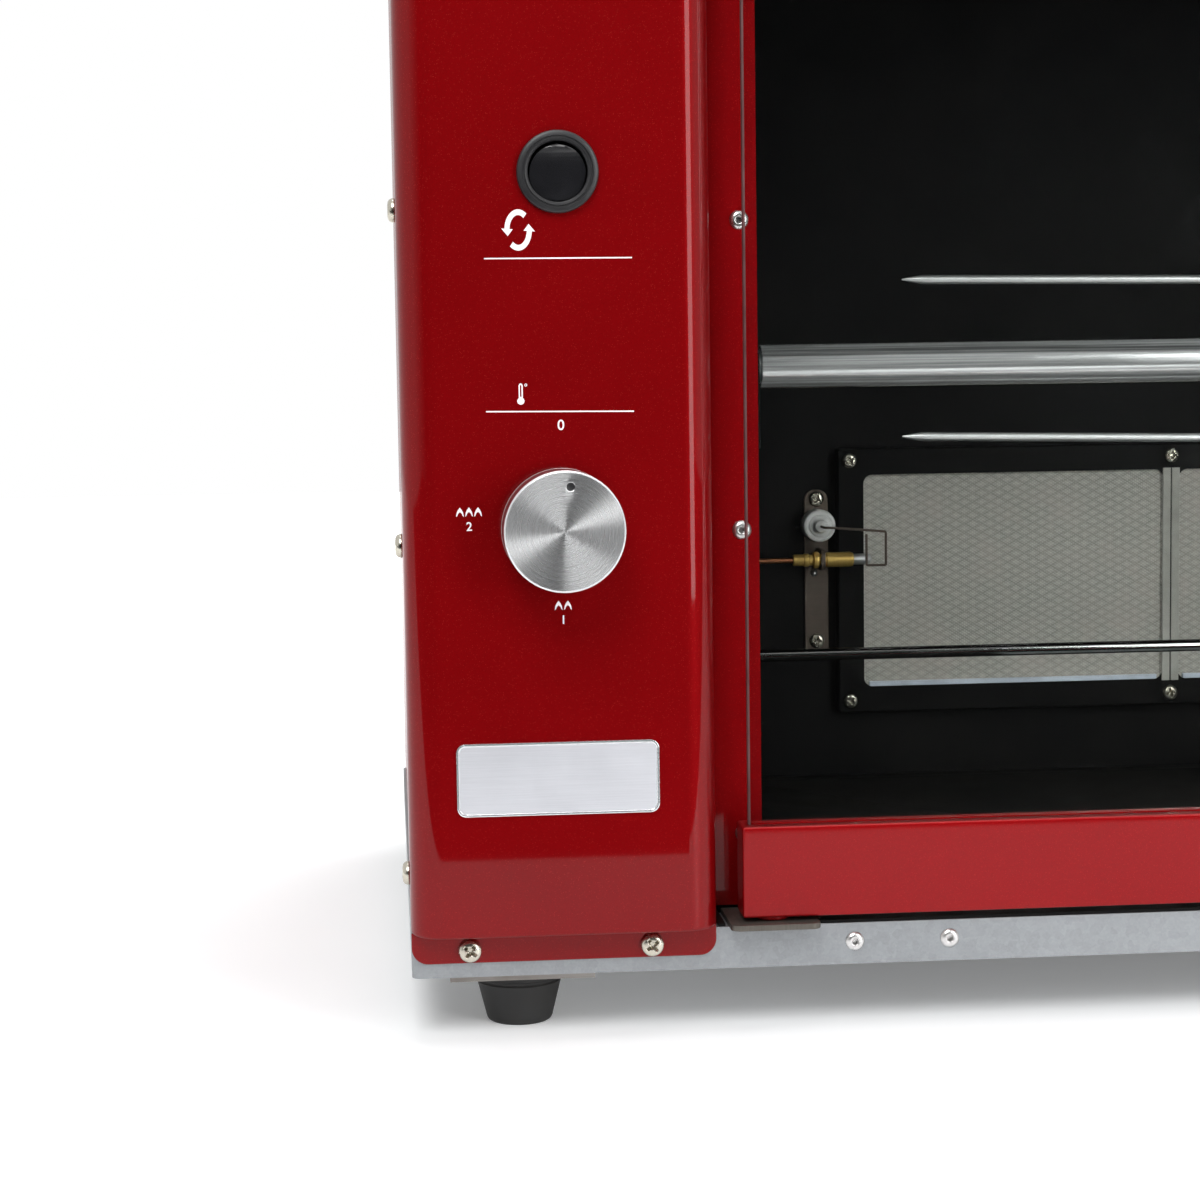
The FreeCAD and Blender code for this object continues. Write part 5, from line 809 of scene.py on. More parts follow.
@dataclass(frozen=True)
class BurnerCeramic(Finish):
    """Honeycomb burner ceramic with fine fire holes."""

    name: str = "burner_ceramic_face"
    ridge: Colour = (0.76, 0.735, 0.665)
    # hole: painted shade inside the fire holes, the dark of the lattice.
    hole_shade: Colour = (0.20, 0.195, 0.178)
    fired: Colour = (0.56, 0.48, 0.44)
    pitch: float = 1.25
    stretch: float = 1.5
    weave: float = 3.9
    weave_stretch: float = 2.0

    def dress(self, wires: Wiring, shader: Node) -> None:
        """A diamond lattice of holes whose dark is painted shade inside them, with soft bands left
        by firing.
        """
        net = wires.group(Effects.lattice(), Pitch=self.pitch, Stretch=self.stretch)[0]
        coarse = wires.group(Effects.lattice(), Pitch=self.weave, Stretch=self.weave_stretch)[0]
        patch = wires.group(Effects.smudges(), Scale=26.0, Low=0.0, High=1.0)[0]
        blotch = wires.group(Effects.smudges(), Scale=110.0, Low=0.0, High=0.55)[0]
        speck = wires.group(Effects.grain(), Scale=1200.0, Detail=4.0)[0]
        weave = wires.calc("ADD", wires.times(net, 0.28), wires.times(coarse, 0.30))
        face = wires.blend(wires.calc("ADD", weave, wires.times(speck, 0.36)), self.hole_shade,
                           self.ridge)
        wires.fill(shader, {
            "Base Color": wires.blend(wires.times(patch, blotch), face, self.fired),
            "Roughness": wires.between(speck, 0.78, 0.95), "Normal": wires.bump(net, 0.4, 0.25)})


@dataclass(frozen=True)
class ClearGlass(Finish):
    """Tempered glass that lets the lamps through."""

    name: str = "tempered_glass_pane"
    tint: Colour = (0.93, 0.955, 0.945)

    def dress(self, wires: Wiring, shader: Node) -> Socket:
        """Clear glass with faint wiping marks, and clear to light on its way in."""
        wipe = wires.group(Effects.smudges(), Scale=6.0, Low=0.985, High=1.0)[0]
        wiped = tuple(c * 0.9 for c in self.tint)
        wires.fill(shader, {"Base Color": wires.blend(wipe, wiped, self.tint),
                            "Transmission Weight": 1.0, "Roughness": 0.0, "IOR": 1.46})
        clear = wires.node("BsdfTransparent", {"Color": self.tint})
        return wires.node("MixShader", {
            0: wires.node("LightPath").outputs["Is Shadow Ray"], 1: shader.outputs["BSDF"],
            2: clear.outputs[0]}).outputs[0]


@dataclass(frozen=True)
class Moulded(Finish):
    """Moulded plastic, rubber or porcelain with its grain."""

    name: str = "black_moulding"
    base: Colour = (0.012, 0.012, 0.013)
    pale: Colour = (0.022, 0.022, 0.024)
    dust: Colour = (0.22, 0.21, 0.20)
    dusty: float = 0.12
    low: float = 0.34
    high: float = 0.5
    grain: float = 1500.0
    relief: float = 0.2
    coat: float = 0.0

    def dress(self, wires: Wiring, shader: Node) -> None:
        """Spark-eroded grain with slightly worn and dusty places."""
        speck = wires.group(Effects.grain(), Scale=self.grain, Detail=4.0)[0]
        patch = wires.group(Effects.smudges(), Scale=70.0, Low=0.0, High=1.0)[0]
        film = wires.group(Effects.settled_dust(), Amount=self.dusty, Scale=200.0)[0]
        tone = wires.blend(patch, self.base, self.pale)
        wires.fill(shader, {
            "Base Color": wires.blend(film, tone, self.dust),
            "Roughness": wires.between(patch, self.low, self.high),
            "Normal": wires.bump(speck, self.relief, 0.04), "Coat Weight": self.coat,
            "Coat Roughness": 0.05})


class Finishes:
    """The finishes of the grill by use."""

    PAINT = CandyPaint()
    # The same lacquer painted lighter for the door rails: painted light for the table's light that
    # the rails reflect.
    LIGHTENED_RAIL_PAINT = CandyPaint("candy_red_rail_lacquer", (0.20, 0.001, 0.0022),
                            (0.40, 0.0035, 0.0065))
    ZINC_SHEET = GalvanisedZinc()
    ENAMEL = Enamel()
    KNOB = SpunAluminium()
    CERAMIC = BurnerCeramic()
    GLASS = ClearGlass()
    TUBE = Metal("aluminium_tube_wall", (0.50, 0.50, 0.50), (0.72, 0.72, 0.71),
                 low=0.14, high=0.24, lines=(30.0, 1800.0, 1800.0), stained=0.05)
    # Spit tube: dark and bright stripes along the tube in its base colour, painted reflections of
    # lamps laid at random round it.
    SPIT_TUBE = Metal("drawn_tube_wall", (0.12, 0.12, 0.122), (0.74, 0.735, 0.74),
                      low=0.10, high=0.17, metallic=0.55, lines=(2.5, 420.0, 420.0),
                      spread=0.14, stained=0.0, relief=0.06)
    POLISHED = Metal("polished_steel_rod", (0.34, 0.335, 0.33), (0.55, 0.54, 0.53),
                     low=0.07, high=0.13, lines=(20.0, 1500.0, 1500.0), stained=0.03)
    STEEL = Metal()
    SCREW = Metal("zinc_plated_screw", (0.52, 0.49, 0.41), (0.74, 0.71, 0.62),
                  stain=(0.22, 0.17, 0.11), stained=0.35, low=0.18, high=0.36,
                  lines=(900.0, 900.0, 900.0))
    RIVET = Metal("aluminium_rivet_head", (0.55, 0.55, 0.55), (0.80, 0.79, 0.78),
                  low=0.22, high=0.34, lines=(800.0, 800.0, 800.0))
    PLATE = Metal("zinc_plated_bracket", (0.085, 0.078, 0.068), (0.17, 0.155, 0.135),
                  stain=(0.05, 0.04, 0.03), stained=0.4, low=0.40, high=0.55, metallic=0.7,
                  lines=(1500.0, 60.0, 60.0))
    SCORCHED = Metal("scorched_strip", (0.085, 0.062, 0.048), (0.165, 0.125, 0.10),
                     stain=(0.06, 0.045, 0.035), stained=0.5, low=0.42, high=0.60, metallic=0.45,
                     lines=(60.0, 60.0, 900.0))
    IRON = Metal("dull_steel_wire", (0.20, 0.19, 0.18), (0.36, 0.35, 0.33),
                 stain=(0.10, 0.07, 0.05), stained=0.45, low=0.30, high=0.48,
                 lines=(60.0, 900.0, 900.0))
    BRASS = Metal("turned_brass", (0.70, 0.44, 0.10), (0.94, 0.66, 0.22),
                  stain=(0.40, 0.20, 0.05), stained=0.22, low=0.26, high=0.38, metallic=0.72,
                  lines=(1600.0, 60.0, 60.0))
    COPPER = Metal("copper_capillary", (0.42, 0.16, 0.07), (0.68, 0.30, 0.15),
                   stain=(0.16, 0.07, 0.03), stained=0.4, low=0.26, high=0.42,
                   lines=(900.0, 900.0, 900.0))
    GEAR = Metal("hobbed_gear_steel", (0.30, 0.30, 0.31), (0.46, 0.46, 0.47),
                 stain=(0.08, 0.07, 0.05), stained=0.35, low=0.22, high=0.36,
                 lines=(3200.0, 80.0, 80.0))
    BADGE = Metal("brushed_plate", (0.62, 0.63, 0.67), (0.82, 0.83, 0.88),
                  stain=(0.42, 0.42, 0.44), stained=0.1, low=0.30, high=0.40, metallic=0.55,
                  lines=(50.0, 50.0, 5200.0), relief=0.16)
    BADGE_RIM = Metal("polished_plate_rim", (0.68, 0.69, 0.71), (0.86, 0.87, 0.89),
                      low=0.14, high=0.22, metallic=0.75, lines=(400.0, 400.0, 400.0))
    RUBBER = Moulded("foot_rubber", (0.010, 0.010, 0.010), (0.020, 0.019, 0.018),
                     dusty=0.3, low=0.55, high=0.75, grain=900.0, relief=0.35)
    PLASTIC = Moulded()
    GLOSS_PLASTIC = Moulded("glossy_switch_moulding", (0.006, 0.006, 0.007),
                            (0.010, 0.010, 0.012), low=0.18, high=0.28, relief=0.06, coat=0.3)
    PORCELAIN = Moulded("glazed_porcelain", (0.62, 0.61, 0.60), (0.74, 0.73, 0.72),
                        dust=(0.34, 0.30, 0.26), dusty=0.3, low=0.22, high=0.36, relief=0.08,
                        coat=0.35)
    DIVIDER = Moulded("divider_cord", (0.36, 0.35, 0.315), (0.52, 0.505, 0.46),
                      dust=(0.30, 0.28, 0.25), dusty=0.2, low=0.70, high=0.88, grain=1100.0,
                      relief=0.5)
    # Dark red of the pane's edges: a painted reflection of the red paint around them.
    GLASS_EDGE_RED_REFLECTION = Moulded("ground_glass_edge", (0.10, 0.048, 0.048), (0.17, 0.09, 0.09),
                          dust=(0.4, 0.38, 0.36), dusty=0.1, low=0.45, high=0.6, grain=2200.0)
    # Pale bluish colour of the strips under the burner windows: a painted highlight along the
    # tiles' lower edges.
    SEAL_PAINTED_HIGHLIGHT = Moulded("ceramic_fibre_seal", (0.52, 0.57, 0.65), (0.74, 0.80, 0.90),
                    dust=(0.30, 0.29, 0.27), dusty=0.2, low=0.70, high=0.88, grain=1300.0,
                    relief=0.5)
    INK = Moulded("pale_print", (0.80, 0.71, 0.74), (0.87, 0.79, 0.81),
                  dust=(0.6, 0.5, 0.5), dusty=0.0, low=0.42, high=0.56, grain=2600.0, relief=0.12)

    BY_SLOT: dict[str, Finish] = {
        "red_paint": PAINT,
        "galvanised": ZINC_SHEET,
        "black_rubber": RUBBER,
        "black_enamel": ENAMEL,
        "door_glass": GLASS,
        "bright_steel": STEEL,
        "black_plastic": PLASTIC,
        "zinc_plate": PLATE,
        "dull_steel": IRON,
        "burner_ceramic": CERAMIC,
        "brass": BRASS,
        "aluminium_tube": TUBE,
        "white_porcelain": PORCELAIN,
        "copper_lead": COPPER,
        "spun_aluminium": KNOB,
        "gear_steel": GEAR,
    }


# Sub-assemblies


@dataclass
class ColumnCovers:
    """The two red control columns with their screwed lower flanges."""

    width: float = 101.0
    outer_back: float = 30.0
    inner_back: float = 20.0
    lip_back: float = 8.0
    bottom: float = 36.0
    top: float = 400.0
    outer_radius: float = 11.0
    inner_radius: float = 10.0
    crease: float = 1.3
    sheet: float = 1.0
    flange_bottom: float = 26.0
    flange_corner: float = 5.5
    stem_hole: float = 5.0
    switch_hole: float = 10.75

    def shell(self, side: Side) -> Piece:
        """The folded sheet of one column, open to the rear."""
        outer, inner = flip(0.0, side), flip(self.width, side)
        cover = block(f"{side.name.lower()}_column_shell",
                      (min(outer, inner), COLUMN_FACE, self.bottom),
                      (max(outer, inner), self.outer_back, self.top))
        for edge, radius in ((outer, self.outer_radius), (inner, self.inner_radius)):
            soften(cover, runs(Axis.Z, x=at_x(edge), y=at_y(COLUMN_FACE)), radius, 12)
        open_side(cover, lambda c, n: n.y > 0.9)
        for level in (self.bottom * MM, self.top * MM):
            soften(cover, lambda m, d: abs(d.z) < 0.01 and abs(m.z - level) < NEAR
                   and m.y < at_y(self.outer_back - 0.5), self.crease, 4)
        cuts = at_y(self.lip_back), at_y(self.inner_back)
        with editing(cover):
            for cut in cuts:
                bpy.ops.mesh.select_all(action="SELECT")
                bpy.ops.mesh.bisect(plane_co=(0, cut, 0), plane_no=(0, 1, 0))
        open_side(cover, lambda c, n: (abs(n.z) > 0.2 and c.y > cuts[0])
                  or (abs(c.x - at_x(inner)) < NEAR and c.y > cuts[1]))
        thicken(cover, self.sheet)
        return cover

    def flange(self, side: Side) -> Piece:
        """The strip under a column that its two screws hold."""
        low, high = sorted((flip(0.0, side), flip(self.width, side)))
        strip = block(f"{side.name.lower()}_column_flange", (low, -self.sheet, self.flange_bottom),
                      (high, 0.0, self.bottom + 0.5))
        soften(strip, runs(Axis.Y, z=self.flange_bottom * MM), self.flange_corner, 10)
        soften_all(strip, 0.22, 2)
        return strip

    def build(self) -> None:
        """Make, pierce and dress both columns."""
        for side, node in ((Side.LEFT, "left_column_cover"), (Side.RIGHT, "right_column_cover")):
            cover = self.shell(side)
            if side is Side.LEFT:
                for x, z, radius in ((KNOB_X, KNOB_Z, self.stem_hole),
                                     (SWITCH_X, SWITCH_Z, self.switch_hole)):
                    carve(cover, turned("hole_tool", [(0, 0), (radius, 0), (radius, 6), (0, 6)],
                                        (x, COLUMN_FACE - 3, z), Axis.Y, 64))
            whole = join([cover, self.flange(side)], f"{side.name.lower()}_column")
            smooth(whole, 28.0)
            finish_piece(whole, Finishes.PAINT, Body.CABINET, "red_paint", node)


@dataclass
class LidCover:
    """The red lid with its three fields of vent slots."""

    back: float = 350.0
    bottom: float = 400.0
    top: float = 420.0
    front_radius: float = 11.0
    rear_radius: float = 4.0
    edge_radius: float = 4.0
    sheet: float = 1.0
    slot_length: float = 60.0
    slot_width: float = 5.0
    slot_pitch: float = 14.0
    slot_rows: int = 7
    first_slot: float = 226.0
    field_step: float = 72.0

    def slot_tool(self) -> Piece:
        """All the slots as one cutter, copied from a single round-ended slot."""
        left = HALF_WIDTH - self.slot_length / 2
        slot = block("slot_tool", (left, self.first_slot, self.top - 3),
                     (left + self.slot_length, self.first_slot + self.slot_width, self.top + 3))
        soften(slot, runs(Axis.Z), self.slot_width / 2 - 0.01, 5)
        tools = [slot]
        for row in range(self.slot_rows):
            for column in (-1, 0, 1):
                if row or column:
                    move = Vector((column * self.field_step, row * self.slot_pitch, 0)) * MM
                    tools.append(copy_piece(slot, "slot_tool", move))
        return join(tools, "slot_tools")

    def build(self) -> None:
        """Fold, pierce and dress the lid."""
        lid = block("lid", (0.0, COLUMN_FACE, self.bottom), (CABINET_WIDTH, self.back, self.top))
        front, middle = at_y(COLUMN_FACE + 1), at_y(self.back / 2)
        soften(lid, lambda m, d: abs(d.z) > 0.99 and m.y < front, self.front_radius, 12)
        soften(lid, lambda m, d: abs(d.z) > 0.99 and m.y > middle, self.rear_radius, 6)
        soften(lid, lambda m, d: abs(d.z) < 0.01 and abs(m.z - self.top * MM) < NEAR / 2,
               self.edge_radius, 8)
        open_side(lid, lambda c, n: n.z < -0.9)
        thicken(lid, self.sheet)
        carve(lid, self.slot_tool())
        smooth(lid, 28.0)
        finish_piece(lid, Finishes.PAINT, Body.CABINET, "red_paint", "top_lid")


@dataclass
class Feet:
    """Four moulded rubber feet, each with its screw in a recess."""

    side: float = 36.5
    front: float = 26.0
    rear: float = 324.0
    top: float = 19.4
    top_radius: float = 14.8
    bottom_radius: float = 10.8
    recess_radius: float = 6.5
    recess_depth: float = 8.0

    def build(self) -> None:
        """Turn one foot and set copies of it at the other corners."""
        profile = [(0, self.top), (14.2, self.top), (self.top_radius, 18.7), (14.75, 15.6),
                   (14.0, 15.1), (13.85, 14.3), (14.3, 13.7), (11.2, 1.2),
                   (self.bottom_radius, 0.45),
                   (10.1, 0.0), (7.1, 0.0), (self.recess_radius, 0.5),
                   (self.recess_radius, self.recess_depth), (3.6, self.recess_depth),
                   (3.2, 6.4), (1.6, 5.9), (0, 5.9)]
        first = turned("foot_front_left", profile, (self.side, self.front, 0.0), Axis.Z, 48)
        feet = [first]
        right = CABINET_WIDTH - self.side
        for name, x, y in (("foot_front_right", right, self.front),
                           ("foot_rear_left", self.side, self.rear),
                           ("foot_rear_right", right, self.rear)):
            feet.append(copy_piece(first, name, at(x, y, 0) - at(self.side, self.front, 0)))
        for foot in feet:
            finish_piece(foot, Finishes.RUBBER, Body.CABINET, "black_rubber", "rubber_feet")


@dataclass
class Door:
    """Glass door with two red rails, pivot bosses and a bar handle."""

    left: float = 109.7
    right: float = 580.3
    front: float = -4.0
    back: float = 10.0
    rail_height: float = 30.5
    bottom: float = 38.5
    top: float = 396.5
    corner: float = 0.9
    groove_front: float = 0.9
    groove_back: float = 5.1
    groove_depth: float = 12.1
    groove_inset: float = 2.7
    pivot_x: float = 120.3
    pivot_y: float = 3.6
    pivot_hole: float = 3.05
    pivot_depth: float = 10.0
    boss_radius: float = 5.9
    boss_height: float = 1.3
    handle_x: float = 550.0
    handle_y: float = -33.0
    handle_low: float = 158.0
    handle_high: float = 282.0
    handle_radius: float = 7.0
    post_levels: tuple[float, float] = (172.0, 268.0)
    post_radius: float = 5.0
    glass_front: float = 1.0
    glass_back: float = 5.0
    pane_inset: float = 2.8
    pane_bottom: float = 57.0
    pane_top: float = 378.0
    nut_radius: float = 8.0
    nut_height: float = 4.0

    def rail(self, name: str, low: float, opens_up: bool) -> Piece:
        """A rail with soft edges and the groove that holds the pane."""
        high = low + self.rail_height
        rail = block(name, (self.left, self.front, low), (self.right, self.back, high))
        soften(rail, lambda m, d: True, self.corner, 5)
        level = high if opens_up else low
        floor = level - self.groove_depth if opens_up else level - 0.5
        ceiling = level + 0.5 if opens_up else level + self.groove_depth
        carve(rail, block("groove_tool", (self.left + self.groove_inset, self.groove_front, floor),
                          (self.right - self.groove_inset, self.groove_back, ceiling)))
        end = low - 1 if opens_up else high - self.pivot_depth
        carve(rail, turned("pivot_tool", [(0, 0), (self.pivot_hole, 0),
                                          (self.pivot_hole, self.pivot_depth + 1),
                                          (0, self.pivot_depth + 1)],
                           (self.pivot_x, self.pivot_y, end), Axis.Z, 32))
        return rail

    def boss(self, name: str, face: float, outward: int) -> Piece:
        """The raised ring round a pivot pin."""
        reach = outward * self.boss_height
        soft = outward * 0.35
        profile = [(self.pivot_hole, -soft), (self.boss_radius, -soft),
                   (self.boss_radius, reach - soft), (self.boss_radius - 0.35, reach),
                   (self.pivot_hole + 0.3, reach), (self.pivot_hole, reach - soft),
                   (self.pivot_hole, -soft)]
        return turned(name, profile, (self.pivot_x, self.pivot_y, face), Axis.Z, 48)

    def handle(self) -> Piece:
        """The bar with domed ends on two necked posts."""
        radius = self.handle_radius
        run = self.handle_high - self.handle_low
        end = [(0, 0), (radius - 1.6, 0), (radius - 0.5, 0.4), (radius, 1.4), (radius, 7.0),
               (radius - 0.25, 7.25), (radius - 0.25, 7.75), (radius, 8.0)]
        bar = turned("handle_bar", both_ends(end, run),
                     (self.handle_x, self.handle_y, self.handle_low), Axis.Z, 56)
        far, thick = self.glass_front - self.handle_y, self.post_radius
        post = [(0, 2.0), (thick, 2.0), (thick, far - 7.0), (4.4, far - 6.0), (4.4, far - 4.0),
                (thick, far - 3.0), (thick, far - 0.5), (4.5, far), (0, far)]
        posts = [turned("handle_post", post, (self.handle_x, self.handle_y, level), Axis.Y, 40)
                 for level in self.post_levels]
        return join([bar, *posts], "door_handle_bar")

    def nut(self, level: float) -> Piece:
        """A chamfered hexagon nut with its stud end, behind the pane."""
        height = self.nut_height
        middle = at(self.handle_x, self.glass_back + height / 2, level)
        nut = hexagon("handle_nut", self.nut_radius, height, middle, math.pi / 6, 0.45)
        stud = [(0, 0.2), (2.9, 0.2), (2.9, height - 0.6), (2.4, height), (0, height)]
        end = turned("stud_end", stud, (self.handle_x, self.glass_back, level), Axis.Y, 24)
        return join([nut, end], f"handle_nut_{round(level)}")

    def pane(self) -> Piece:
        """The pane with ground edges, its faces quite flat."""
        inset = self.pane_inset
        pane = block("tempered_pane", (self.left + inset, self.glass_front, self.pane_bottom),
                     (self.right - inset, self.glass_back, self.pane_top))
        soften_all(pane, 0.6, 1, 60.0)
        take(pane)
        bpy.ops.object.shade_flat()
        return pane

    def build(self) -> None:
        """Make and dress all that swings with the door."""
        pane = finish_piece(self.pane(), Finishes.GLASS, Body.DOOR, "door_glass", "door_glass")
        # The pane's edges wear a painted red reflection.
        pane.data.materials.append(Finishes.GLASS_EDGE_RED_REFLECTION.material())
        for face in pane.data.polygons:
            face.material_index = int(abs(face.normal.y) < 0.99)
        lower = join([self.rail("door_rail", self.bottom, True),
                      self.boss("door_boss", self.bottom, -1)], "door_lower_rail")
        upper = join([self.rail("door_rail", self.top - self.rail_height, False),
                      self.boss("door_boss", self.top, 1)], "door_upper_rail")
        for rail, node in ((lower, "door_bottom_rail"), (upper, "door_top_rail")):
            tidy(rail)
            smooth(rail, 30.0)
            finish_piece(rail, Finishes.LIGHTENED_RAIL_PAINT, Body.DOOR, "red_paint", node)
        finish_piece(self.handle(), Finishes.STEEL, Body.DOOR, "bright_steel", "door_handle")
        for level in self.post_levels:
            nut = self.nut(level)
            smooth(nut, 30.0)
            finish_piece(nut, Finishes.SCREW, Body.DOOR, "bright_steel", "door_handle")


@dataclass
class Controls:
    """Gas knob and round rocker switch on the left column."""

    knob_face: float = -32.0
    knob_length: float = 17.0
    knob_radius: float = 19.3
    knob_chamfer: float = 0.5
    knob_wall: float = 2.2
    hub_radius: float = 7.0
    stem_radius: float = 4.0
    dimple_radius: float = 1.6
    dimple_offset: float = 14.2
    dimple_turn: float = 8.0
    bezel_front: float = -12.2
    bezel_radius: float = 13.1
    bezel_height: float = 2.2
    switch_radius: float = 10.6
    switch_depth: float = 22.0
    bore_radius: float = 9.6
    rocker_radius: float = 9.0
    rocker_depth: float = 6.5
    rocker_tilt: float = 10.0
    dish_depth: float = 1.3

    def dimple(self) -> Point:
        """Where the pointer dimple sits on the knob's face."""
        turn = math.radians(self.dimple_turn)
        return (KNOB_X + self.dimple_offset * math.sin(turn), self.knob_face,
                KNOB_Z + self.dimple_offset * math.cos(turn))

    def knob(self) -> Piece:
        """A turned hollow knob with a chamfered face and a pointer dimple."""
        radius, length, edge = self.knob_radius, self.knob_length, self.knob_chamfer
        inner = radius - self.knob_wall
        profile = [(0, 0), (4.0, 0), (9.0, 0), (14.0, 0), (radius - edge - 0.15, 0),
                   (radius - edge, 0.08), (radius - 0.1, edge - 0.1), (radius, edge + 0.15),
                   (radius, 4.0), (radius, length - 2.6), (radius - 0.35, length - 2.3),
                   (radius - 0.35, length - 1.7), (radius, length - 1.4), (radius, length - 0.3),
                   (radius - 0.3, length), (inner + 0.2, length), (inner, length - 0.2),
                   (inner, 4.0), (self.hub_radius, 4.0), (self.hub_radius, length - 2.0),
                   (self.stem_radius, length - 2.0), (self.stem_radius, 5.0), (0, 5.0)]
        knob = turned("control_knob", profile, (KNOB_X, self.knob_face, KNOB_Z), Axis.Y, 128, 24.0)
        bowl = [(0, 1.0), (0.8, 0.85), (1.3, 0.5), (self.dimple_radius, 0.0),
                (self.dimple_radius, -1.0), (0, -1.0)]
        carve(knob, turned("dimple_tool", bowl, self.dimple(), Axis.Y, 32))
        smooth(knob, 24.0)
        return knob

    def pointer(self) -> Piece:
        """Dark enamel in the pointer dimple."""
        fill = [(0, 0.55), (1.0, 0.5), (1.42, 0.35), (1.2, 0.75), (0, 0.95)]
        return turned("knob_pointer_fill", fill, self.dimple(), Axis.Y, 24)

    def bezel(self) -> Piece:
        """The switch body with its two rings, sunk into the column."""
        back = self.bezel_height + self.switch_depth
        bore, outer, barrel = self.bore_radius, self.bezel_radius, self.switch_radius
        profile = [(0, 13.2), (bore, 13.2), (bore, 0.5), (bore + 0.35, 0.1), (10.55, 0.0),
                   (10.75, 0.35), (11.15, 0.35), (11.35, 0.0), (12.3, 0.05), (12.85, 0.4),
                   (outer, 1.1), (outer, self.bezel_height), (barrel, self.bezel_height),
                   (barrel, back - 0.4), (barrel - 0.4, back), (0, back)]
        return turned("switch_body", profile, (SWITCH_X, self.bezel_front, SWITCH_Z), Axis.Y, 96)

    def rocker(self) -> Piece:
        """The dished round rocker, tilted with its top out."""
        proud = self.rocker_depth * 0.62
        rear = self.rocker_depth - proud
        radius = self.rocker_radius
        pivot = (SWITCH_X, self.bezel_front + 2.0 * self.bezel_height, SWITCH_Z)
        profile = [(0, -proud), (radius - 0.5, -proud), (radius, -proud + 0.5),
                   (radius, rear - 0.3), (radius - 0.3, rear), (0, rear)]
        rocker = turned("switch_rocker_cap", profile, pivot, Axis.Y, 96)
        wide, round_dish = radius * 2, radius * 3
        dish = turned("dish_tool", [(0, -wide), (round_dish, -wide), (round_dish, wide), (0, wide)],
                      (SWITCH_X, pivot[1] - proud - round_dish + self.dish_depth, SWITCH_Z),
                      Axis.X, 128)
        carve(rocker, dish)
        turn_piece(rocker, at(*pivot), Axis.X, self.rocker_tilt)
        smooth(rocker, 28.0)
        return rocker

    def build(self) -> None:
        """Make and dress the knob and the switch."""
        finish_piece(self.knob(), Finishes.KNOB, Body.KNOB, "spun_aluminium", "gas_knob")
        finish_piece(self.pointer(), Finishes.PLASTIC, Body.KNOB, "black_plastic")
        finish_piece(self.bezel(), Finishes.PLASTIC, Body.CABINET, "black_plastic",
                     "switch_housing")
        finish_piece(self.rocker(), Finishes.GLOSS_PLASTIC, Body.ROCKER, "black_plastic",
                     "switch_rocker")


@dataclass
class FastenerPlaces:
    """Where one kind of fastener sits and which way its head looks."""

    name: str
    points: list[Point]
    outward: Point


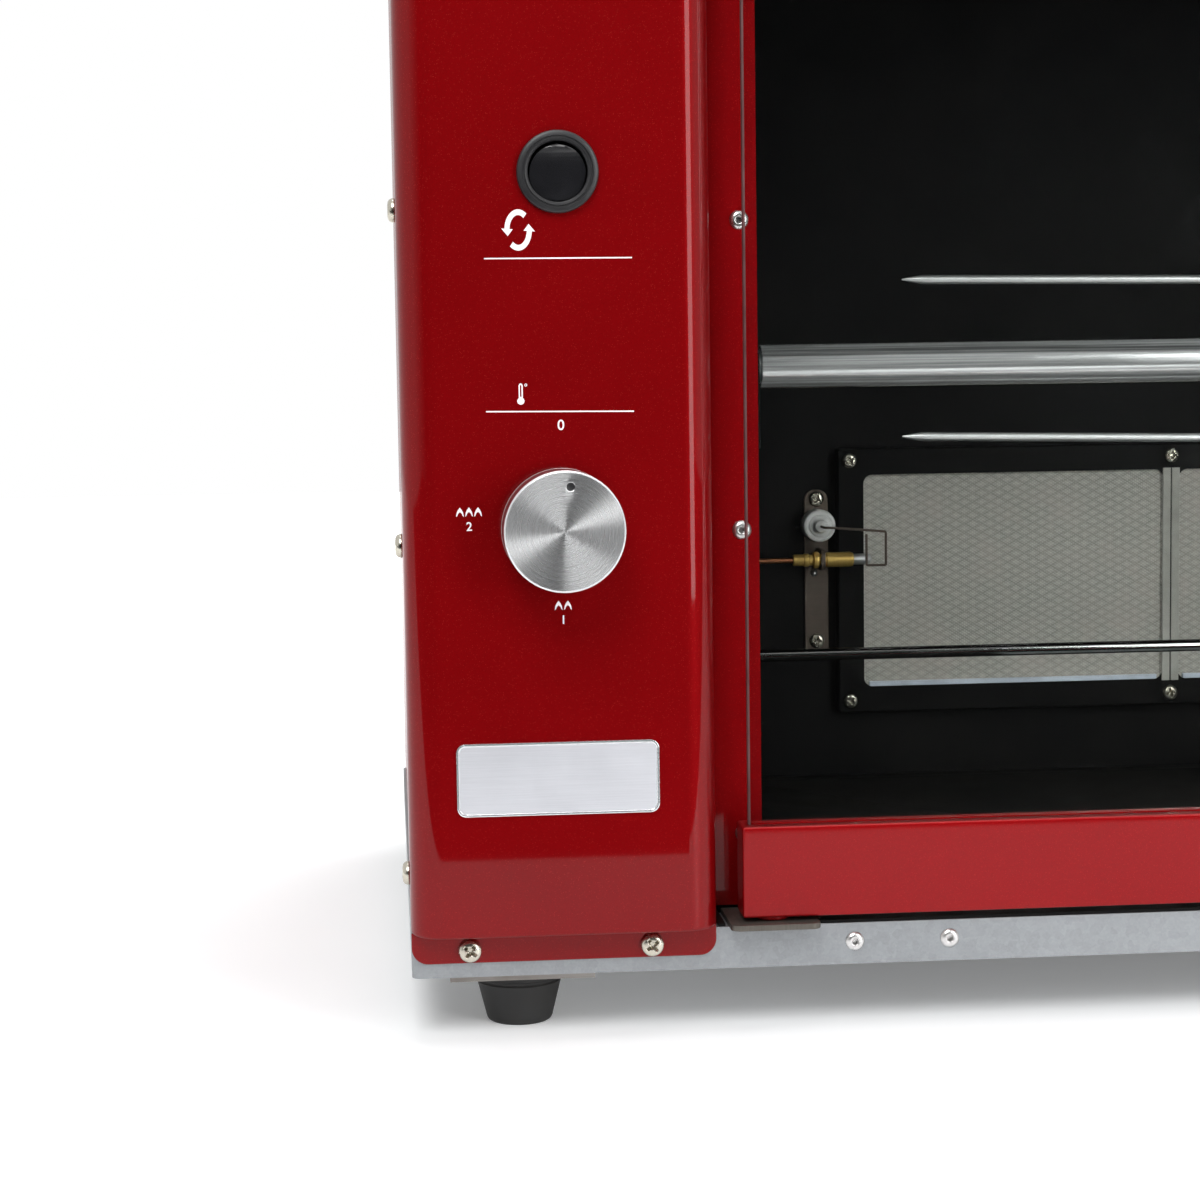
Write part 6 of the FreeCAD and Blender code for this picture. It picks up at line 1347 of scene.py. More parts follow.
@dataclass
class Fasteners:
    """Pan-head cross screws and blind rivets."""

    head_radius: float = 4.0
    head_height: float = 2.4
    shank: float = 2.0
    length: float = 7.0
    rivet_radius: float = 3.2
    rivet_height: float = 1.1
    rivet_shank: float = 1.6
    rivet_reach: float = 3.4
    small_radius: float = 3.4
    small_height: float = 1.8
    small_shank: float = 1.6
    small_length: float = 9.0
    side_levels: tuple[float, ...] = (53.0, 163.0, 273.0, 383.0)
    jamb_levels: tuple[float, ...] = (62.7, 165.8, 268.9, 372.0)

    def screw(self, name: str, radius: float, height: float, shank: float,
              length: float) -> Piece:
        """A pan-head screw at the frame's zero, its head towards -Y, with a cross recess."""
        profile = [(0, -height), (radius * 0.45, -height), (radius * 0.72, -height * 0.93),
                   (radius * 0.90, -height * 0.72), (radius * 0.985, -height * 0.40),
                   (radius, -height * 0.12), (radius * 0.96, 0), (shank, 0),
                   (shank, length - 0.8), (shank * 0.55, length), (0, length)]
        screw = turned(name, profile, FRAME_ZERO, Axis.Y, 32, 40.0)
        arm, half = radius * 0.62, radius * 0.14
        cuts = []
        for turn in (0, 90):
            bar = block("cross_tool", (HALF_WIDTH - arm, ORIGIN_BACK - height - 0.5, -half),
                        (HALF_WIDTH + arm, ORIGIN_BACK - height * 0.15, half))
            with editing(bar):
                pick_faces(bar, lambda c, n: n.y > 0.9)
                bpy.ops.transform.resize(value=(0.55, 1.0, 0.75))
            turn_piece(bar, Vector((0, 0, 0)), Axis.Y, turn)
            cuts.append(bar)
        core = turned("cross_core", [(0, -height - 0.5), (radius * 0.24, -height - 0.5),
                                     (radius * 0.20, -height * 0.55), (0, -height * 0.22)],
                      FRAME_ZERO, Axis.Y, 12)
        for tool in (*cuts, core):
            carve(screw, tool)
        smooth(screw, 40.0)
        return screw

    def rivet(self, name: str) -> Piece:
        """A domed blind rivet with the dark hollow of its broken mandrel."""
        radius, height = self.rivet_radius, self.rivet_height
        profile = [(0, 1.2), (0.92, 1.2), (1.0, -height * 0.55), (1.15, -height * 0.88),
                   (1.38, -height), (1.95, -height * 0.95), (2.6, -height * 0.70),
                   (radius - 0.12, -height * 0.28), (radius, -height * 0.08),
                   (radius - 0.05, 0), (self.rivet_shank, 0),
                   (self.rivet_shank, self.rivet_reach - 0.3),
                   (self.rivet_shank - 0.3, self.rivet_reach), (0, self.rivet_reach)]
        return turned(name, profile, FRAME_ZERO, Axis.Y, 32, 40.0)

    def spread(self, source: Piece, sets: Sequence[FastenerPlaces], finish: Finish,
               slot: str, node: str) -> None:
        """Set copies of one fastener at all its places, joined by set.

        Args:
            source: the fastener at the frame's zero.
            sets: where the copies go.
            finish: their surface.
            slot: the record's material slot.
            node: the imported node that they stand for.
        """
        for batch in sets:
            copies = []
            for number, point in enumerate(batch.points):
                copy = copy_piece(source, f"{batch.name}_{number}", Vector((0, 0, 0)))
                spin = 17.0 * number + len(batch.name) * 7.0
                turn_piece(copy, Vector((0, 0, 0)), Axis.Y, spin)
                look = Vector((0.0, -1.0, 0.0)).rotation_difference(Vector(batch.outward))
                copy.data.transform(look.to_matrix().to_4x4())
                copy.data.transform(Matrix.Translation(at(*point)))
                copies.append(copy)
            finish_piece(join(copies, batch.name), finish, Body.CABINET, slot, node)
        bpy.data.objects.remove(source, do_unlink=True)

    def both_sides(self, name: str, points: Sequence[Point],
                   outward: Point) -> list[FastenerPlaces]:
        """One set of places on the left and its mirror image on the right."""
        mirrored = [(CABINET_WIDTH - x, y, z) for x, y, z in points]
        return [FastenerPlaces(f"{name}_left", list(points), outward),
                FastenerPlaces(f"{name}_right", mirrored, (-outward[0], outward[1], outward[2]))]

    def build(self) -> None:
        """Make the three kinds of fastener and set them in place."""
        front, left, rear = (0.0, -1.0, 0.0), (-1.0, 0.0, 0.0), (0.0, 1.0, 0.0)
        pan = self.both_sides("column_screws", [(19.2, -1.0, 30.3), (79.6, -1.0, 30.3)], front)
        pan += self.both_sides("side_screws", [(0.0, 18.0, z) for z in self.side_levels], left)
        pan += self.both_sides("rear_screws", [(11.5, 349.0, z) for z in self.side_levels], rear)
        self.spread(self.screw("pan_screw", self.head_radius, self.head_height, self.shank,
                               self.length), pan, Finishes.SCREW, "zinc_plate", "panel_screws")
        rivets = self.both_sides("jamb_rivets", [(113.7, 20.0, z) for z in self.jamb_levels], front)
        rivets += self.both_sides("base_rivets", [(147.8, 0.0, 28.7), (180.0, 0.0, 28.7)], front)
        self.spread(self.rivet("rivet"), rivets, Finishes.RIVET, "zinc_plate", "blind_rivets")
        rim = [(x, 283.0, z) for x in (199.25, 345.0, 490.75) for z in (70.25, 177.25)]
        small = [FastenerPlaces("burner_frame_screws", rim, front),
                 FastenerPlaces("igniter_screws", [(185.2, 288.5, z) for z in (97.0, 160.5)],
                                front)]
        self.spread(self.screw("small_screw", self.small_radius, self.small_height,
                               self.small_shank, self.small_length), small, Finishes.SCREW,
                    "zinc_plate", "burner_screws")


@dataclass
class Burner:
    """Two ceramic tiles in their black frame, with pale sealing strips whose bluish colour is a
    painted highlight along the windows' lower edges.
    """

    tile_left: float = 204.5
    tile_width: float = 138.0
    tile_gap: float = 5.0
    tile_front: float = 284.5
    tile_depth: float = 13.0
    bottom: float = 75.5
    height: float = 96.5
    lip: float = 1.0
    frame_front: float = 283.0
    frame_back: float = 290.0
    rim: float = 10.5
    corner: float = 4.0
    sheet: float = 1.0
    strip: float = 2.2
    divider_left: float = 341.1
    cord_width: float = 3.7
    cord_gap: float = 0.4

    def lefts(self) -> tuple[float, float]:
        """Where the two tiles begin."""
        return self.tile_left, self.tile_left + self.tile_width + self.tile_gap

    def tile(self, name: str, left: float) -> Piece:
        """A tile with a soft edge and a shallow sunk field of fire holes."""
        tile = block(name, (left, self.tile_front, self.bottom),
                     (left + self.tile_width, self.tile_front + self.tile_depth,
                      self.bottom + self.height))
        soften(tile, runs(Axis.Y), 3.0, 5)
        soften_all(tile, 0.5, 2, 60.0)
        with editing(tile):
            pick_faces(tile, lambda c, n: n.y < -0.99)
            bpy.ops.mesh.inset(thickness=0.9 * MM, depth=0.0)
            bpy.ops.mesh.inset(thickness=0.4 * MM, depth=-0.3 * MM)
        smooth(tile, 30.0)
        return tile

    def frame_sheet(self) -> Piece:
        """The pressed frame: a shallow pan with a rounded window before each tile."""
        rim, lip, front = self.rim, self.lip, self.frame_front
        low, high = self.bottom, self.bottom + self.height
        pan = block("burner_front_frame", (self.tile_left - rim, front, low - rim),
                    (self.lefts()[1] + self.tile_width + rim, self.frame_back, high + rim))
        soften(pan, runs(Axis.Y), 1.2, 4)
        soften(pan, lambda m, d: abs(m.y - at_y(front)) < NEAR, 0.8, 3)
        open_side(pan, lambda c, n: n.y > 0.9)
        thicken(pan, self.sheet)
        for left in self.lefts():
            window = block("window_tool", (left + lip, front - 2, low + lip),
                           (left + self.tile_width - lip, front + 1.4, high - lip))
            soften(window, runs(Axis.Y), self.corner, 6)
            carve(pan, window)
        smooth(pan, 30.0)
        return pan

    def divider(self) -> Piece:
        """Two pale cords side by side on the bar between the tiles."""
        low = self.bottom + self.lip - 0.6
        high = self.bottom + self.height - self.lip + 0.6
        cords = []
        for left in (self.divider_left, self.divider_left + self.cord_width + self.cord_gap):
            cord = block("cord", (left, self.frame_front - 0.4, low),
                         (left + self.cord_width, self.frame_front + 0.9, high))
            soften(cord, runs(Axis.Z), 0.5, 4)
            cords.append(cord)
        whole = join(cords, "burner_divider_cords")
        smooth(whole, 40.0)
        return whole

    def sealing_strips(self) -> Piece:
        """Pale sealing strips along the windows' lower edges, their bluish colour a painted
        highlight.
        """
        low = self.bottom + self.lip
        strips = []
        for left in self.lefts():
            inset = self.lip + 2.5
            strip = block("strip", (left + inset, self.frame_front + 0.2, low + 0.05),
                          (left + self.tile_width - inset, self.tile_front + 0.5, low + self.strip))
            soften_all(strip, 0.3, 2, 60.0)
            strips.append(strip)
        whole = join(strips, "burner_sealing_strips")
        smooth(whole, 30.0)
        return whole

    def build(self) -> None:
        """Make and dress the burner's face."""
        for side, left in zip(("left", "right"), self.lefts()):
            finish_piece(self.tile(f"burner_tile_{side}", left), Finishes.CERAMIC, Body.CABINET,
                         "burner_ceramic", "burner_tiles")
        finish_all(Body.CABINET,
                   (self.frame_sheet(), Finishes.ENAMEL, "dull_steel", "burner_frame"),
                   (self.sealing_strips(), Finishes.SEAL_PAINTED_HIGHLIGHT, "white_porcelain"),
                   (self.divider(), Finishes.DIVIDER, "white_porcelain"))


@dataclass
class Igniter:
    """Spark electrode and flame sensor beside the burner."""

    sensor_x: float = 173.0
    sensor_y: float = 278.7
    sensor_z: float = 134.0
    body_length: float = 27.0
    tip_length: float = 8.0
    tip_radius: float = 2.4
    insulator_x: float = 185.2
    insulator_z: float = 149.0
    insulator_front: float = 278.5
    insulator_back: float = 288.5
    insulator_radius: float = 7.2
    strip_half: float = 5.3
    strip_low: float = 93.0
    strip_high: float = 164.5
    strip_front: float = 288.5
    strip_back: float = 290.0
    strap_x: float = 186.0
    wire_y: float = 266.5
    wire_radius: float = 0.55

    def sensor_body(self) -> Piece:
        """The brass body with its nut, collar and neck."""
        end = self.body_length
        profile = [(0, 0), (2.2, 0), (2.5, 0.5), (2.6, 4.6), (2.9, 5.0), (2.9, 6.8), (2.4, 7.4),
                   (2.4, 8.8), (3.6, 9.2), (3.7, 9.6), (3.7, 11.0), (3.5, 11.4), (2.8, 11.8),
                   (2.8, 14.6), (3.3, 15.0), (3.3, end - 1.6), (3.0, end - 0.4), (2.4, end),
                   (0, end)]
        return turned("flame_sensor_body", profile, (self.sensor_x, self.sensor_y, self.sensor_z),
                      Axis.X, 40)

    def sensor_tip(self) -> Piece:
        """The steel tip that stands in the flame."""
        radius, length = self.tip_radius, self.tip_length
        profile = [(0, -0.5), (radius, -0.5), (radius, length - 1.4), (radius * 0.8, length - 0.5),
                   (radius * 0.4, length - 0.1), (0, length)]
        start = (self.sensor_x + self.body_length, self.sensor_y, self.sensor_z)
        return turned("flame_sensor_tip", profile, start, Axis.X, 32)

    def insulator(self) -> Piece:
        """A glazed insulator with a rounded flange and a stepped nose."""
        radius = self.insulator_radius
        length = self.insulator_back - self.insulator_front
        profile = [(0, -4.0), (2.3, -4.0), (2.7, -3.6), (2.9, -1.0), (3.6, -0.4), (4.6, -0.3),
                   (4.9, 0.35), (5.6, 0.35), (5.9, 0.0), (6.6, 0.1), (7.05, 0.6), (radius, 1.4),
                   (radius, length - 0.8), (radius - 0.8, length), (0, length)]
        return turned("spark_insulator", profile,
                      (self.insulator_x, self.insulator_front, self.insulator_z), Axis.Y, 56)

    def wire(self) -> Piece:
        """The spark wire: out of the insulator, across, and round in a small square loop."""
        x, y, top = self.insulator_x, self.wire_y, 147.6
        right, left, floor = 212.2, 203.6, 132.2
        soft = 1.6
        return bent_wire("spark_wire", [
            (x, self.insulator_front + 1.0, self.insulator_z), (x, y + 5.0, self.insulator_z),
            (x, y + 1.2, self.insulator_z), (x + 1.0, y, self.insulator_z),
            (x + 5.0, y, self.insulator_z - 0.2), (left, y, top), (right - soft, y, top - 0.6),
            (right, y, top - 0.8), (right, y, top - 0.8 - soft), (right, y, floor + soft),
            (right, y, floor), (right - soft, y, floor), (left + soft, y, floor),
            (left, y, floor), (left, y, floor + soft), (left, y, top - 1.8)], self.wire_radius)

    def bracket(self) -> Piece:
        """The round-topped strip with the strap that holds the sensor."""
        x, half = self.insulator_x, self.strip_half
        strip = block("igniter_strip", (x - half, self.strip_front, self.strip_low),
                      (x + half, self.strip_back, self.strip_high))
        soften(strip, runs(Axis.Y, z=self.strip_high * MM), 4.6, 10)
        soften_all(strip, 0.25, 2, 60.0)
        front = self.sensor_y - 4.4
        strap = block("strap", (self.strap_x - 0.9, front, self.sensor_z - 4.6),
                      (self.strap_x + 0.9, self.strip_front + 0.6, self.sensor_z + 4.6))
        soften(strap, runs(Axis.X, y=at_y(front)), 3.4, 8)
        soften_all(strap, 0.2, 2, 60.0)
        carve(strap, turned("strap_hole", [(0, -3), (2.75, -3), (2.75, 3), (0, 3)],
                            (self.strap_x, self.sensor_y, self.sensor_z), Axis.X, 32))
        whole = join([strip, strap], "igniter_bracket_strip")
        smooth(whole, 30.0)
        return whole

    def strap_rivet(self) -> Piece:
        """The small pale head that holds the strap to the strip."""
        head = [(0, -1.3), (0.7, -1.2), (1.25, -0.8), (1.5, -0.15), (1.45, 0.4), (0, 0.4)]
        return turned("strap_rivet", head,
                      (self.insulator_x - 1.2, self.strip_front, self.sensor_z - 6.6), Axis.Y, 28)

    def build(self) -> None:
        """Make and dress the sensor, the electrode and their bracket."""
        finish_all(Body.CABINET,
                   (self.sensor_body(), Finishes.BRASS, "brass", "thermocouple"),
                   (self.sensor_tip(), Finishes.STEEL, "dull_steel"),
                   (self.insulator(), Finishes.PORCELAIN, "white_porcelain",
                    "electrode_insulator"),
                   (self.wire(), Finishes.SCORCHED, "dull_steel", "electrode_wire"),
                   (smooth_copy("thermocouple_lead", "sensor_lead"), Finishes.COPPER,
                    "dull_steel"),
                   (self.bracket(), Finishes.SCORCHED, "dull_steel", "igniter_bracket"),
                   (self.strap_rivet(), Finishes.RIVET, "zinc_plate"))


@dataclass
class Spit:
    """Spit tube, the two prongs of its fork and the guard rod."""

    axis_y: float = 120.0
    axis_z: float = 220.0
    tube_start: float = 135.0
    tube_end: float = 549.5
    radius: float = 8.1
    wall: float = 1.5
    prong_start: float = 189.0
    prong_length: float = 141.0
    prong_offset: float = 30.0
    prong_radius: float = 1.65
    prong_point: float = 8.0
    upper_bend: float = 0.65
    lower_bend: float = 1.18
    rod_start: float = 114.5
    rod_end: float = 575.5
    rod_y: float = 200.0
    rod_z: float = 101.5
    rod_radius: float = 2.5

    def tube(self) -> Piece:
        """The open tube with soft ends."""
        run, outer, inner = self.tube_end - self.tube_start, self.radius, self.radius - self.wall
        profile = [(inner, 0.2), (inner + 0.2, 0), (outer - 0.3, 0), (outer, 0.3),
                   (outer, run / 2), (outer, run - 0.3), (outer - 0.3, run), (inner + 0.2, run),
                   (inner, run - 0.2), (inner, 0.2)]
        return turned("spit_round_tube", profile, (self.tube_start, self.axis_y, self.axis_z),
                      Axis.X, 96)

    def prong(self, name: str, offset: float) -> Piece:
        """One prong with a ground point."""
        radius, run = self.prong_radius, self.prong_length
        profile = [(0, 0), (0.3, 0.15), (0.75, 2.2), (1.2, 4.8), (1.55, self.prong_point - 0.8),
                   (radius, self.prong_point + 0.6), (radius, run - 0.4), (radius - 0.4, run),
                   (0, run)]
        return turned(name, profile, (self.prong_start, self.axis_y, self.axis_z + offset),
                      Axis.X, 28)

    def build(self) -> None:
        """Make and dress all that turns with the spit, and the guard rod."""
        finish_piece(self.tube(), Finishes.SPIT_TUBE, Body.SPIT, "bright_steel", "spit_tube")
        lower = self.prong("fork_prong_lower", -self.prong_offset)
        upper = copy_piece(lower, "fork_prong_upper", Vector((0, 0, 2 * self.prong_offset)) * MM)
        for prong, offset, bend in ((lower, -self.prong_offset, self.lower_bend),
                                    (upper, self.prong_offset, self.upper_bend)):
            root = at(self.prong_start + self.prong_length, self.axis_y, self.axis_z + offset)
            turn_piece(prong, root, Axis.Y, bend)
            smooth(prong, 30.0)
            finish_piece(prong, Finishes.STEEL, Body.FORK, "bright_steel", "fork_prongs")
        run, radius = self.rod_end - self.rod_start, self.rod_radius
        rod = turned("guard_round_rod", both_ends([(0, 0), (radius - 0.4, 0), (radius, 0.4)], run),
                     (self.rod_start, self.rod_y, self.rod_z), Axis.X, 40)
        finish_piece(rod, Finishes.POLISHED, Body.CABINET, "bright_steel", "guard_rod")


@dataclass
class GasInlet:
    """Brass inlet with a chamfered hexagon and a real thread form."""

    x: float = 86.7
    z: float = 78.0
    hex_front: float = 340.0
    hex_height: float = 8.0
    hex_radius: float = 14.0
    end: float = 364.0
    crest: float = 10.48
    root: float = 9.55
    pitch: float = 1.81
    bore: float = 4.0

    def build(self) -> None:
        """Turn the threaded end, form the hexagon and join them."""
        base = self.hex_front + self.hex_height
        run = self.end - base
        foot = -self.hex_height - 0.01
        profile = [(self.bore, foot), (self.bore, run - 0.6), (self.bore + 0.6, run),
                   (self.root, run)]
        for number in range(int((run - 1.2) / self.pitch)):
            top = run - 0.5 - number * self.pitch
            profile += [(self.crest, top - self.pitch * 0.42),
                        (self.crest, top - self.pitch * 0.58), (self.root, top - self.pitch)]
        profile += [(self.root, 0.4), (self.root, foot), (self.bore, foot)]
        thread = turned("inlet_thread", profile, (self.x, base, self.z), Axis.Y, 64, 40.0)
        nut = hexagon("inlet_hexagon", self.hex_radius, self.hex_height,
                      at(self.x, base - self.hex_height / 2, self.z), 0.0, 0.6)
        carve(nut, turned("bore_tool", [(0, -1), (self.root, -1), (self.root, 10), (0, 10)],
                          (self.x, self.hex_front, self.z), Axis.Y, 64))
        whole = join([thread, nut], "gas_inlet_fitting")
        smooth(whole, 35.0)
        finish_piece(whole, Finishes.BRASS, Body.CABINET, "brass", "gas_inlet")


@dataclass
class Print:
    """Pale printed marks and the bare plate on the left column's face."""

    ink: float = 0.045
    plate_thickness: float = 0.8
    arrow_sweep: float = 24.0
    arrow_flare: float = 2.3
    digit_size: float = 1.42
    digit_swell: float = 0.04

    def lay(self, name: str, loops: Sequence[Profile]) -> Piece:
        """A flat printed shape from closed outlines on the column's face.

        Args:
            name: the piece's name.
            loops: outlines as (X, Z) in cabinet millimetres; one inside another is a hole.

        Returns:
            The shape as a thin closed mesh.
        """
        deselect()
        sketch = bpy.data.curves.new(name, "CURVE")
        sketch.dimensions = "2D"
        sketch.fill_mode = "BOTH"
        sketch.extrude = self.ink / 2 * MM
        for loop in loops:
            line = sketch.splines.new("POLY")
            line.points.add(len(loop) - 1)
            for spot, (x, z) in zip(line.points, loop):
                spot.co = ((x - HALF_WIDTH) * MM, z * MM, 0.0, 1.0)
            line.use_cyclic_u = True
        mark = bpy.data.objects.new(name, sketch)
        bpy.context.scene.collection.objects.link(mark)
        return self._onto_face(mark)

    def _onto_face(self, mark: Piece) -> Piece:
        """Turn a flat curve into a mesh and stand it on the column's face."""
        take(mark)
        bpy.ops.object.convert(target="MESH")
        flat = bpy.context.active_object
        stand = Matrix.Rotation(math.pi / 2, 4, "X")
        lift = Matrix.Translation((0.0, at_y(COLUMN_FACE - self.ink / 2), 0.0))
        flat.data.transform(lift @ stand)
        flat.data.update()
        tidy(flat)
        return flat

    def digit(self, text: str, x: float, z: float, height: float) -> Piece:
        """A plain number, centred on a place of the face."""
        deselect()
        bpy.ops.object.text_add(location=(0, 0, 0))
        mark = bpy.context.active_object
        mark.name = f"dial_number_{text}"
        mark.data.body = text
        mark.data.align_x = "CENTER"
        mark.data.align_y = "CENTER"
        mark.data.size = height * self.digit_size * MM
        mark.data.extrude = self.ink / 2 * MM
        mark.data.offset = self.digit_swell * MM
        mark.location = ((x - HALF_WIDTH) * MM, z * MM, 0.0)
        take(mark)
        bpy.ops.object.convert(target="MESH")
        settle(bpy.context.active_object)
        return self._onto_face(bpy.context.active_object)

    @staticmethod
    def ellipse(x: float, z: float, across: float, up: float, start: float, end: float,
                steps: int = 20) -> list[tuple[float, float]]:
        """Places on an ellipse from one angle to another, in degrees."""
        places = []
        for number in range(steps + 1):
            angle = math.radians(start + (end - start) * number / steps)
            places.append((x + across * math.cos(angle), z + up * math.sin(angle)))
        return places

    def arrow(self, name: str, start: float, end: float) -> Piece:
        """One of the two bent arrows of the turning sign."""
        x, z = 38.8, 264.8
        band = self.ellipse(x, z, 4.35, 6.5, start, end)
        inner = self.ellipse(x, z, 2.75, 4.7, start, end)
        middle = [(outer + deep) / 2 for outer, deep in zip(band[-1], inner[-1])]
        point = end + self.arrow_sweep
        tip = self.ellipse(x, z, 3.55, 5.5, point, point, 1)[0]
        out, back = (tuple(m + (e - m) * self.arrow_flare for m, e in zip(middle, line[-1]))
                     for line in (band, inner))
        return self.lay(name, [band + [out, tip, back] + inner[::-1]])

    def peak(self, x: float, z: float) -> list[tuple[float, float]]:
        """Outline of one hollow flame peak standing on a place."""
        shape = [(-1.25, 0.0), (-1.05, 1.3), (-0.62, 2.2), (0.0, 3.0), (0.62, 2.2), (1.05, 1.3),
                 (1.25, 0.0), (0.85, 0.35), (0.58, 1.05), (0.0, 1.55), (-0.58, 1.05),
                 (-0.85, 0.35)]
        return [(x + dx, z + dz) for dx, dz in shape]

    def marks(self) -> list[Piece]:
        """All the printed marks."""
        line = 0.21
        marks = [
            self.arrow("turning_arrow_left", 52.0, 176.0),
            self.arrow("turning_arrow_right", 232.0, 356.0),
            self.lay("rule_upper", [[(27.8, 255.9 - line), (75.0, 255.7 - line),
                                     (75.0, 255.7 + line), (27.8, 255.9 + line)]]),
            self.lay("rule_lower", [[(27.5, 207.4 - line), (75.0, 206.8 - line),
                                     (75.0, 206.8 + line), (27.5, 207.4 + line)]]),
            self.lay("flame_peaks_high", [self.peak(x, 173.9) for x in (18.5, 21.4, 24.3)]),
            self.lay("flame_peaks_low", [self.peak(x, 143.2) for x in (49.7, 52.7)]),
        ]
        bulb = self.ellipse(38.7, 210.6, 1.15, 1.15, 124.4, 415.6, 28)
        stem = [(39.35, 215.6), (39.1, 216.1), (38.7, 216.25), (38.3, 216.1), (38.05, 215.6)]
        hollow = [(38.95, 212.0), (38.95, 215.5), (38.7, 215.8), (38.45, 215.5), (38.45, 212.0)]
        marks.append(self.lay("thermometer_sign", [stem + bulb, hollow]))
        marks.append(self.lay("degree_ring", [self.ellipse(40.35, 215.7, 0.46, 0.46, 0, 345, 23),
                                              self.ellipse(40.35, 215.7, 0.24, 0.24, 0, 345, 23)]))
        marks.append(self.digit("0", 51.4, 202.6, 3.3))
        marks.append(self.digit("2", 21.4, 170.6, 2.8))
        marks.append(self.digit("1", 51.2, 139.9, 2.8))
        return marks

    def plate(self) -> tuple[Piece, Piece]:
        """The bare plate: a bright rim round a brushed field."""
        low = (15.7, COLUMN_FACE - self.plate_thickness, 76.4)
        high = (81.7, COLUMN_FACE, 100.3)
        rim = block("bare_plate_rim", low, high)
        soften(rim, runs(Axis.Y), 3.0, 8)
        with editing(rim):
            pick_faces(rim, lambda c, n: n.y < -0.9)
            bpy.ops.mesh.inset(thickness=0.75 * MM, depth=0.0)
            bpy.ops.mesh.inset(thickness=0.12 * MM, depth=-0.22 * MM)
        soften_all(rim, 0.14, 2, 50.0)
        smooth(rim, 30.0)
        inset, sunk = 0.95, 0.2
        field_plate = block("bare_plate_field", (low[0] + inset, low[1] + sunk, low[2] + inset),
                            (high[0] - inset, high[1] - 0.1, high[2] - inset))
        soften(field_plate, runs(Axis.Y), 2.2, 8)
        soften_all(field_plate, 0.08, 2, 60.0)
        smooth(field_plate, 30.0)
        return rim, field_plate

    def build(self) -> None:
        """Make and dress the marks and the plate."""
        for mark in self.marks():
            finish_piece(mark, Finishes.INK, Body.CABINET, "white_porcelain")
        rim, field_plate = self.plate()
        finish_all(Body.CABINET, (rim, Finishes.BADGE_RIM, "spun_aluminium"),
                   (field_plate, Finishes.BADGE, "spun_aluminium"))


@dataclass
class CarriedOver:
    """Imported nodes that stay, or are worn as smooth copies of themselves.

    A row of rounded is a node, its body, finish and slot, then the shading angle in degrees and
    the width of the bevel in millimetres where they differ from smooth_copy's own.
    """

    rounded: tuple[tuple, ...] = field(default_factory=lambda: (
        ("base_frame", Body.CABINET, Finishes.ZINC_SHEET, "galvanised", 30.0, 0.2),
        ("left_jamb", Body.CABINET, Finishes.PAINT, "red_paint", 30.0, 0.3),
        ("right_jamb", Body.CABINET, Finishes.PAINT, "red_paint", 30.0, 0.3),
        ("hinge_brackets", Body.CABINET, Finishes.PLATE, "zinc_plate", 30.0, 0.3),
        ("door_catch", Body.CABINET, Finishes.PLASTIC, "black_plastic", 30.0, 0.6),
        ("gas_pipes", Body.CABINET, Finishes.TUBE, "aluminium_tube"),
        ("mixing_tube", Body.CABINET, Finishes.IRON, "dull_steel"),
        ("gas_injector", Body.CABINET, Finishes.BRASS, "brass"),
        ("valve_body", Body.CABINET, Finishes.BRASS, "brass", 32.0, 0.3),
        ("valve_plug", Body.VALVE_PLUG, Finishes.BRASS, "brass"),
        ("valve_stem", Body.KNOB, Finishes.SCREW, "zinc_plate"),
        ("power_inlet", Body.CABINET, Finishes.PLASTIC, "black_plastic", 30.0, 0.4),
        ("spit_bearing", Body.CABINET, Finishes.ENAMEL, "bright_steel", 30.0, 0.35),
        ("spit_end_plugs", Body.SPIT, Finishes.STEEL, "bright_steel", 32.0, 0.25),
        ("fork_hub", Body.FORK, Finishes.STEEL, "bright_steel", 32.0, 0.4),
        ("fork_thumbscrew", Body.FORK_SCREW, Finishes.STEEL, "bright_steel", 32.0, 0.35),
        ("drive_socket", Body.SPIT, Finishes.STEEL, "bright_steel", 32.0, 0.3),
        ("drive_gear", Body.SPIT, Finishes.GEAR, "gear_steel", 30.0),
        ("motor_pinion", Body.PINION, Finishes.GEAR, "gear_steel", 30.0),
        ("drive_bushes", Body.CABINET, Finishes.BRASS, "brass", 32.0),
        ("gear_motor", Body.CABINET, Finishes.GEAR, "gear_steel", 32.0, 0.8),
        ("drip_tray", Body.TRAY, Finishes.ZINC_SHEET, "galvanised", 32.0, 0.2),
    ))

    worn: dict[str, Finish] = field(default_factory=lambda: {
        "foot_plates": Finishes.IRON, "burner_housing": Finishes.IRON})

    def build(self) -> None:
        """Copy what is round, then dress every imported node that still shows."""
        for node, body, finish, slot, *shape in self.rounded:
            finish_piece(smooth_copy(node, f"round_{node}", *shape), finish, body, slot)
        slots = {part["node"]: part["material_slot"] for part in frame["record"]["subparts"]}
        for name, node in frame["nodes"].items():
            if node.hide_render:
                continue
            surface = self.worn.get(name, Finishes.BY_SLOT[slots[name]]).material()
            for place in node.material_slots:
                place.material = surface
            LOG.info("packed node %s wears %s", name, surface.name)


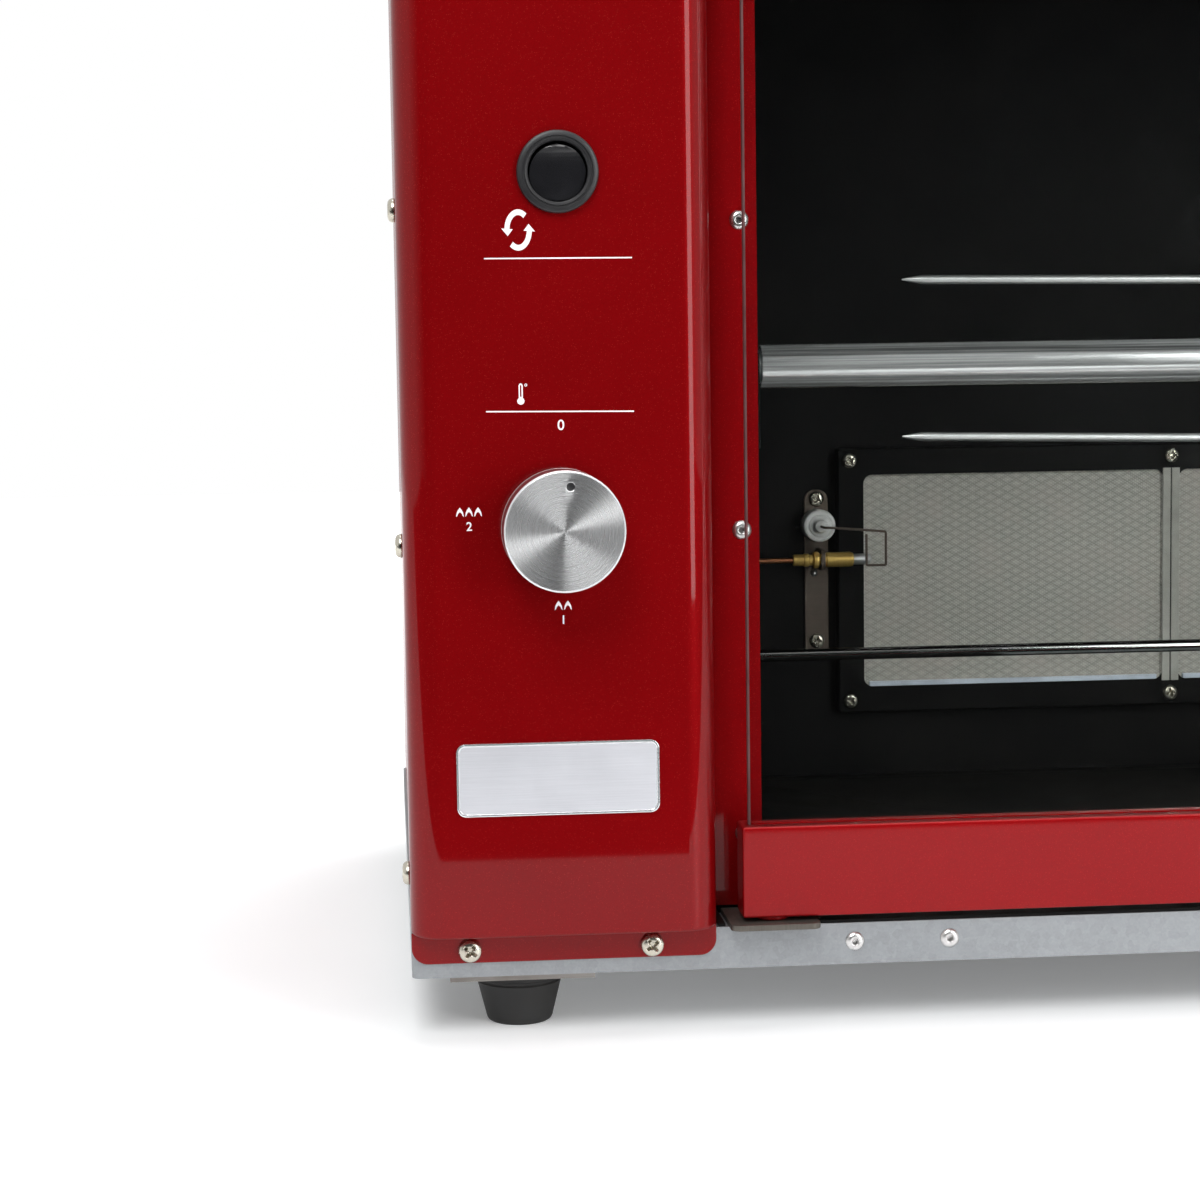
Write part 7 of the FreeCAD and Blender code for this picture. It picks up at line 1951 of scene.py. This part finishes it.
@dataclass
class Studio:
    """A pale table, a white surround and soft lamps."""

    table_front: float = -0.48
    lift: float = 0.17
    reach: float = 3.4
    surround: float = 1.0
    ambient: float = 0.36
    viewer_side: float = 0.012

    def table(self) -> None:
        """A pale table top that keeps the grill's shadow."""
        deselect()
        bpy.ops.mesh.primitive_plane_add(size=1.0, location=(0, 0, 0))
        floor = bpy.context.active_object
        floor.name = "table_top"
        floor.scale = (2 * self.reach, 2 * self.reach, 1)
        settle(floor)
        floor.data.materials.append(self._table_surface())

    def _table_surface(self) -> bpy.types.Material:
        """White laminate that fades into the surround; behind the viewer it mirrors dark."""
        made, wires = new_material("table_laminate")
        white = wires.blend(wires.noise(Scale=30.0, Detail=3.0), (0.90, 0.91, 0.92),
                            (0.94, 0.95, 0.955))
        where = wires.parts(wires.place())
        path = wires.node("LightPath").outputs
        deeper = wires.between(where["X"], 0.0, 0.034, -0.21, -0.19)
        front = wires.calc("LESS_THAN", wires.calc("ADD", where["Y"], deeper), self.table_front)
        mirrored = wires.calc("MAXIMUM", path["Is Glossy Ray"], path["Is Transmission Ray"])
        seen = wires.calc("MAXIMUM", path["Is Camera Ray"], mirrored)
        far = wires.between(where["Y"], self.lift, self.surround, 0.45, 1.3)
        reach = wires.node("VectorMath", {0: wires.place()}, operation="LENGTH").outputs["Value"]
        wide = wires.between(reach, 0.0, self.surround, 0.8, 1.5)
        glow = wires.calc("MAXIMUM", wires.times(seen, far),
                          wires.times(path["Is Camera Ray"], wide))
        top = wires.node("BsdfPrincipled", {
            "Base Color": white, "Roughness": 0.45, "Specular IOR Level": 0.3,
            "Emission Color": (1.0, 1.0, 1.0), "Emission Strength": glow})
        dark = wires.node("Emission", {"Color": (1.0, 1.0, 1.0), "Strength": self.viewer_side})
        mixed = wires.node("MixShader", {0: wires.times(front, path["Is Glossy Ray"]),
                                         1: top.outputs[0], 2: dark.outputs[0]})
        wires.node("OutputMaterial", {"Surface": mixed.outputs[0]})
        return made

    def sky(self) -> None:
        """White to the camera and to gloss, with the viewer's side of the room dark in gloss."""
        world = bpy.data.worlds.new("studio_surround")
        bpy.context.scene.world = world
        world.use_nodes = True
        world.node_tree.nodes.clear()
        wires = Wiring(world.node_tree)
        way = wires.parts(wires.node("TexCoord").outputs["Generated"])
        frontal = wires.between(way["Y"], self.viewer_side, 0.85, -0.88, -0.45)
        path = wires.node("LightPath").outputs
        gloss = wires.calc("MAXIMUM", path["Is Glossy Ray"], path["Is Transmission Ray"])
        plain = wires.blend(gloss, (self.ambient,) * 3, frontal)
        seen = wires.blend(path["Is Camera Ray"], plain, (self.surround,) * 3)
        sky = wires.node("Background", {"Color": seen, "Strength": 1.0})
        wires.node("OutputWorld", {"Surface": sky.outputs[0]})

    def lamp(self, name: str, place: Point, aim: Point, size: tuple[float, float],
             watts: float) -> None:
        """A rectangular soft lamp that looks at a point of the frame."""
        deselect()
        bpy.ops.object.light_add(type="AREA", location=place)
        lamp = bpy.context.active_object
        lamp.name = name
        lamp.data.shape = "RECTANGLE"
        lamp.data.size, lamp.data.size_y = size
        lamp.data.energy = watts
        look = Vector(aim) - Vector(place)
        lamp.rotation_euler = look.to_track_quat("-Z", "Y").to_euler()
        lamp.visible_camera = False

    def build(self) -> None:
        """Set the table, the surround and the lamps."""
        self.table()
        self.sky()
        self.lamp("key_softbox", (-0.85, -1.75, 2.0), (-0.2, 0.0, 0.15), (1.0, 1.4), 44.0)
        self.lamp("right_softbox", (0.59, -1.3, 0.5), (-0.25, -0.15, 0.2), (0.44, 1.2), 10.5)
        self.lamp("edge_strip", (2.1, -0.33, 0.25), (-0.25, -0.15, 0.2), (0.11, 1.2), 1.6)
        self.lamp("top_softbox", (0.3, 0.2, 2.4), (0.0, 0.1, 0.2), (2.2, 1.6), 34.0)
        self.lamp("rear_fill", (0.9, 2.2, 1.4), (0.0, 0.2, 0.2), (1.6, 1.2), 18.0)


@dataclass
class PhotoCamera:
    """The photograph's viewpoint."""

    place: Point = (-0.34946, -0.97299, 0.22326)
    yaw: float = 4.823
    pitch: float = 5.48
    roll: float = -0.862
    lens: float = 75.0
    film: float = 36.0

    def build(self) -> None:
        """Set the camera and make it the scene's own."""
        yaw, pitch, roll = (math.radians(a) for a in (self.yaw, self.pitch, self.roll))
        ahead = Vector((math.sin(yaw) * math.cos(pitch), math.cos(yaw) * math.cos(pitch),
                        -math.sin(pitch)))
        level = Vector((math.cos(yaw), -math.sin(yaw), 0.0))
        upright = level.cross(ahead)
        right = level * math.cos(roll) + upright * math.sin(roll)
        up = upright * math.cos(roll) - level * math.sin(roll)
        turn = Matrix((right, up, -ahead)).transposed().to_4x4()
        deselect()
        bpy.ops.object.camera_add()
        camera = bpy.context.active_object
        camera.name = "photo_camera"
        camera.matrix_world = Matrix.Translation(Vector(self.place)) @ turn
        camera.data.lens = self.lens
        camera.data.sensor_width = self.film
        camera.data.clip_start = 0.01
        bpy.context.scene.camera = camera
        bpy.context.scene.view_settings.view_transform = "Standard"


def main() -> None:
    """Build the grill in order and log each step."""
    logging.basicConfig(level=logging.INFO, format="%(message)s")
    assemblies = (PhotoCamera(), Studio(), ColumnCovers(), LidCover(), Feet(), Door(), Controls(),
                  Fasteners(), Burner(), Igniter(), Spit(), GasInlet(), Print(), CarriedOver())
    for assembly in assemblies:
        assembly.build()
        LOG.info("built %s", type(assembly).__name__)
    deselect()


if __name__ == "__main__":
    main()
